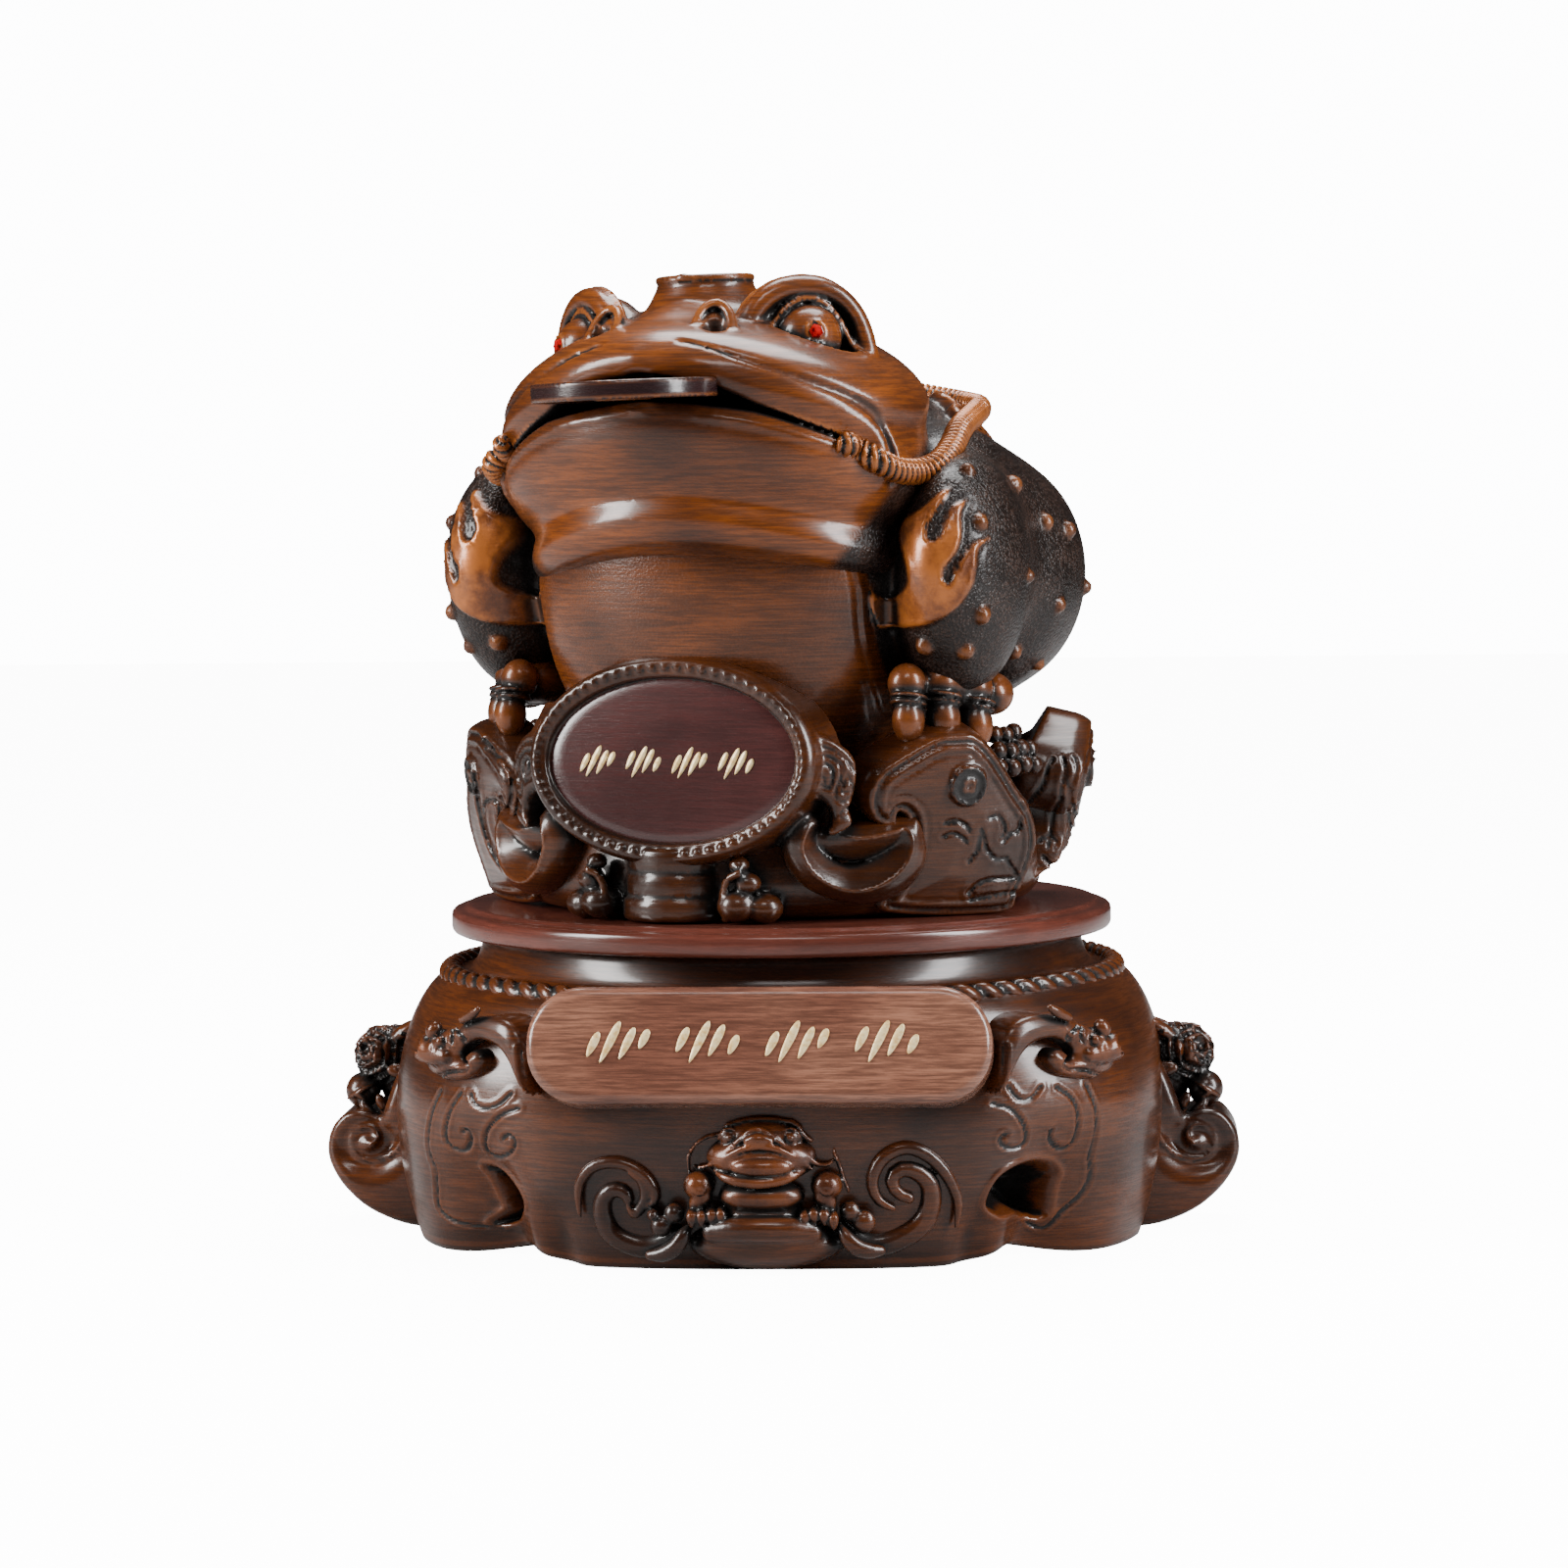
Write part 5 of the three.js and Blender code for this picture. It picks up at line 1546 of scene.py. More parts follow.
def rolls(lines: Sequence[Trace], radii: Trace, proud: float) -> list[Rod]:
    """Round bars that lie on the drum along traced lines, each with its thicknesses, proud by mm."""
    made = []
    for line, thick in zip(lines, radii):
        chart = DRUM.places(line)
        angle = np.radians(chart[:, 0] / SCROLL_CHART)
        radius = DRUM.radius(angle, np.clip(chart[:, 1], 2, 86)) + proud - np.array(thick)
        places = np.column_stack([radius * np.sin(angle), -radius * np.cos(angle), chart[:, 1]])
        made.append(rod([tuple(place) for place in places], thick, 26))
    return made


VOLUTES = rolls(
    [
        [(664, 1230), (670, 1225), (668, 1212), (655, 1196), (632, 1186), (609, 1189), (596, 1202),
         (593, 1218), (596, 1240)],
        [(644, 1230), (650, 1238), (660, 1222), (657, 1205), (646, 1196)],
        [(643, 1224), (638, 1216), (626, 1214), (616, 1223), (615, 1239), (623, 1257), (640, 1268),
         (661, 1272), (680, 1266), (692, 1256)],
        [(909, 1232), (896, 1225), (889, 1206), (899, 1183), (922, 1171), (946, 1179), (965, 1199),
         (975, 1225), (972, 1252)],
        [(926, 1222), (914, 1216), (909, 1203), (919, 1193), (936, 1196), (949, 1209), (950, 1229),
         (942, 1247), (922, 1262), (896, 1270), (873, 1264), (858, 1250)],
    ],
    [
        [1.0, 1.4, 1.7, 1.9, 2.0, 1.9, 1.7, 1.3, 0.6],
        [0.7, 1.6, 2.0, 1.8, 0.8],
        [1.6, 2.2, 2.6, 3.0, 3.4, 3.7, 4.0, 4.0, 3.4, 2.2],
        [1.0, 1.6, 2.0, 2.2, 2.2, 2.2, 2.0, 1.5, 0.6],
        [1.8, 2.0, 2.2, 2.4, 2.8, 3.2, 3.6, 3.8, 4.0, 4.0, 3.4, 2.2],
    ],
    3.0,
)


CLOSE_UP = (660.0, 1130.0, 6.533)  # left and top of the enlarged part of the photograph, and its enlargement


def close_up(places: Trace, out: float) -> list[Place]:
    """Places on the enlarged front, in pedestal mm on an upright plane that far out from the drum."""
    pixels = [(CLOSE_UP[0] + x / CLOSE_UP[2], CLOSE_UP[1] + y / CLOSE_UP[2]) for x, y in places]
    face = -DRUM.half_depth - out
    found = SIGHT.on_plane(pixels, (0.0, face, 0.0), SIDE_AXES, False)
    return [(float(x), face, float(z)) for x, z in found]


SIDE_AXES = np.array([[1.0, 0.0, 0.0], [0.0, 0.0, 1.0], [0.0, -1.0, 0.0]])


def small_toad_forms() -> list[tuple[Form, float]]:
    """The small toad under the name board, the boat-shaped ingot that it holds and the clouds beside it."""

    def ball(x: float, y: float, out: float, half: Place, turn: Place = (0.0, 0.0, 0.0)) -> Ball:
        """A ball at a place of the enlarged front."""
        return Ball(close_up([(x, y)], out)[0], half, turn)

    def bar(places: Sequence[Place], radii: Sequence[float] | float, count: int = 18) -> Rod:
        """A bar through places of the enlarged front, each with how far it stands out."""
        return rod([close_up([(x, y)], out)[0] for x, y, out in places], radii, count)

    y = -DRUM.half_depth
    forms: list[tuple[Form, float]] = [
        (Ball((1.0, y + 6, 9.5), (25, 13.5, 8.6)), 0.0),
        (bar([(440, 830, 4), (600, 815, 6.2), (765, 812, 6.8), (930, 815, 6.2), (1100, 830, 4)],
             [3.4, 4.2, 4.4, 4.2, 3.4]), 2.0),
        (bar([(275, 800, 2.0), (240, 860, 2.6), (190, 930, 2.2), (110, 975, 1.2), (20, 985, 0.2)],
             [1.2, 2.4, 2.8, 2.6, 1.6]), 1.0),
        (bar([(1292, 800, 2.0), (1335, 870, 2.6), (1400, 930, 2.2), (1480, 955, 1.2), (1560, 955, 0.2)],
             [1.2, 2.4, 2.8, 2.6, 1.6]), 1.0),
        (ball(765, 700, 0, (12.5, 7.0, 8.5)), 0.8),
        (ball(765, 590, 1.5, (13.6, 8.0, 5.6)), 1.5),
        (ball(765, 330, -1.0, (17.5, 10.5, 8.6)), 1.5),
        (ball(765, 180, -1.5, (13.0, 9.0, 5.6)), 1.2),
        (ball(765, 392, 5.4, (10.6, 6.4, 4.0)), 0.2),
    ]
    lower = [(452, 425, 3.4), (520, 468, 6.4), (620, 496, 8.6), (752, 506, 9.6), (880, 490, 8.6),
             (975, 456, 6.4), (1052, 420, 3.4)]
    forms.append((bar(lower, [0.7, 1.5, 1.7, 1.8, 1.7, 1.5, 0.7], 26), 0.3))
    upper = [(463, 392, 3.2), (505, 350, 5.6), (575, 308, 7.4), (655, 276, 8.6), (745, 262, 9.2),
             (850, 276, 8.6), (930, 308, 7.4), (1005, 346, 5.6), (1105, 416, 3.2)]
    forms.append((bar(upper, [0.5, 0.9, 1.1, 1.2, 1.2, 1.2, 1.1, 0.9, 0.5], 30), 0.3))
    ridge = [(315, 396, 0.5), (380, 398, 1.6), (440, 372, 3.0), (520, 296, 5.0), (610, 230, 6.4),
             (680, 168, 7.2), (742, 152, 7.6), (800, 172, 7.2), (860, 220, 6.4), (960, 282, 5.0),
             (1060, 324, 3.6), (1130, 378, 2.4), (1200, 382, 1.4), (1250, 352, 0.4)]
    forms.append((bar(ridge, [0.5, 0.7, 0.8, 1.0, 1.1, 1.1, 1.1, 1.1, 1.1, 1.0, 0.9, 0.8, 0.7, 0.5], 44),
                  0.3))
    forms.append((bar([(672, 226, 8.2), (742, 214, 8.8), (815, 226, 8.2)], [1.5, 1.9, 1.5], 10), 0.3))
    forms.append((bar([(285, 440, 0), (275, 340, 0.5), (318, 255, 1.0), (400, 200, 1.4), (490, 178, 1.8)],
                      0.6, 18), 0.3))
    forms.append((bar([(1240, 285, 1.0), (1278, 380, 0.6), (1312, 480, 0.2), (1345, 560, 0)], 0.6, 16),
                  0.3))
    forms.append((bar([(530, 122, 2.6), (620, 94, 3.0), (740, 78, 3.2), (860, 82, 3.0), (960, 98, 2.8)],
                      0.7, 18), 0.3))
    forms.append((bar([(960, 98, 2.8), (1010, 130, 2.4), (1042, 184, 2.0), (1090, 222, 1.0)], 0.8, 12),
                  0.3))
    for x, side in ((548, -1), (958, 1)):
        forms.append((ball(x, 200, 2.6, (2.9, 3.2, 2.9)), 0.3))
        forms.append((ball(x - 6 * side, 204, 5.0, (1.5, 1.6, 1.5)), 0.1))
        forms.append((bar([(x - 70, 215, 3), (x - 45, 160, 4), (x, 142, 4.6), (x + 48, 165, 4),
                           (x + 66, 222, 3)], 0.6, 16), 0.2))
        forms.append((bar([(x - 40 * side, 290, 3.6), (x + 10 * side, 262, 4.2),
                           (x + 60 * side, 282, 3.2)], 0.8, 10), 0.4))
    for x, side in ((348, -1), (1198, 1)):
        forms.append((ball(x, 520, 2.0, (5.0, 5.0, 4.6)), 0.5))
        forms.append((bar([(x - 36, 500, 5.4), (x - 30, 560, 6.4), (x + 8, 578, 6.6), (x + 34, 548, 6.2),
                           (x + 12, 512, 6.4)], 0.7, 16), 0.1))
        forms.append((bar([(x - 20 * side, 590, 3), (x + 6 * side, 640, 2), (x + 20 * side, 690, 1)],
                          [3.2, 3.0, 2.4], 10), 0.5))
    for row in ([(297, 716), (364, 716), (432, 704), (494, 700)],
                [(1052, 716), (1112, 700), (1180, 704), (1244, 730)]):
        for x, top in row:
            forms.append((bar([(x, top - 20, 4.0), (x, top + 16, 6.0), (x + 4, top + 70, 5.2)],
                              [1.2, 1.75, 0.9], 8), 0.2))
    for x, top, size, turns in ((182, 706, 66, -1), (98, 790, 70, -1), (1352, 690, 66, 1),
                                (1446, 762, 76, 1), (40, 716, 36, -1)):
        forms.append((ball(x, top, 0.4, (size * 0.05, 3.4, size * 0.05)), 0.6))
        for share in (0.86, 0.46):
            ring = [(x + size * share * math.cos(t), top + size * share * math.sin(t), 3.2 - 1.6 * share)
                    for t in np.linspace(0.4, 2 * math.pi + 0.2, 11)]
            forms.append((bar(ring, 0.5, 20), 0.1))
    return forms


SMALL_TOAD = small_toad_forms()


def pedestal_front_field(points: Array) -> Array:
    """Distance to the small toad, its boat and the volutes beside it."""
    clay = Clay(points)
    for form, blend in SMALL_TOAD:
        clay.add(form, blend)
    for roll in VOLUTES:
        clay.add(roll, 0.5)
    for x in (-15.6, 17.6):
        clay.cut(rod([(x, -127.0, 14.8), (x * 1.1, -124.0, 11.0)], [1.2, 0.5], 6), 0.8)
    sunk = np.hypot(points[:, 0], points[:, 1]) - DRUM.radius(
        np.arctan2(points[:, 0], -points[:, 1]), np.clip(points[:, 2], 0, 86)) + 6.0
    clay.value = np.maximum(clay.value, -sunk)
    return np.maximum(clay.value, 0.4 - points[:, 2])


BRACKET_RADIUS = 132.0
BRACKET_CORNER = (420.0, 1000.0, 6.533)
BRACKET_EDGE = [(752, 778), (724, 700), (722, 600), (720, 500), (706, 420), (668, 335), (600, 276),
                (520, 250), (440, 246), (370, 258), (300, 284), (230, 318), (168, 345), (112, 400),
                (90, 460), (84, 540), (98, 604), (140, 645), (220, 672), (300, 668), (372, 642),
                (420, 592), (440, 535), (420, 490), (382, 470), (348, 490), (334, 520), (346, 548),
                (318, 546), (303, 512), (305, 478), (338, 438), (400, 407), (462, 410), (530, 440),
                (580, 490), (622, 560), (655, 640), (692, 712), (738, 776)]
BRACKET_LINES = [
    [(104, 556), (112, 600), (150, 636), (196, 634), (246, 610), (300, 606), (344, 606), (374, 578),
     (366, 556), (352, 540)],
    [(290, 330), (318, 350), (342, 372), (348, 396), (330, 404)],
    [(266, 338), (282, 372), (276, 420)],
    [(702, 452), (708, 560), (716, 660), (738, 740)],
]


def on_bracket(places: Trace) -> Array:
    """Places on the enlarged left bracket, as mm round the bracket's drum and height."""
    left, top, scale = BRACKET_CORNER
    return SIGHT.on_drum([(left + x / scale, top + y / scale) for x, y in places], BRACKET_RADIUS, False)


BRACKET_SHAPE = Drawing([outline(on_bracket(BRACKET_EDGE), 260)], closed=True, step=0.25)
BRACKET_ENGRAVED = Drawing([smooth_line(on_bracket(line), 24) for line in BRACKET_LINES], step=0.25)
MEDALLION = on_bracket([(190, 452)])[0]


def brackets_field(points: Array) -> Array:
    """Distance to the two brackets: an arched leaf whose head curls in, with a beaded medallion and a bud."""
    folded = points.copy()
    folded[:, 0] = -np.abs(points[:, 0])
    around = np.arctan2(folded[:, 0], -folded[:, 1]) * BRACKET_RADIUS
    radius = np.hypot(folded[:, 0], folded[:, 1])
    height = folded[:, 2]
    edge = BRACKET_SHAPE.at(around, height)
    lines = BRACKET_ENGRAVED.at(around, height)
    across, up = (around - MEDALLION[0]) / 0.86, (height - MEDALLION[1]) / 1.12
    away = np.hypot(across, up)
    turn = np.arctan2(up, across)
    beads = 1.3 * hump(away - 5.0, 0.75) * (0.45 + 0.55 * np.cos(20 * turn))
    medal = 1.5 * step_between(-away, -4.4, -3.6) + 0.9 * np.maximum(1 - away / 4.0, 0)
    medal -= 0.5 * hump(away - 2.4, 0.4)
    crown = 3.4 * np.sqrt(np.clip(1 - np.square(np.clip((edge + 5.5) / 5.5, 0, 1)), 0, 1))
    rise = 2.0 * hump(away - 1.0, 6.0)
    grooves = 1.1 * hump(lines, 0.5) - 0.5 * hump(lines - 1.1, 0.5)
    face = radius - (BRACKET_RADIUS - 3.0) - crown - rise - beads - medal + grooves
    value = np.maximum(np.maximum(edge, face * 0.8), BRACKET_RADIUS - 15.0 - radius)
    clay = Clay(folded)
    clay.value = np.where(value < 20, value, FAR)
    clay.add(rod([(-103, -84, 66), (-107.5, -79.5, 66.4), (-110, -76, 67.4)], [2.4, 3.6, 4.6], 10), 0.8)
    clay.cut(Ball((-112.5, -75, 68.4), (4.0, 4.0, 3.2)), 0.4)
    clay.add(Ball((-107.0, -80.6, 74.0), (2.6, 2.6, 3.2), (0, 30, 0)), 0.3)
    clay.add(Ball((-104.6, -83.6, 70.6), (1.8, 1.8, 1.8)), 0.2)
    clay.add(rod([(-96.4, -91.4, 78.6), (-93, -95.4, 80.8), (-90.6, -98, 82.6)], [1.4, 1.7, 1.0], 8), 0.5)
    return clay.value


SIDE_OUTLINE = [(98, 0.3), (112, 0.3), (123, 1.2), (132, 4.0), (140, 8.4), (147, 15.0), (151, 22.0),
                (151.8, 28.0), (150, 34.0), (145.5, 38.6), (139.5, 39.6), (134.0, 37.6), (131.6, 42.0),
                (129.0, 49.0), (125.6, 56.0), (121, 62.0), (112, 64.0), (98, 64.0)]
SIDE_SHAPE = Drawing([outline(np.array(SIDE_OUTLINE), 200)], closed=True, step=0.3)
SIDE_SPIRAL = smooth_line([(118.6, 56), (120.4, 46), (122.6, 38), (125.4, 31), (130, 25.5), (136, 23),
                           (141.4, 24.4), (143.6, 29), (141.6, 33.4), (137.0, 34.2), (134.4, 31.2),
                           (136.2, 28.6)], 60)
SIDE_LINE = Drawing([SIDE_SPIRAL], step=0.25)


def side_scrolls_field(points: Array) -> Array:
    """Distance to the scrolls at both sides: a wide horn whose ends show a dished spiral."""
    folded = np.abs(points).astype(np.float32)
    outline_away = SIDE_SHAPE.at(folded[:, 0], points[:, 2])
    ends = folded[:, 1] - 20.5 + 0.05 * np.square(np.maximum(folded[:, 0] - 128, 0.0)) * 0.12
    spiral_away = SIDE_LINE.at(folded[:, 0], points[:, 2])
    near_end = step_between(folded[:, 1], 12.0, 17.0)
    from_middle = np.hypot((folded[:, 0] - 138) / 1.25, points[:, 2] - 28.6)
    dish = 4.2 * hump(from_middle - 5.4, 4.2)
    ends = ends + near_end * (dish - 1.9 * hump(spiral_away, 1.0))
    corner = np.hypot(np.maximum(outline_away + 4.0, 0.0), np.maximum(ends + 4.0, 0.0)) - 4.0
    inside = np.maximum(outline_away, ends)
    value = np.where((outline_away > -4.0) & (ends > -4.0), corner, inside)
    return np.maximum(value, 0.3 - points[:, 2])


def blossom(points: Array, centre: Place, facing: Place, size: float) -> Array:
    """Distance to a full rose: a ball whose radius climbs along a spiral of overlapping petals.

    With a the angle from the rose's axis and t the turn round it, a petal's share is the fraction of
    a / 0.36 + t / 2 pi + 0.3 |sin 2.5 t|: the radius grows with it and drops back in a sharp step.
    """
    axis = np.array(facing, float) / np.linalg.norm(facing)
    side = np.cross([0.0, 0.0, 1.0], axis)
    side /= np.linalg.norm(side)
    local = (points - np.array(centre, np.float32)) @ np.array([side, np.cross(axis, side), axis]).T
    length = np.linalg.norm(local, axis=1)
    from_axis = np.arccos(np.clip(local[:, 2] / np.maximum(length, 1e-6), -1, 1))
    turn = np.arctan2(local[:, 1], local[:, 0])
    share = from_axis / 0.36 - turn / (2 * math.pi) + 0.3 * np.abs(np.sin(2.5 * turn))
    share = share - np.floor(share)
    petal = 0.26 * size * (1 - share) ** 1.5 - 0.16 * size * hump(1 - share - 0.02, 0.1)
    heart = -0.3 * size * hump(from_axis, 0.22)
    return (length - size * 0.86 - petal - heart + 0.1 * size * step_between(from_axis, 1.6, 2.4)) * 0.8


# The open rose and the one behind it: middle, facing, size and how far round it is worked out.
ROSES = [((134.0, -3.0, 57.0), (0.6, -0.75, 0.25), 9.4, 22.0),
         ((131.0, 9.0, 58.0), (0.7, 0.7, 0.15), 7.4, 18.0)]
# Each leaf's middle, then its tilt and its turn in degrees.
LEAVES = [
    (127, -8, 65, 35, 20), (126, -11, 52, -20, 60), (124, 4, 66, 15, -20), (133, -10, 39.5, -70, 30),
    (127, -12, 43, -95, 20), (133, 8, 45, -40, -30), (142, 6, 41, -75, 0), (131, 0, 40, -60, 0),
    (120.5, -7, 56, 70, 40), (137.5, -9.5, 37.5, -50, 0), (128, -10, 34, -80, 30),
]


def flowers_field(points: Array) -> Array:
    """Distance to the rose, the bud and the leaves over each side scroll."""
    folded = mirrored(points)
    clay = Clay(folded)
    for middle, facing, size, reach in ROSES:
        near = np.flatnonzero(np.linalg.norm(folded - np.array(middle), axis=1) < reach)
        clay.value[near] = np.minimum(clay.value[near], blossom(folded[near], middle, facing, size))
    clay.add(Ball((141.0, -4.0, 45.0), (5.8, 6.2, 6.0)), 0.2)
    clay.add(rod([(136.5, -8, 48), (141, -10.9, 45.5), (146, -7.6, 42.4)], [0.4, 0.9, 0.4], 8), 0.2)
    clay.add(rod([(138, -8, 41), (141, -10.7, 43.5), (146.6, -6, 47)], [0.4, 0.8, 0.4], 8), 0.2)
    for x, y, z, tilt, lean in LEAVES:
        clay.add(Ball((x, y, z), (6.2, 3.0, 2.0), (lean, tilt, 0)), 0.2)
        clay.cut(rod([(x - 2, y - 2.4, z - 1), (x + 2, y - 2.4, z + 1)], 0.5, 4), 0.3)
    clay.add(Ball((128, 0, 50), (8, 8, 12)), 1.0)
    return clay.value


@dataclass(frozen=True)
class Twist:
    """A twisted rope carried along a path: its strands wind round it."""

    radius: float
    lay: float  # mm along the rope from one strand's crest to the next
    strands: int = 3
    depth: float = 0.34
    around: int = 16

    def surface(self, path: Array, closed: bool) -> tuple[Array, Array, Array]:
        """Points and quads of the rope.

        At mm s along it and turn v round it, the radius is the rope's own times 1 + depth (|cos|^0.7 - 0.75)
        of half the phase 2 pi s / lay + strands v, so each strand is a round roll cut off by its neighbours.

        Args:
            path: The path's points, evenly spaced.
            closed: Whether the path joins up.

        Returns:
            The vertices in mm, the quads and how far each vertex stands out, as a share of the radius.
        """
        ahead = np.roll(path, -1, 0) - np.roll(path, 1, 0) if closed else np.gradient(path, axis=0)
        along = ahead / np.linalg.norm(ahead, axis=1, keepdims=True)
        outward = path * [1.0, 1.0, 0.0] / np.linalg.norm(path[:, :2], axis=1, keepdims=True)
        side = np.cross(along, outward)
        side /= np.linalg.norm(side, axis=1, keepdims=True)
        up = np.cross(side, along)
        spacing = float(np.linalg.norm(np.diff(path, axis=0), axis=1).mean())
        s = np.arange(len(path))[:, None] * spacing
        if closed:
            total = len(path) * spacing
            lay = total / round(total / self.lay)
        else:
            lay = self.lay
        v = np.arange(self.around)[None] * 2 * math.pi / self.around
        phase = 2 * math.pi * s / lay + self.strands * v
        radius = self.radius * (1 + self.depth * (np.abs(np.cos(phase / 2)) ** 0.7 - 0.75))
        crest = radius / self.radius
        if not closed:
            left = np.minimum(s, s[::-1]) / self.radius
            radius = radius * np.sqrt(np.clip(1.0001 - np.square(np.clip(1 - left, 0, 1)), 0, 1))
        places = path[:, None] + radius[..., None] * (np.cos(v)[..., None] * side[:, None]
                                                      + np.sin(v)[..., None] * up[:, None])
        quads = grid_quads(*places.shape[:2], closed, True)
        return places.reshape(-1, 3), quads, crest.reshape(-1)


def revolve(profile: Trace, around: int, closed: bool = False) -> tuple[Array, Array]:
    """Surface of a profile turned round the upright axis: (radius cos, radius sin, height) at each turn.

    Args:
        profile: Radius and height from the top middle outwards and down, or a closed ring section.
        around: How many steps round.
        closed: Whether the section joins up. Otherwise its two ends must lie on the axis.

    Returns:
        The vertices and quads. Points on the axis are shared by all turns.
    """
    section = np.asarray(profile, float)
    turn = np.arange(around) * 2 * math.pi / around
    if not closed:
        section = section.copy()
        section[[0, -1], 0] = np.maximum(section[[0, -1], 0], 1e-4)
    places = np.stack([section[:, 0][None] * np.cos(turn)[:, None],
                       section[:, 0][None] * np.sin(turn)[:, None],
                       np.broadcast_to(section[:, 1], (around, len(section)))], -1)
    return places.reshape(-1, 3), grid_quads(around, len(section), True, closed)[:, INWARD]


def lens(half: tuple[float, float], profile: Trace, around: int) -> tuple[Array, Array]:
    """A profile turned round and drawn out to an oval: shares of the oval's half sizes, and heights."""
    places, quads = revolve(profile, around)
    return places * [half[0], half[1], 1.0], quads


@dataclass(frozen=True)
class Strokes:
    """Rows of slanted shallow strokes, four groups side by side, each stroke a tapered inlay."""

    pitch: float
    height: float
    width: float
    proud: float = 0.45
    groups: int = 4
    around: int = 20
    lean: float = math.radians(64.0)
    lengths: tuple[float, ...] = (0.62, 1.0, 0.78, 0.5)

    def stroke(self, middle: Array, length: float) -> tuple[Array, Array]:
        """One stroke: five rings of a rounded taper, from its spine underneath to its spine on top."""
        turn = np.linspace(0, 2 * math.pi, self.around + 1)[:-1]
        taper = 0.5 * self.width * (0.72 + 0.28 * np.cos(turn))
        rim = np.column_stack([(length - self.width) / 2 * np.cos(turn), np.zeros(self.around)])
        swell = np.column_stack([np.cos(turn), np.sin(turn)]) * taper[:, None]
        rings = [(0.0, -0.3), (1.0, -0.3), (1.0, 0.3 * self.proud), (0.78, 0.85 * self.proud),
                 (0.0, self.proud)]
        c, s = math.cos(self.lean), math.sin(self.lean)
        places = []
        for share, lift in rings:
            flat = rim + swell * share
            level = np.full(self.around, lift)
            places.append(np.column_stack([flat @ [c, -s] + middle[0], flat @ [s, c] + middle[1], level]))
        return np.concatenate(places), grid_quads(len(rings), self.around, False, True)[:, INWARD]

    def build(self) -> tuple[Array, Array]:
        """All strokes, on a plane round its own middle."""
        places, quads, first = [], [], 0
        for group in range(self.groups):
            start = (group - (self.groups - 1) / 2) * self.pitch
            for number, share in enumerate(self.lengths):
                across = start + (number - (len(self.lengths) - 1) / 2) * self.pitch * 0.19
                drop = 0.12 * self.height * (1 if (number + group) % 2 else -1) * (1 - share)
                made, faces = self.stroke(np.array([across, drop]), self.height * share)
                places.append(made)
                quads.append(faces + first)
                first += len(made)
        return np.concatenate(places), np.concatenate(quads)


Socket = bpy.types.NodeSocket
Colour = tuple[float, float, float]


def srgb(code: str) -> Colour:
    """Linear colour from a six-figure code, by the usual sRGB curve."""
    shares = [int(code[i : i + 2], 16) / 255 for i in (0, 2, 4)]
    linear = [s / 12.92 if s <= 0.04045 else ((s + 0.055) / 1.055) ** 2.4 for s in shares]
    return linear[0], linear[1], linear[2]


class Nodes:
    """Adds shader nodes to a tree and links them."""

    def __init__(self, tree: bpy.types.NodeTree) -> None:
        """Works on a material's or a group's tree."""
        self.tree = tree

    def add(self, kind: str, **settings: object) -> bpy.types.Node:
        """Adds a node and sets its own settings."""
        node = self.tree.nodes.new(kind)
        for setting, value in settings.items():
            setattr(node, setting, value)
        return node

    def feed(self, socket: Socket, value: object) -> None:
        """Links a socket to another, or sets its value."""
        if isinstance(value, bpy.types.NodeSocket):
            self.tree.links.new(value, socket)
        elif isinstance(value, tuple) and len(value) == 3 and socket.type == "RGBA":
            socket.default_value = (*value, 1.0)
        else:
            socket.default_value = value

    def math(self, operation: str, first: object, second: object = 0.0, clamp: bool = False) -> Socket:
        """A sum of two values."""
        node = self.add("ShaderNodeMath", operation=operation, use_clamp=clamp)
        self.feed(node.inputs[0], first)
        self.feed(node.inputs[1], second)
        return node.outputs[0]

    def mix(self, share: object, first: object, second: object, blend: str = "MIX") -> Socket:
        """Two colours mixed by a share."""
        node = self.add("ShaderNodeMix", data_type="RGBA", blend_type=blend, clamp_factor=True)
        self.feed(node.inputs[0], share)
        self.feed(node.inputs[6], first)
        self.feed(node.inputs[7], second)
        return node.outputs[2]

    def span(self, value: object, low: float, high: float, to_low: float = 0.0,
             to_high: float = 1.0) -> Socket:
        """A value's place between low and high, smoothly, as a place between two other values."""
        node = self.add("ShaderNodeMapRange", interpolation_type="SMOOTHSTEP")
        for number, given in enumerate((value, low, high, to_low, to_high)):
            self.feed(node.inputs[number], given)
        return node.outputs[0]

    def noise(self, place: Socket, scale: object, detail: float = 3.0, roughness: float = 0.55,
              bend: float = 0.0) -> Socket:
        """Cloudy noise of a scale per metre."""
        node = self.add("ShaderNodeTexNoise")
        self.feed(node.inputs["Vector"], place)
        self.feed(node.inputs["Scale"], scale)
        self.feed(node.inputs["Detail"], detail)
        self.feed(node.inputs["Roughness"], roughness)
        self.feed(node.inputs["Distortion"], bend)
        return node.outputs[0]

    def stretched(self, place: Socket, scale: Place, turn: Place = (0.0, 0.0, 0.0)) -> Socket:
        """A place squeezed along each axis and turned, so that a pattern on it is drawn out."""
        node = self.add("ShaderNodeMapping")
        self.feed(node.inputs["Vector"], place)
        node.inputs["Rotation"].default_value = tuple(math.radians(value) for value in turn)
        node.inputs["Scale"].default_value = scale
        return node.outputs[0]

    def mask(self, name: str) -> Socket:
        """A value that was stored on the vertices."""
        return self.add("ShaderNodeAttribute", attribute_name=name).outputs["Fac"]


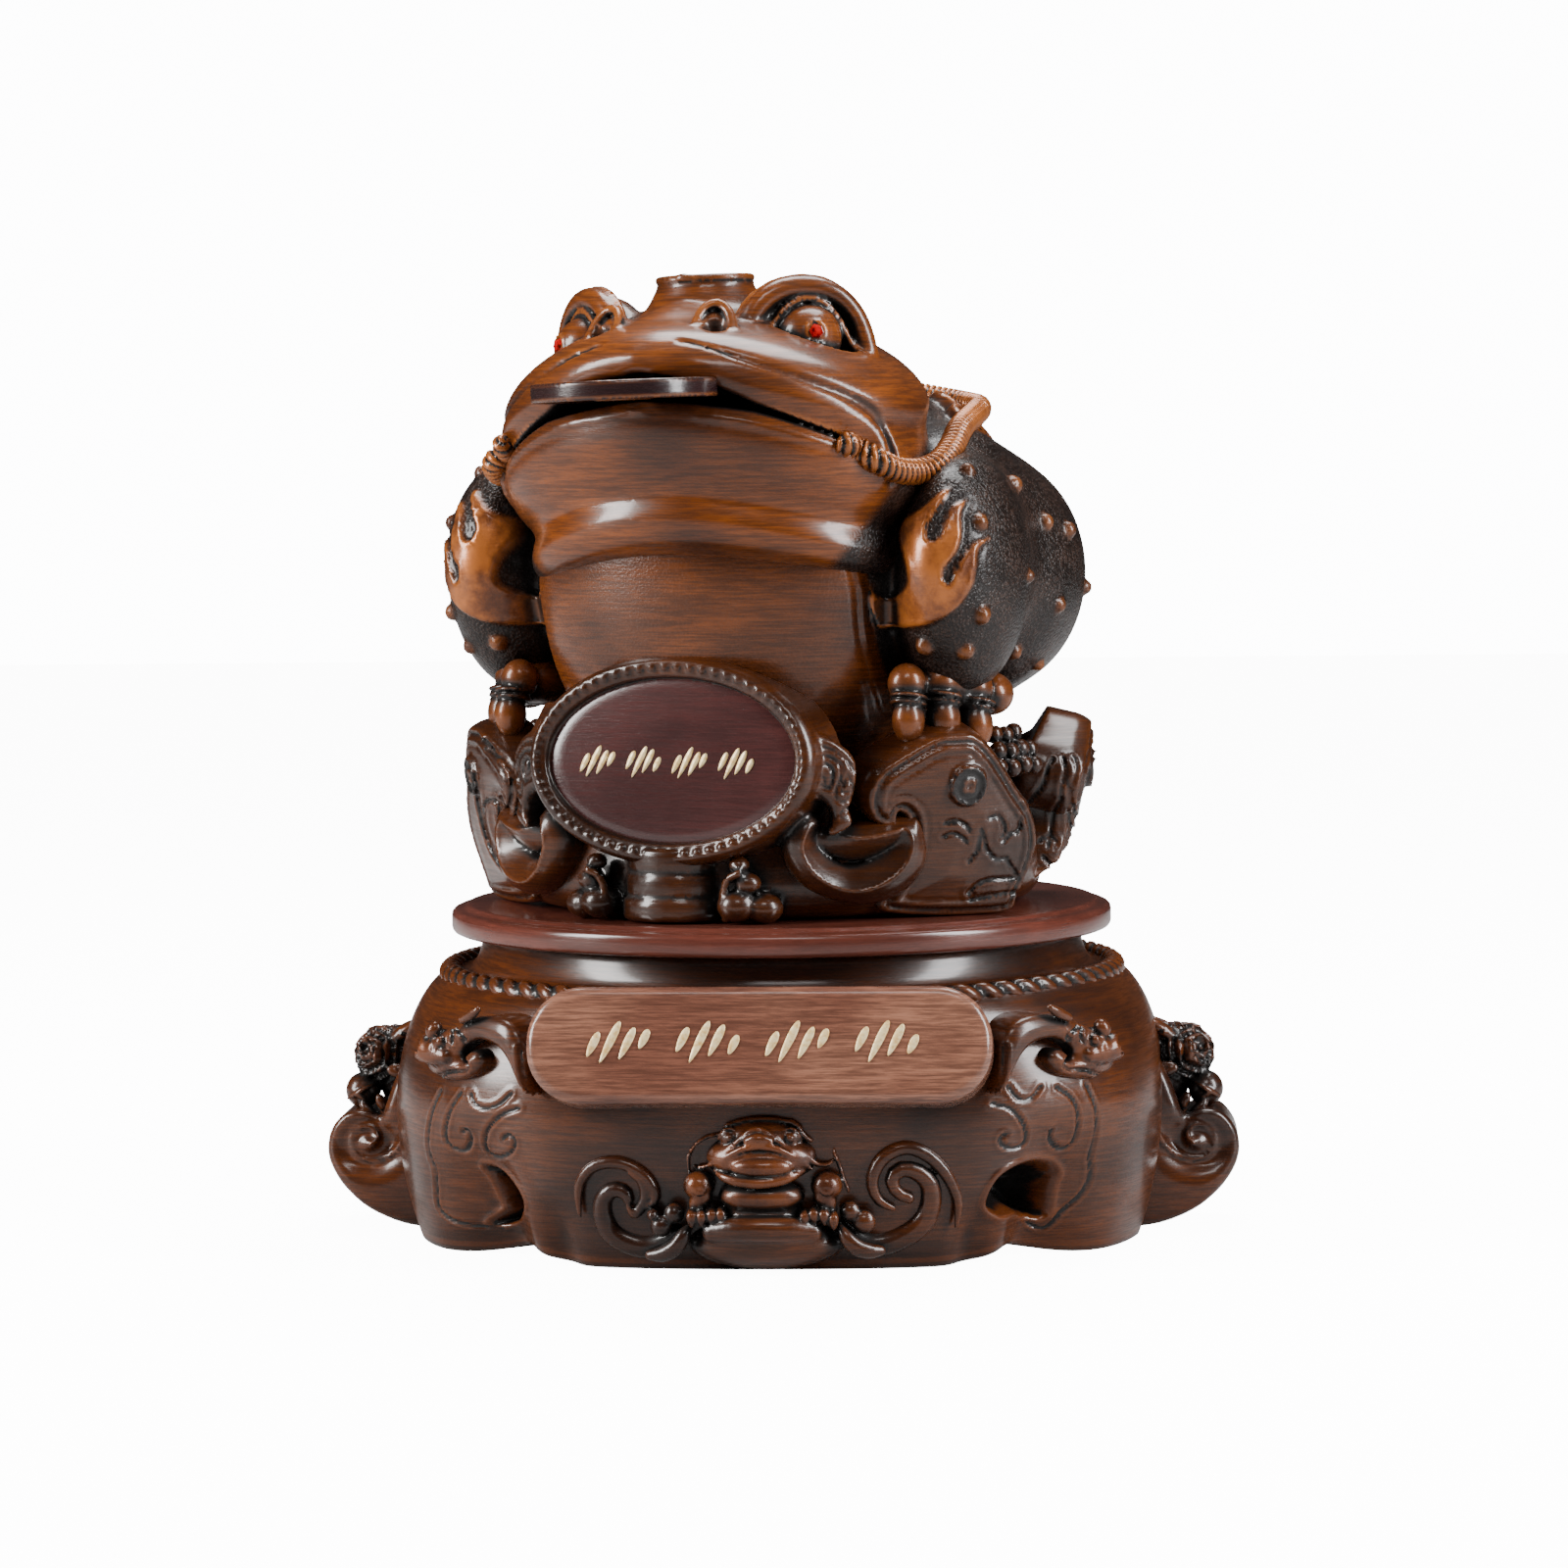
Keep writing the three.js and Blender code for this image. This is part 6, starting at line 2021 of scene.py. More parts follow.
def new_group(name: str, inputs: Sequence[tuple[str, str, object]],
              outputs: Sequence[tuple[str, str]]) -> tuple:
    """Starts a shader node group.

    Args:
        name: The group's name.
        inputs: Each input's name, socket kind and default value.
        outputs: Each output's name and socket kind.

    Returns:
        The group, its node helper, its input sockets by name and its output node.
    """
    group = bpy.data.node_groups.new(name, "ShaderNodeTree")
    for label, kind, value in inputs:
        made = group.interface.new_socket(label, in_out="INPUT", socket_type=kind)
        made.default_value = (*value, 1.0) if isinstance(value, tuple) else value
    for label, kind in outputs:
        group.interface.new_socket(label, in_out="OUTPUT", socket_type=kind)
    nodes = Nodes(group)
    given = nodes.add("NodeGroupInput").outputs
    by_name = {socket.name: socket for socket in given if socket.name}
    return group, nodes, by_name, nodes.add("NodeGroupOutput")


NUMBER = "NodeSocketFloat"
PAINT = "NodeSocketColor"


def brushed_grain_group() -> bpy.types.NodeTree:
    """Wood-like grain: long thin level streaks and broad clouds, as a colour and as fine ridges."""
    inputs = (("Light", PAINT, srgb("8a4f24")), ("Middle", PAINT, srgb("5a3018")),
              ("Dark", PAINT, srgb("2a150d")), ("Streaks", NUMBER, 0.5), ("Cloud", NUMBER, 0.5))
    group, nodes, given, out = new_group("brushed_grain", inputs, (("Color", PAINT), ("Ridges", NUMBER)))
    place = nodes.add("ShaderNodeTexCoord").outputs["Object"]
    fine = nodes.noise(nodes.stretched(place, (1.0, 1.0, 20.0), (0, 4, 0)), 52.0, 5.0, 0.66, 0.25)
    hair = nodes.noise(nodes.stretched(place, (1.0, 1.0, 18.0), (0, -3, 0)), 130.0, 3.0, 0.6, 0.2)
    cloud = nodes.noise(nodes.stretched(place, (1.0, 1.0, 1.8)), 17.0, 2.0, 0.45, 0.4)
    lines = nodes.math("ADD", nodes.math("MULTIPLY", fine, 0.6), nodes.math("MULTIPLY", hair, 0.4))
    streak = nodes.span(lines, 0.4, 0.62)
    broad = nodes.span(cloud, 0.3, 0.7)
    base = nodes.mix(nodes.math("MULTIPLY", broad, given["Cloud"]), given["Middle"], given["Light"])
    dark = nodes.math("MULTIPLY", nodes.math("SUBTRACT", 1.0, streak), given["Streaks"])
    nodes.feed(out.inputs["Color"], nodes.mix(dark, base, given["Dark"]))
    nodes.feed(out.inputs["Ridges"], streak)
    return group


def stippled_skin_group() -> bpy.types.NodeTree:
    """Fine leathery stipple: small uneven knobs with dark pits between them."""
    inputs = (("Size", NUMBER, 980.0),)
    group, nodes, given, out = new_group("stippled_skin", inputs, (("Height", NUMBER), ("Pits", NUMBER)))
    place = nodes.add("ShaderNodeTexCoord").outputs["Object"]
    knobs = nodes.add("ShaderNodeTexVoronoi", feature="SMOOTH_F1")
    warp = nodes.noise(place, 420.0, 2.0, 0.5)
    shift = nodes.add("ShaderNodeVectorMath", operation="MULTIPLY_ADD")
    nodes.feed(shift.inputs[0], warp)
    shift.inputs[1].default_value = (0.0016, 0.0016, 0.0016)
    nodes.feed(shift.inputs[2], place)
    nodes.feed(knobs.inputs["Vector"], shift.outputs[0])
    nodes.feed(knobs.inputs["Scale"], given["Size"])
    knobs.inputs["Smoothness"].default_value = 0.35
    height = nodes.span(knobs.outputs["Distance"], 0.05, 0.75, 1.0, 0.0)
    nodes.feed(out.inputs["Height"], height)
    nodes.feed(out.inputs["Pits"], nodes.span(height, 0.15, 0.6, 1.0, 0.0))
    return group


def shade_and_wear_group() -> bpy.types.NodeTree:
    """Painted shade and dark stain in the hollows, and bright rubbed edges, broken up by small clouds."""
    inputs = (("Color", PAINT, srgb("5a3018")), ("Stain And Shade", PAINT, srgb("150a07")),
              ("Rubbed", PAINT, srgb("b0713a")), ("Hollow", NUMBER, 0.0), ("Edge", NUMBER, 0.0),
              ("Stain And Shade Amount", NUMBER, 1.0), ("Rubbed Amount", NUMBER, 0.6))
    outputs = (("Color", PAINT), ("Stained And Shaded", NUMBER), ("Bare", NUMBER))
    group, nodes, given, out = new_group("painted_shade_and_worn_edges", inputs, outputs)
    place = nodes.add("ShaderNodeTexCoord").outputs["Object"]
    patches = nodes.noise(place, 130.0, 4.0, 0.6)
    # painted shade: the hollow mask, a little broken up, darkens the colour towards the stain-and-shade
    # colour
    sunk = nodes.math("ADD", given["Hollow"], nodes.math("MULTIPLY", patches, 0.16))
    stain_and_shade = nodes.math("MULTIPLY", nodes.span(sunk, 0.16, 0.72), given["Stain And Shade Amount"], clamp=True)
    bare = nodes.span(nodes.math("ADD", given["Edge"], nodes.math("MULTIPLY", patches, 0.2)), 0.28, 0.7)
    bare = nodes.math("MULTIPLY", bare, given["Rubbed Amount"], clamp=True)
    bare = nodes.math("MULTIPLY", bare, nodes.math("SUBTRACT", 1.0, stain_and_shade), clamp=True)
    stained = nodes.mix(stain_and_shade, given["Color"], given["Stain And Shade"])
    nodes.feed(out.inputs["Color"], nodes.mix(bare, stained, given["Rubbed"]))
    nodes.feed(out.inputs["Stained And Shaded"], stain_and_shade)
    nodes.feed(out.inputs["Bare"], bare)
    return group


class Groups:
    """The shared shader groups, each built once."""

    def __init__(self) -> None:
        """Builds them."""
        self.grain = brushed_grain_group()
        self.skin = stippled_skin_group()
        self.shade_and_wear = shade_and_wear_group()


def new_material(name: str) -> tuple[bpy.types.Material, Nodes, bpy.types.Node]:
    """An empty material, its node helper and its shader."""
    material = bpy.data.materials.new(name)
    material.use_nodes = True
    return material, Nodes(material.node_tree), material.node_tree.nodes["Principled BSDF"]


@dataclass(frozen=True)
class CastWalnut:
    """Walnut-stained cast resin: brushed grain, painted shade and stain in hollows, rubbed copper edges,
    stippled skin.
    """

    name: str
    light: str = "84441a"
    middle: str = "44200c"
    dark: str = "1e0c04"
    # colour of the painted shade and dark stain in hollows, also of the pits in the skin
    stain_and_shade: str = "0b0503"
    copper: str = "a8602a"
    copper_deep: str = "5a3018"
    hide: str = "33231c"
    hide_deep: str = "1a100c"
    streaks: float = 0.6
    cloud: float = 0.7
    roughness: float = 0.36
    rubbed: float = 0.5
    coat: float = 0.5
    coat_roughness: float = 0.17
    specular: float = 0.22

    def build(self, groups: Groups) -> bpy.types.Material:
        """Builds the material.

        Args:
            groups: The shared shader groups.

        Returns:
            The material.
        """
        material, nodes, shader = new_material(self.name)
        grain = nodes.add("ShaderNodeGroup", node_tree=groups.grain)
        for socket, value in (("Light", srgb(self.light)), ("Middle", srgb(self.middle)),
                              ("Dark", srgb(self.dark)), ("Streaks", self.streaks),
                              ("Cloud", self.cloud)):
            nodes.feed(grain.inputs[socket], value)
        skin = nodes.add("ShaderNodeGroup", node_tree=groups.skin)
        copper, hide = nodes.mask("copper"), nodes.mask("skin")
        place = nodes.add("ShaderNodeTexCoord").outputs["Object"]
        patches = nodes.span(nodes.noise(place, 75.0, 4.0, 0.62), 0.34, 0.66)
        rubbed = nodes.mix(patches, srgb(self.copper_deep), srgb(self.copper))
        colour = nodes.mix(copper, grain.outputs["Color"], rubbed)
        leather = nodes.mix(patches, srgb(self.hide_deep), srgb(self.hide))
        leather = nodes.mix(nodes.math("MULTIPLY", skin.outputs["Pits"], 0.75), leather, srgb(self.stain_and_shade))
        colour = nodes.mix(hide, colour, leather)
        # the hollow mask paints shade together with stain; the ridge mask lays rubbed copper
        shade_and_wear = nodes.add("ShaderNodeGroup", node_tree=groups.shade_and_wear)
        for socket, value in (("Color", colour), ("Stain And Shade", srgb(self.stain_and_shade)),
                              ("Rubbed", srgb(self.copper)), ("Hollow", nodes.mask("hollow")),
                              ("Edge", nodes.mask("ridge")), ("Rubbed Amount", self.rubbed)):
            nodes.feed(shade_and_wear.inputs[socket], value)
        nodes.feed(shader.inputs["Base Color"], shade_and_wear.outputs["Color"])
        rough = nodes.math("ADD", self.roughness, nodes.math("MULTIPLY", shade_and_wear.outputs["Stained And Shaded"], 0.3))
        rough = nodes.math("SUBTRACT", rough, nodes.math("MULTIPLY", grain.outputs["Ridges"], 0.08))
        nodes.feed(shader.inputs["Roughness"],
                   nodes.math("ADD", rough, nodes.math("MULTIPLY", hide, 0.06)))
        metal = nodes.math("ADD", nodes.math("MULTIPLY", copper, 0.3),
                           nodes.math("MULTIPLY", shade_and_wear.outputs["Bare"], 0.4))
        nodes.feed(shader.inputs["Metallic"], metal)
        nodes.feed(shader.inputs["Coat Weight"],
                   nodes.math("SUBTRACT", self.coat, nodes.math("MULTIPLY", hide, 0.25)))
        shader.inputs["Coat Roughness"].default_value = self.coat_roughness
        shader.inputs["Specular IOR Level"].default_value = self.specular
        knobs = nodes.math("MULTIPLY", skin.outputs["Height"], hide)
        height = nodes.math("ADD", nodes.math("MULTIPLY", knobs, 0.6),
                            nodes.math("MULTIPLY", grain.outputs["Ridges"], 0.06))
        bump = nodes.add("ShaderNodeBump")
        bump.inputs["Strength"].default_value = 0.7
        bump.inputs["Distance"].default_value = 0.0006
        nodes.feed(bump.inputs["Height"], height)
        nodes.feed(shader.inputs["Normal"], bump.outputs["Normal"])
        return material


@dataclass(frozen=True)
class RedStone:
    """Cut red stone: deep red with darker clouds under a clear gloss."""

    name: str = "red_stone"
    bright: str = "c01414"
    deep: str = "4a0206"

    def build(self) -> bpy.types.Material:
        """Builds the material."""
        material, nodes, shader = new_material(self.name)
        clouds = nodes.noise(nodes.add("ShaderNodeTexCoord").outputs["Object"], 420.0, 2.0)
        nodes.feed(shader.inputs["Base Color"],
                   nodes.mix(nodes.span(clouds, 0.35, 0.65), srgb(self.deep), srgb(self.bright)))
        nodes.feed(shader.inputs["Roughness"], nodes.span(clouds, 0.0, 1.0, 0.06, 0.16))
        shader.inputs["Coat Weight"].default_value = 1.0
        shader.inputs["Coat Roughness"].default_value = 0.03
        return material


@dataclass(frozen=True)
class GoldPaint:
    """Pale gold paint in the strokes, a little uneven."""

    name: str = "gold_paint"
    pale: str = "efd9a8"
    warm: str = "cfa766"

    def build(self) -> bpy.types.Material:
        """Builds the material."""
        material, nodes, shader = new_material(self.name)
        patches = nodes.noise(nodes.add("ShaderNodeTexCoord").outputs["Object"], 520.0, 4.0, 0.6)
        nodes.feed(shader.inputs["Base Color"],
                   nodes.mix(nodes.span(patches, 0.35, 0.7), srgb(self.pale), srgb(self.warm)))
        nodes.feed(shader.inputs["Roughness"], nodes.span(patches, 0.2, 0.8, 0.34, 0.55))
        shader.inputs["Metallic"].default_value = 0.25
        bump = nodes.add("ShaderNodeBump")
        bump.inputs["Strength"].default_value = 0.3
        bump.inputs["Distance"].default_value = 0.0002
        nodes.feed(bump.inputs["Height"], patches)
        nodes.feed(shader.inputs["Normal"], bump.outputs["Normal"])
        return material


@dataclass(frozen=True)
class Studio:
    """Camera, soft lights and floor."""

    place: Place = (0.1130, -1.7964, 0.273)
    lens: float = 124.2
    turn: tuple[float, float, float] = (4.01, -0.6, 3.6)  # degrees: down, rolled, round the upright axis
    shift: float = 0.0025
    aim: Place = (0.0, 0.0, 0.17)

    def camera(self) -> None:
        """Makes the camera that sees the object as the photograph does."""
        down, rolled, round_axis = (math.radians(value) for value in self.turn)
        made = bpy.data.cameras.new("camera")
        made.lens = self.lens
        made.sensor_width = 36.0
        made.shift_x = self.shift
        made.clip_end = 50.0
        eye = bpy.data.objects.new("camera", made)
        look = Euler((math.pi / 2 - down, 0.0, round_axis)).to_quaternion()
        eye.rotation_mode = "QUATERNION"
        eye.rotation_quaternion = look @ Quaternion((0, 0, 1), rolled)
        eye.location = self.place
        bpy.context.scene.collection.objects.link(eye)
        bpy.context.scene.camera = eye

    def lamp(self, name: str, place: Place, size: tuple[float, float], power: float,
             tint: Colour) -> None:
        """Makes a soft box that faces the object."""
        made = bpy.data.lights.new(name, "AREA")
        made.shape = "RECTANGLE"
        made.size, made.size_y = size
        made.energy = power
        made.color = tint
        lamp = bpy.data.objects.new(name, made)
        lamp.location = place
        lamp.rotation_mode = "QUATERNION"
        lamp.rotation_quaternion = (Vector(self.aim) - Vector(place)).to_track_quat("-Z", "Y")
        bpy.context.scene.collection.objects.link(lamp)

    def build(self) -> None:
        """Makes the camera, the lights, the pale surroundings and the floor."""
        self.camera()
        self.lamp("soft_box_left", (-1.8, -0.7, 0.95), (0.6, 1.2), 84.0, (1.0, 0.985, 0.97))
        self.lamp("soft_box_right", (1.45, -0.55, 0.85), (0.45, 1.2), 52.0, (0.98, 0.985, 1.0))
        self.lamp("soft_box_front", (0.15, -1.5, 1.7), (0.8, 0.4), 10.0, (1.0, 0.99, 0.98))
        self.lamp("soft_box_top", (0.1, 0.4, 1.5), (1.0, 0.7), 32.0, (1.0, 1.0, 1.0))
        world = bpy.data.worlds.new("pale_room")
        world.use_nodes = True
        nodes = Nodes(world.node_tree)
        background = world.node_tree.nodes["Background"]
        background.inputs["Color"].default_value = (0.97, 0.975, 0.985, 1.0)
        seen = nodes.add("ShaderNodeLightPath").outputs["Is Camera Ray"]
        nodes.feed(background.inputs["Strength"], nodes.span(seen, 0.0, 1.0, 0.03, 14.0))
        bpy.context.scene.world = world
        across = np.arange(-4.0, 5.0)
        x, y = np.meshgrid(across, across, indexing="ij")
        places = np.stack([x, y, np.zeros_like(x)], -1).reshape(-1, 3)
        faces = grid_quads(len(across), len(across), False, False)
        mesh = bpy.data.meshes.new("floor")
        mesh.from_pydata(places.tolist(), [], faces.tolist())
        paper, nodes, shader = new_material("pale_paper")
        fibres = nodes.noise(nodes.add("ShaderNodeTexCoord").outputs["Object"], 40.0, 4.0)
        seen = nodes.add("ShaderNodeLightPath").outputs["Is Camera Ray"]
        pale = nodes.mix(fibres, (0.83, 0.83, 0.84), (0.87, 0.87, 0.87))
        nodes.feed(shader.inputs["Base Color"], nodes.mix(seen, (0.4, 0.4, 0.4), pale))
        shader.inputs["Roughness"].default_value = 0.7
        shader.inputs["Emission Color"].default_value = (1.0, 1.0, 1.0, 1.0)
        nodes.feed(shader.inputs["Emission Strength"], nodes.math("MULTIPLY", seen, 12.0))
        mesh.materials.append(paper)
        floor = bpy.data.objects.new("floor", mesh)
        bpy.context.scene.collection.objects.link(floor)


def plain_masks(count: int, copper: float = 0.0) -> dict[str, Array]:
    """Masks of a piece that has no hollows, edges or skin of its own."""
    return {"hollow": np.zeros(count), "ridge": np.zeros(count), "copper": np.full(count, copper),
            "skin": np.zeros(count)}


def rope_masks(crest: Array, copper: float) -> dict[str, Array]:
    """Masks of a rope: painted shade and stain between its strands, and rubbed on their crests."""
    masks = plain_masks(len(crest), copper)
    # painted shade and stain in the grooves between strands
    masks["hollow"] = np.clip((0.97 - crest) * 7.0, 0, 1)
    masks["ridge"] = np.clip((crest - 1.0) * 9.0, 0, 1)
    return masks


class Toad:
    """The cast figure: its pieces are carved one after another and finished."""

    node = "toad_figure"
    body = Body.TURNTABLE.value
    slot = "walnut_cast"

    def __init__(self, groups: Groups) -> None:
        """Builds the finishes that its pieces share."""
        self.walnut = CastWalnut("walnut_head").build(groups)
        self.hide = CastWalnut("walnut_hide", light="8e4a18", middle="4a230b",
                               dark="1a0b04").build(groups)
        self.ring = CastWalnut("walnut_ring", light="5c2e0f", middle="281206", rubbed=0.2,
                               copper="7c4218").build(groups)
        self.plaque = CastWalnut("plaque_gloss", light="55302e", middle="3a1e1d", dark="200e0e",
                                 streaks=0.45, roughness=0.24, coat=0.7).build(groups)
        self.gold = GoldPaint().build()

    def place(self, name: str, carving: Carving, material: bpy.types.Material) -> bpy.types.Object:
        """Puts a carved piece into the frame."""
        return make_piece(name, to_world(carving.vertices), carving.quads, carving.masks, self.node,
                          self.body, material)

    def head(self) -> None:
        """The head, with a patch of skin above the rope on each side."""
        carving = carve(head_field, ((-80, -122, 108), (80, 20, 210)), 0.85)
        shade_and_wear_masks(carving, head_field)
        across, _ = Trunk().chart(mirrored(carving.vertices))
        z = carving.vertices[:, 2]
        carving.masks["copper"] = np.zeros(len(carving.vertices), np.float32)
        beside = step_between(across - 40.6 - 0.8 * (z - 145.0), -1.0, 5.0)
        carving.masks["skin"] = beside * step_between(-z, -168.0, -160.0)
        self.place("toad_head", carving, self.hide)

    def trunk(self) -> None:
        """Back, belly and limbs."""
        carving = carve(trunk_field, ((-112, -98, 42), (112, 98, 186)), 0.95)
        shade_and_wear_masks(carving, trunk_field)
        folded = mirrored(carving.vertices)
        across, nearness = Trunk().chart(folded)
        away = FLAME.at(across, carving.vertices[:, 2])
        copper = step_between(-away, -0.3, 0.5) * step_between(nearness, 44.0, 52.0)
        belly = Ball(Trunk().belly.centre, Trunk().belly.half).distance(carving.vertices)
        smooth = step_between(-belly, -6.0, -1.0)
        panelled = step_between(Trunk().panel(folded), -0.6, 0.0)
        smooth *= np.maximum(panelled, step_between(-folded[:, 0], -53.0, -44.0))
        for wart in WARTS:
            away = np.linalg.norm(folded - np.array(wart.centre), axis=1)
            copper = np.maximum(copper, 0.7 * step_between(wart.half[0] + 0.5 - away, 0.0, 0.7))
        for coin in BACK_COINS:
            smooth = np.maximum(smooth, step_between(-coin.distance(carving.vertices), -0.6, 0.0))
        for mound, _ in BACK_SEATS:
            away = np.linalg.norm(carving.vertices - np.array(mound.centre), axis=1)
            smooth = np.maximum(smooth, step_between(7.4 - away, -1.6, 0.4))
        carving.masks["copper"] = copper
        carving.masks["skin"] = np.clip(1.0 - smooth - copper, 0.0, 1.0)
        self.place("toad_trunk", carving, self.hide)

    def rope(self) -> None:
        """The rope that runs from one corner of the mouth round the back to the other."""
        places, quads, crest = Twist(3.9, 2.7, 3, depth=0.5, around=18).surface(rope_path(), False)
        make_piece("toad_rope", to_world(places), quads, rope_masks(crest, 0.85), self.node, self.body,
                   self.walnut)

    def simple(self, name: str, work: Field, box: Box, voxel: float, copper: float = 0.0,
               stain_and_shade: Field | None = None) -> None:
        """Carves a piece that has one finish all over.

        Args:
            name: The piece's name.
            work: Its field.
            box: Lowest and highest corner that it lies in, in mm.
            voxel: Spacing of its net in mm.
            copper: How much copper is rubbed on, from 0 to 1.
            stain_and_shade: Gives dark patina at its vertices, where it has any of its own.
        """
        carving = carve(work, box, voxel)
        shade_and_wear_masks(carving, work)
        carving.masks["copper"] = np.full(len(carving.vertices), copper, np.float32)
        carving.masks["skin"] = np.zeros(len(carving.vertices), np.float32)
        if stain_and_shade:
            carving.masks["hollow"] = np.maximum(carving.masks["hollow"], stain_and_shade(carving.vertices))
        self.place(name, carving, self.ring)

    def plaque_face(self) -> None:
        """The glossy oval in the front frame and its gold strokes."""
        profile = [(0, 0.9), (0.5, 0.85), (0.86, 0.55), (0.97, 0.25), (1.0, -0.2), (0.97, -0.8),
                   (0, -0.8)]
        places, quads = lens((PLAQUE_FACE[0] + 0.3, PLAQUE_FACE[1] + 0.3), profile, 128)
        seated = (places + [0, 0, -2.3]) @ PLAQUE_AXES + PLAQUE_ORIGIN
        make_piece("plaque_face", to_world(seated), quads, plain_masks(len(places)), self.node, self.body,
                   self.plaque)
        (left, level), (right, _) = SIGHT.on_plane([(582, 777), (775, 777)], PLAQUE_ORIGIN, PLAQUE_AXES)
        places, quads = Strokes(pitch=(right - left) / 4.1, height=12.0, width=2.7).build()
        seated = (places + [(left + right) / 2, level, -1.5]) @ PLAQUE_AXES + PLAQUE_ORIGIN
        make_piece("plaque_strokes", to_world(seated), quads, plain_masks(len(places)), self.node,
                   self.body, self.gold)

    def build(self) -> None:
        """Builds every piece."""
        self.head()
        self.trunk()
        self.rope()
        self.simple("toad_feet", feet_field, ((-104, -86, 48), (104, 112, 92)), 0.7, 0.8)
        self.simple("ring_front", front_field, ((-86, -108, -2), (86, -40, 92)), 0.7)
        self.simple("ring_ingots", ingots_field, ((-116, -100, -2), (116, 116, 78)), 0.8,
                    stain_and_shade=emblem_stain)
        self.simple("ring_base", ring_field, ((-100, -104, -2), (100, 104, 66)), 1.1)
        self.plaque_face()


def emblem_stain(vertices: Array) -> Array:
    """How much dark patina lies on the coin emblems of the ingots."""
    stain_and_shade = np.zeros(len(vertices))
    for ingot in RING.ingots:
        foot, axes = ingot.frame()
        local = (vertices - foot) @ axes.T
        across, up = np.abs(local[:, 0] - ingot.side * EMBLEM[0]), np.abs(local[:, 1] - EMBLEM[1])
        away = np.hypot(across, up)
        patina = step_between(6.2 - away, 0.0, 0.6) * step_between(np.maximum(across, up) - 2.2, 0.0, 0.4)
        stain_and_shade = np.maximum(stain_and_shade, 0.8 * patina * (np.abs(local[:, 2]) < 6.0))
    return stain_and_shade


def front_copper(vertices: Array) -> Array:
    """How much copper is rubbed on the small toad: all of it, and none on its boat."""
    from_middle = np.abs(vertices[:, 0] - 1.0)
    height = vertices[:, 2]
    beside = step_between(25.0 - from_middle, 0.0, 1.5)
    return 0.75 * beside * step_between(height, 17.5, 20.0) * (height < 43)


def bracket_copper(vertices: Array) -> Array:
    """How much copper is rubbed on the brackets: their curled heads and buds."""
    return step_between(np.abs(vertices[:, 0]), 90.0, 97.0) * 0.7


class Pedestal:
    """The carved base under the turntable."""

    node = "pedestal"
    body = Body.PEDESTAL.value
    slot = "walnut_cast"

    def __init__(self, groups: Groups) -> None:
        """Builds its finishes."""
        self.walnut = CastWalnut("walnut_pedestal", light="643211", middle="2e1508", dark="100502",
                                  copper="6e3a1a", copper_deep="43200f", rubbed=0.3).build(groups)
        self.board = CastWalnut("walnut_board", light="aa7860", middle="744a3b", dark="3e251d", cloud=0.6,
                                streaks=0.7, roughness=0.3, coat=0.6).build(groups)
        self.gold = GoldPaint().build()

    def put(self, name: str, places: Array, quads: Array, masks: dict[str, Array],
            material: bpy.types.Material) -> None:
        """Puts a piece given in mm into the frame."""
        make_piece(name, places * MM, quads, masks, self.node, self.body, material)

    def carved(self, name: str, work: Field, box: Box, voxel: float, copper: Field | None = None,
               material: bpy.types.Material | None = None) -> None:
        """Carves a piece.

        Args:
            name: The piece's name.
            work: Its field.
            box: Lowest and highest corner that it lies in, in mm.
            voxel: Spacing of its net in mm.
            copper: Gives how much copper is rubbed on at its vertices, where any is.
            material: Its finish, if it isn't walnut.
        """
        carving = carve(work, box, voxel)
        shade_and_wear_masks(carving, work)
        masks = plain_masks(len(carving.vertices)) | carving.masks
        if copper:
            masks["copper"] = copper(carving.vertices)
        self.put(name, carving.vertices, carving.quads, masks, material or self.walnut)

    def drum(self) -> None:
        """The lobed drum with its relief, shoulder and neck."""
        places, quads, grid = drum_surface(0.6 * COARSER, 1.5 * COARSER)
        hollow, ridge = creases(grid)
        around = both_faces(np.degrees(np.arctan2(places[:, 0], -places[:, 1])) * SCROLL_CHART)
        # painted shade: the deep pits are darkened too, through the hollow mask
        hollow = np.maximum(hollow, 0.9 * step_between(-PIT_SHAPE.at(around, places[:, 2]), 0.0, 4.0))
        self.put("pedestal_drum", places, quads,
                 plain_masks(len(places)) | {"hollow": hollow, "ridge": ridge}, self.walnut)

    def moulding(self) -> None:
        """The rope round the neck."""
        turn = np.linspace(0, 2 * math.pi, 1400, endpoint=False)
        radius, height = 110.6, 85.8
        path = np.column_stack([radius * np.cos(turn), radius * np.sin(turn), np.full(len(turn), height)])
        places, quads, crest = Twist(3.5, 8.4, 2, depth=0.5, around=14).surface(path, True)
        self.put("rope_moulding", places, quads, rope_masks(crest, 0.0), self.walnut)

    def strokes(self) -> None:
        """The gold strokes on the name board."""
        axes = BOARD.axes()
        (left, level), (right, _) = SIGHT.on_plane([(580, 1065), (955, 1061)], BOARD.middle, axes, False)
        places, quads = Strokes(pitch=(right - left) / 4.1, height=15.6, width=3.5).build()
        seated = (places + [(left + right) / 2, level, 0.0]) @ axes + np.array(BOARD.middle)
        self.put("board_strokes", seated, quads, plain_masks(len(places)), self.gold)

    def build(self) -> None:
        """Builds every piece."""
        self.drum()
        self.carved("pedestal_front", pedestal_front_field, ((-70, -132, -2), (70, -90, 60)), 0.6,
                    front_copper)
        self.carved("name_board", board_field, ((-78, -134, 50), (78, -88, 98)), 1.0, material=self.board)
        self.carved("brackets", brackets_field, ((-120, -128, 44), (120, -66, 90)), 0.6, bracket_copper)
        self.carved("side_scrolls", side_scrolls_field, ((-156, -26, -2), (156, 26, 68)), 0.9)
        self.carved("flowers", flowers_field, ((-152, -20, 28), (152, 20, 76)), 0.6)
        self.moulding()
        self.strokes()


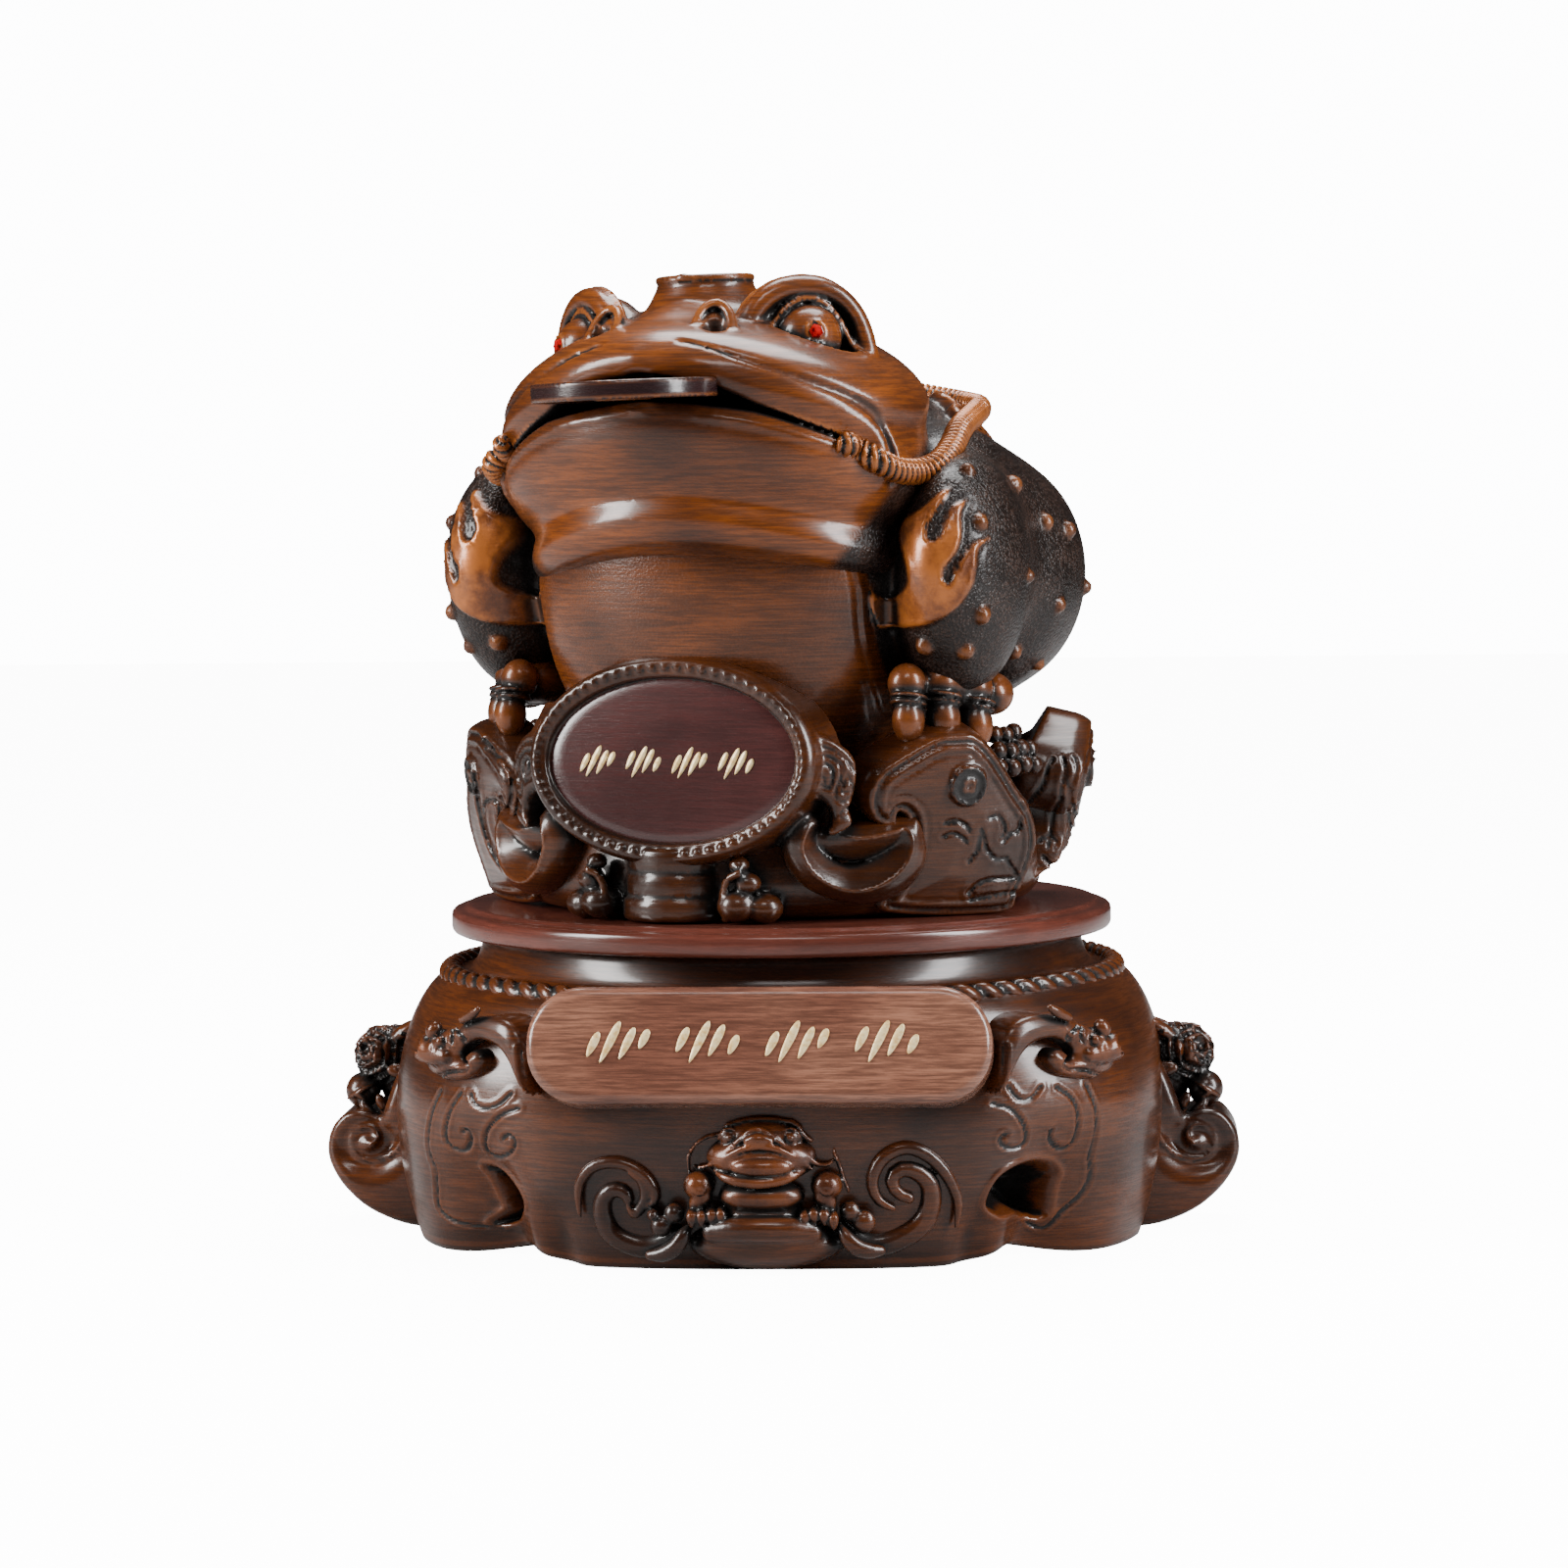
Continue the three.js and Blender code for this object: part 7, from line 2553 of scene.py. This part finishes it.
@dataclass(frozen=True)
class Turntable:
    """The turned disc: a flat top, a cove, a rounded band and an upright edge."""

    steps: int = 384
    profile: tuple[tuple[float, float], ...] = (
        (0, 108.6), (60, 108.6), (103.4, 108.6), (104.4, 108.5), (105.0, 108.1), (105.3, 107.6),
        (105.9, 107.25), (107.0, 107.15), (108.2, 107.0), (109.1, 106.6), (109.7, 105.9),
        (109.9, 105.0), (109.9, 101.4), (109.7, 100.5), (109.2, 99.8), (108.4, 99.45), (104, 99.4),
        (40, 99.4), (0, 99.4),
    )

    def build(self, groups: Groups) -> None:
        """Builds the disc."""
        gloss = CastWalnut("disc_gloss", light="743e33", middle="52291f", dark="2a120d", streaks=0.4,
                           roughness=0.27, rubbed=0.2, coat=0.6).build(groups)
        places, quads = revolve(self.profile, self.steps)
        make_piece("disc_turned", places * MM, quads, plain_masks(len(places)), "turntable_disc",
                   Body.TURNTABLE.value, gloss)


def coin_field(points: Array) -> Array:
    """Distance to the loose coin, on its own plane."""
    return OldCoin((0, 0, 0), (0, 0, 1), 29.3, 6.0, 11.0, 3.2, 0.9).distance(points)


class MouthCoin:
    """The loose coin in the mouth."""

    def build(self, groups: Groups) -> None:
        """Carves the coin and lays it in the mouth, tilted a little to one side."""
        carving = carve(coin_field, ((-31, -31, -4), (31, 31, 4)), 0.55)
        shade_and_wear_masks(carving, coin_field)
        tilt = math.radians(-2.0)
        turn = np.array([[math.cos(tilt), 0, math.sin(tilt)], [0, 1, 0],
                         [-math.sin(tilt), 0, math.cos(tilt)]])
        places = carving.vertices @ turn.T + [-2.0, -112.0, 168.9]
        masks = plain_masks(len(places)) | carving.masks
        bronze = CastWalnut("coin_bronze", light="3a2523", middle="241516", dark="120909", streaks=0.5,
                            roughness=0.3, rubbed=0.35, coat=0.5).build(groups)
        make_piece("coin_cast", to_world(places), carving.quads, masks, "mouth_coin",
                   Body.TURNTABLE.value, bronze)


def set_stones() -> None:
    """Gives every stone its finish."""
    stone = RedStone().build()
    for name in ["eye_gem_left", "eye_gem_right", *BACK_STONES]:
        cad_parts[name].data.materials.clear()
        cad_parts[name].data.materials.append(stone)


def main() -> None:
    """Builds the studio and the object's pieces in order."""
    groups = Groups()
    Studio().build()
    Toad(groups).build()
    MouthCoin().build(groups)
    set_stones()
    Turntable().build(groups)
    Pedestal(groups).build()


if __name__ == "__main__":
    main()
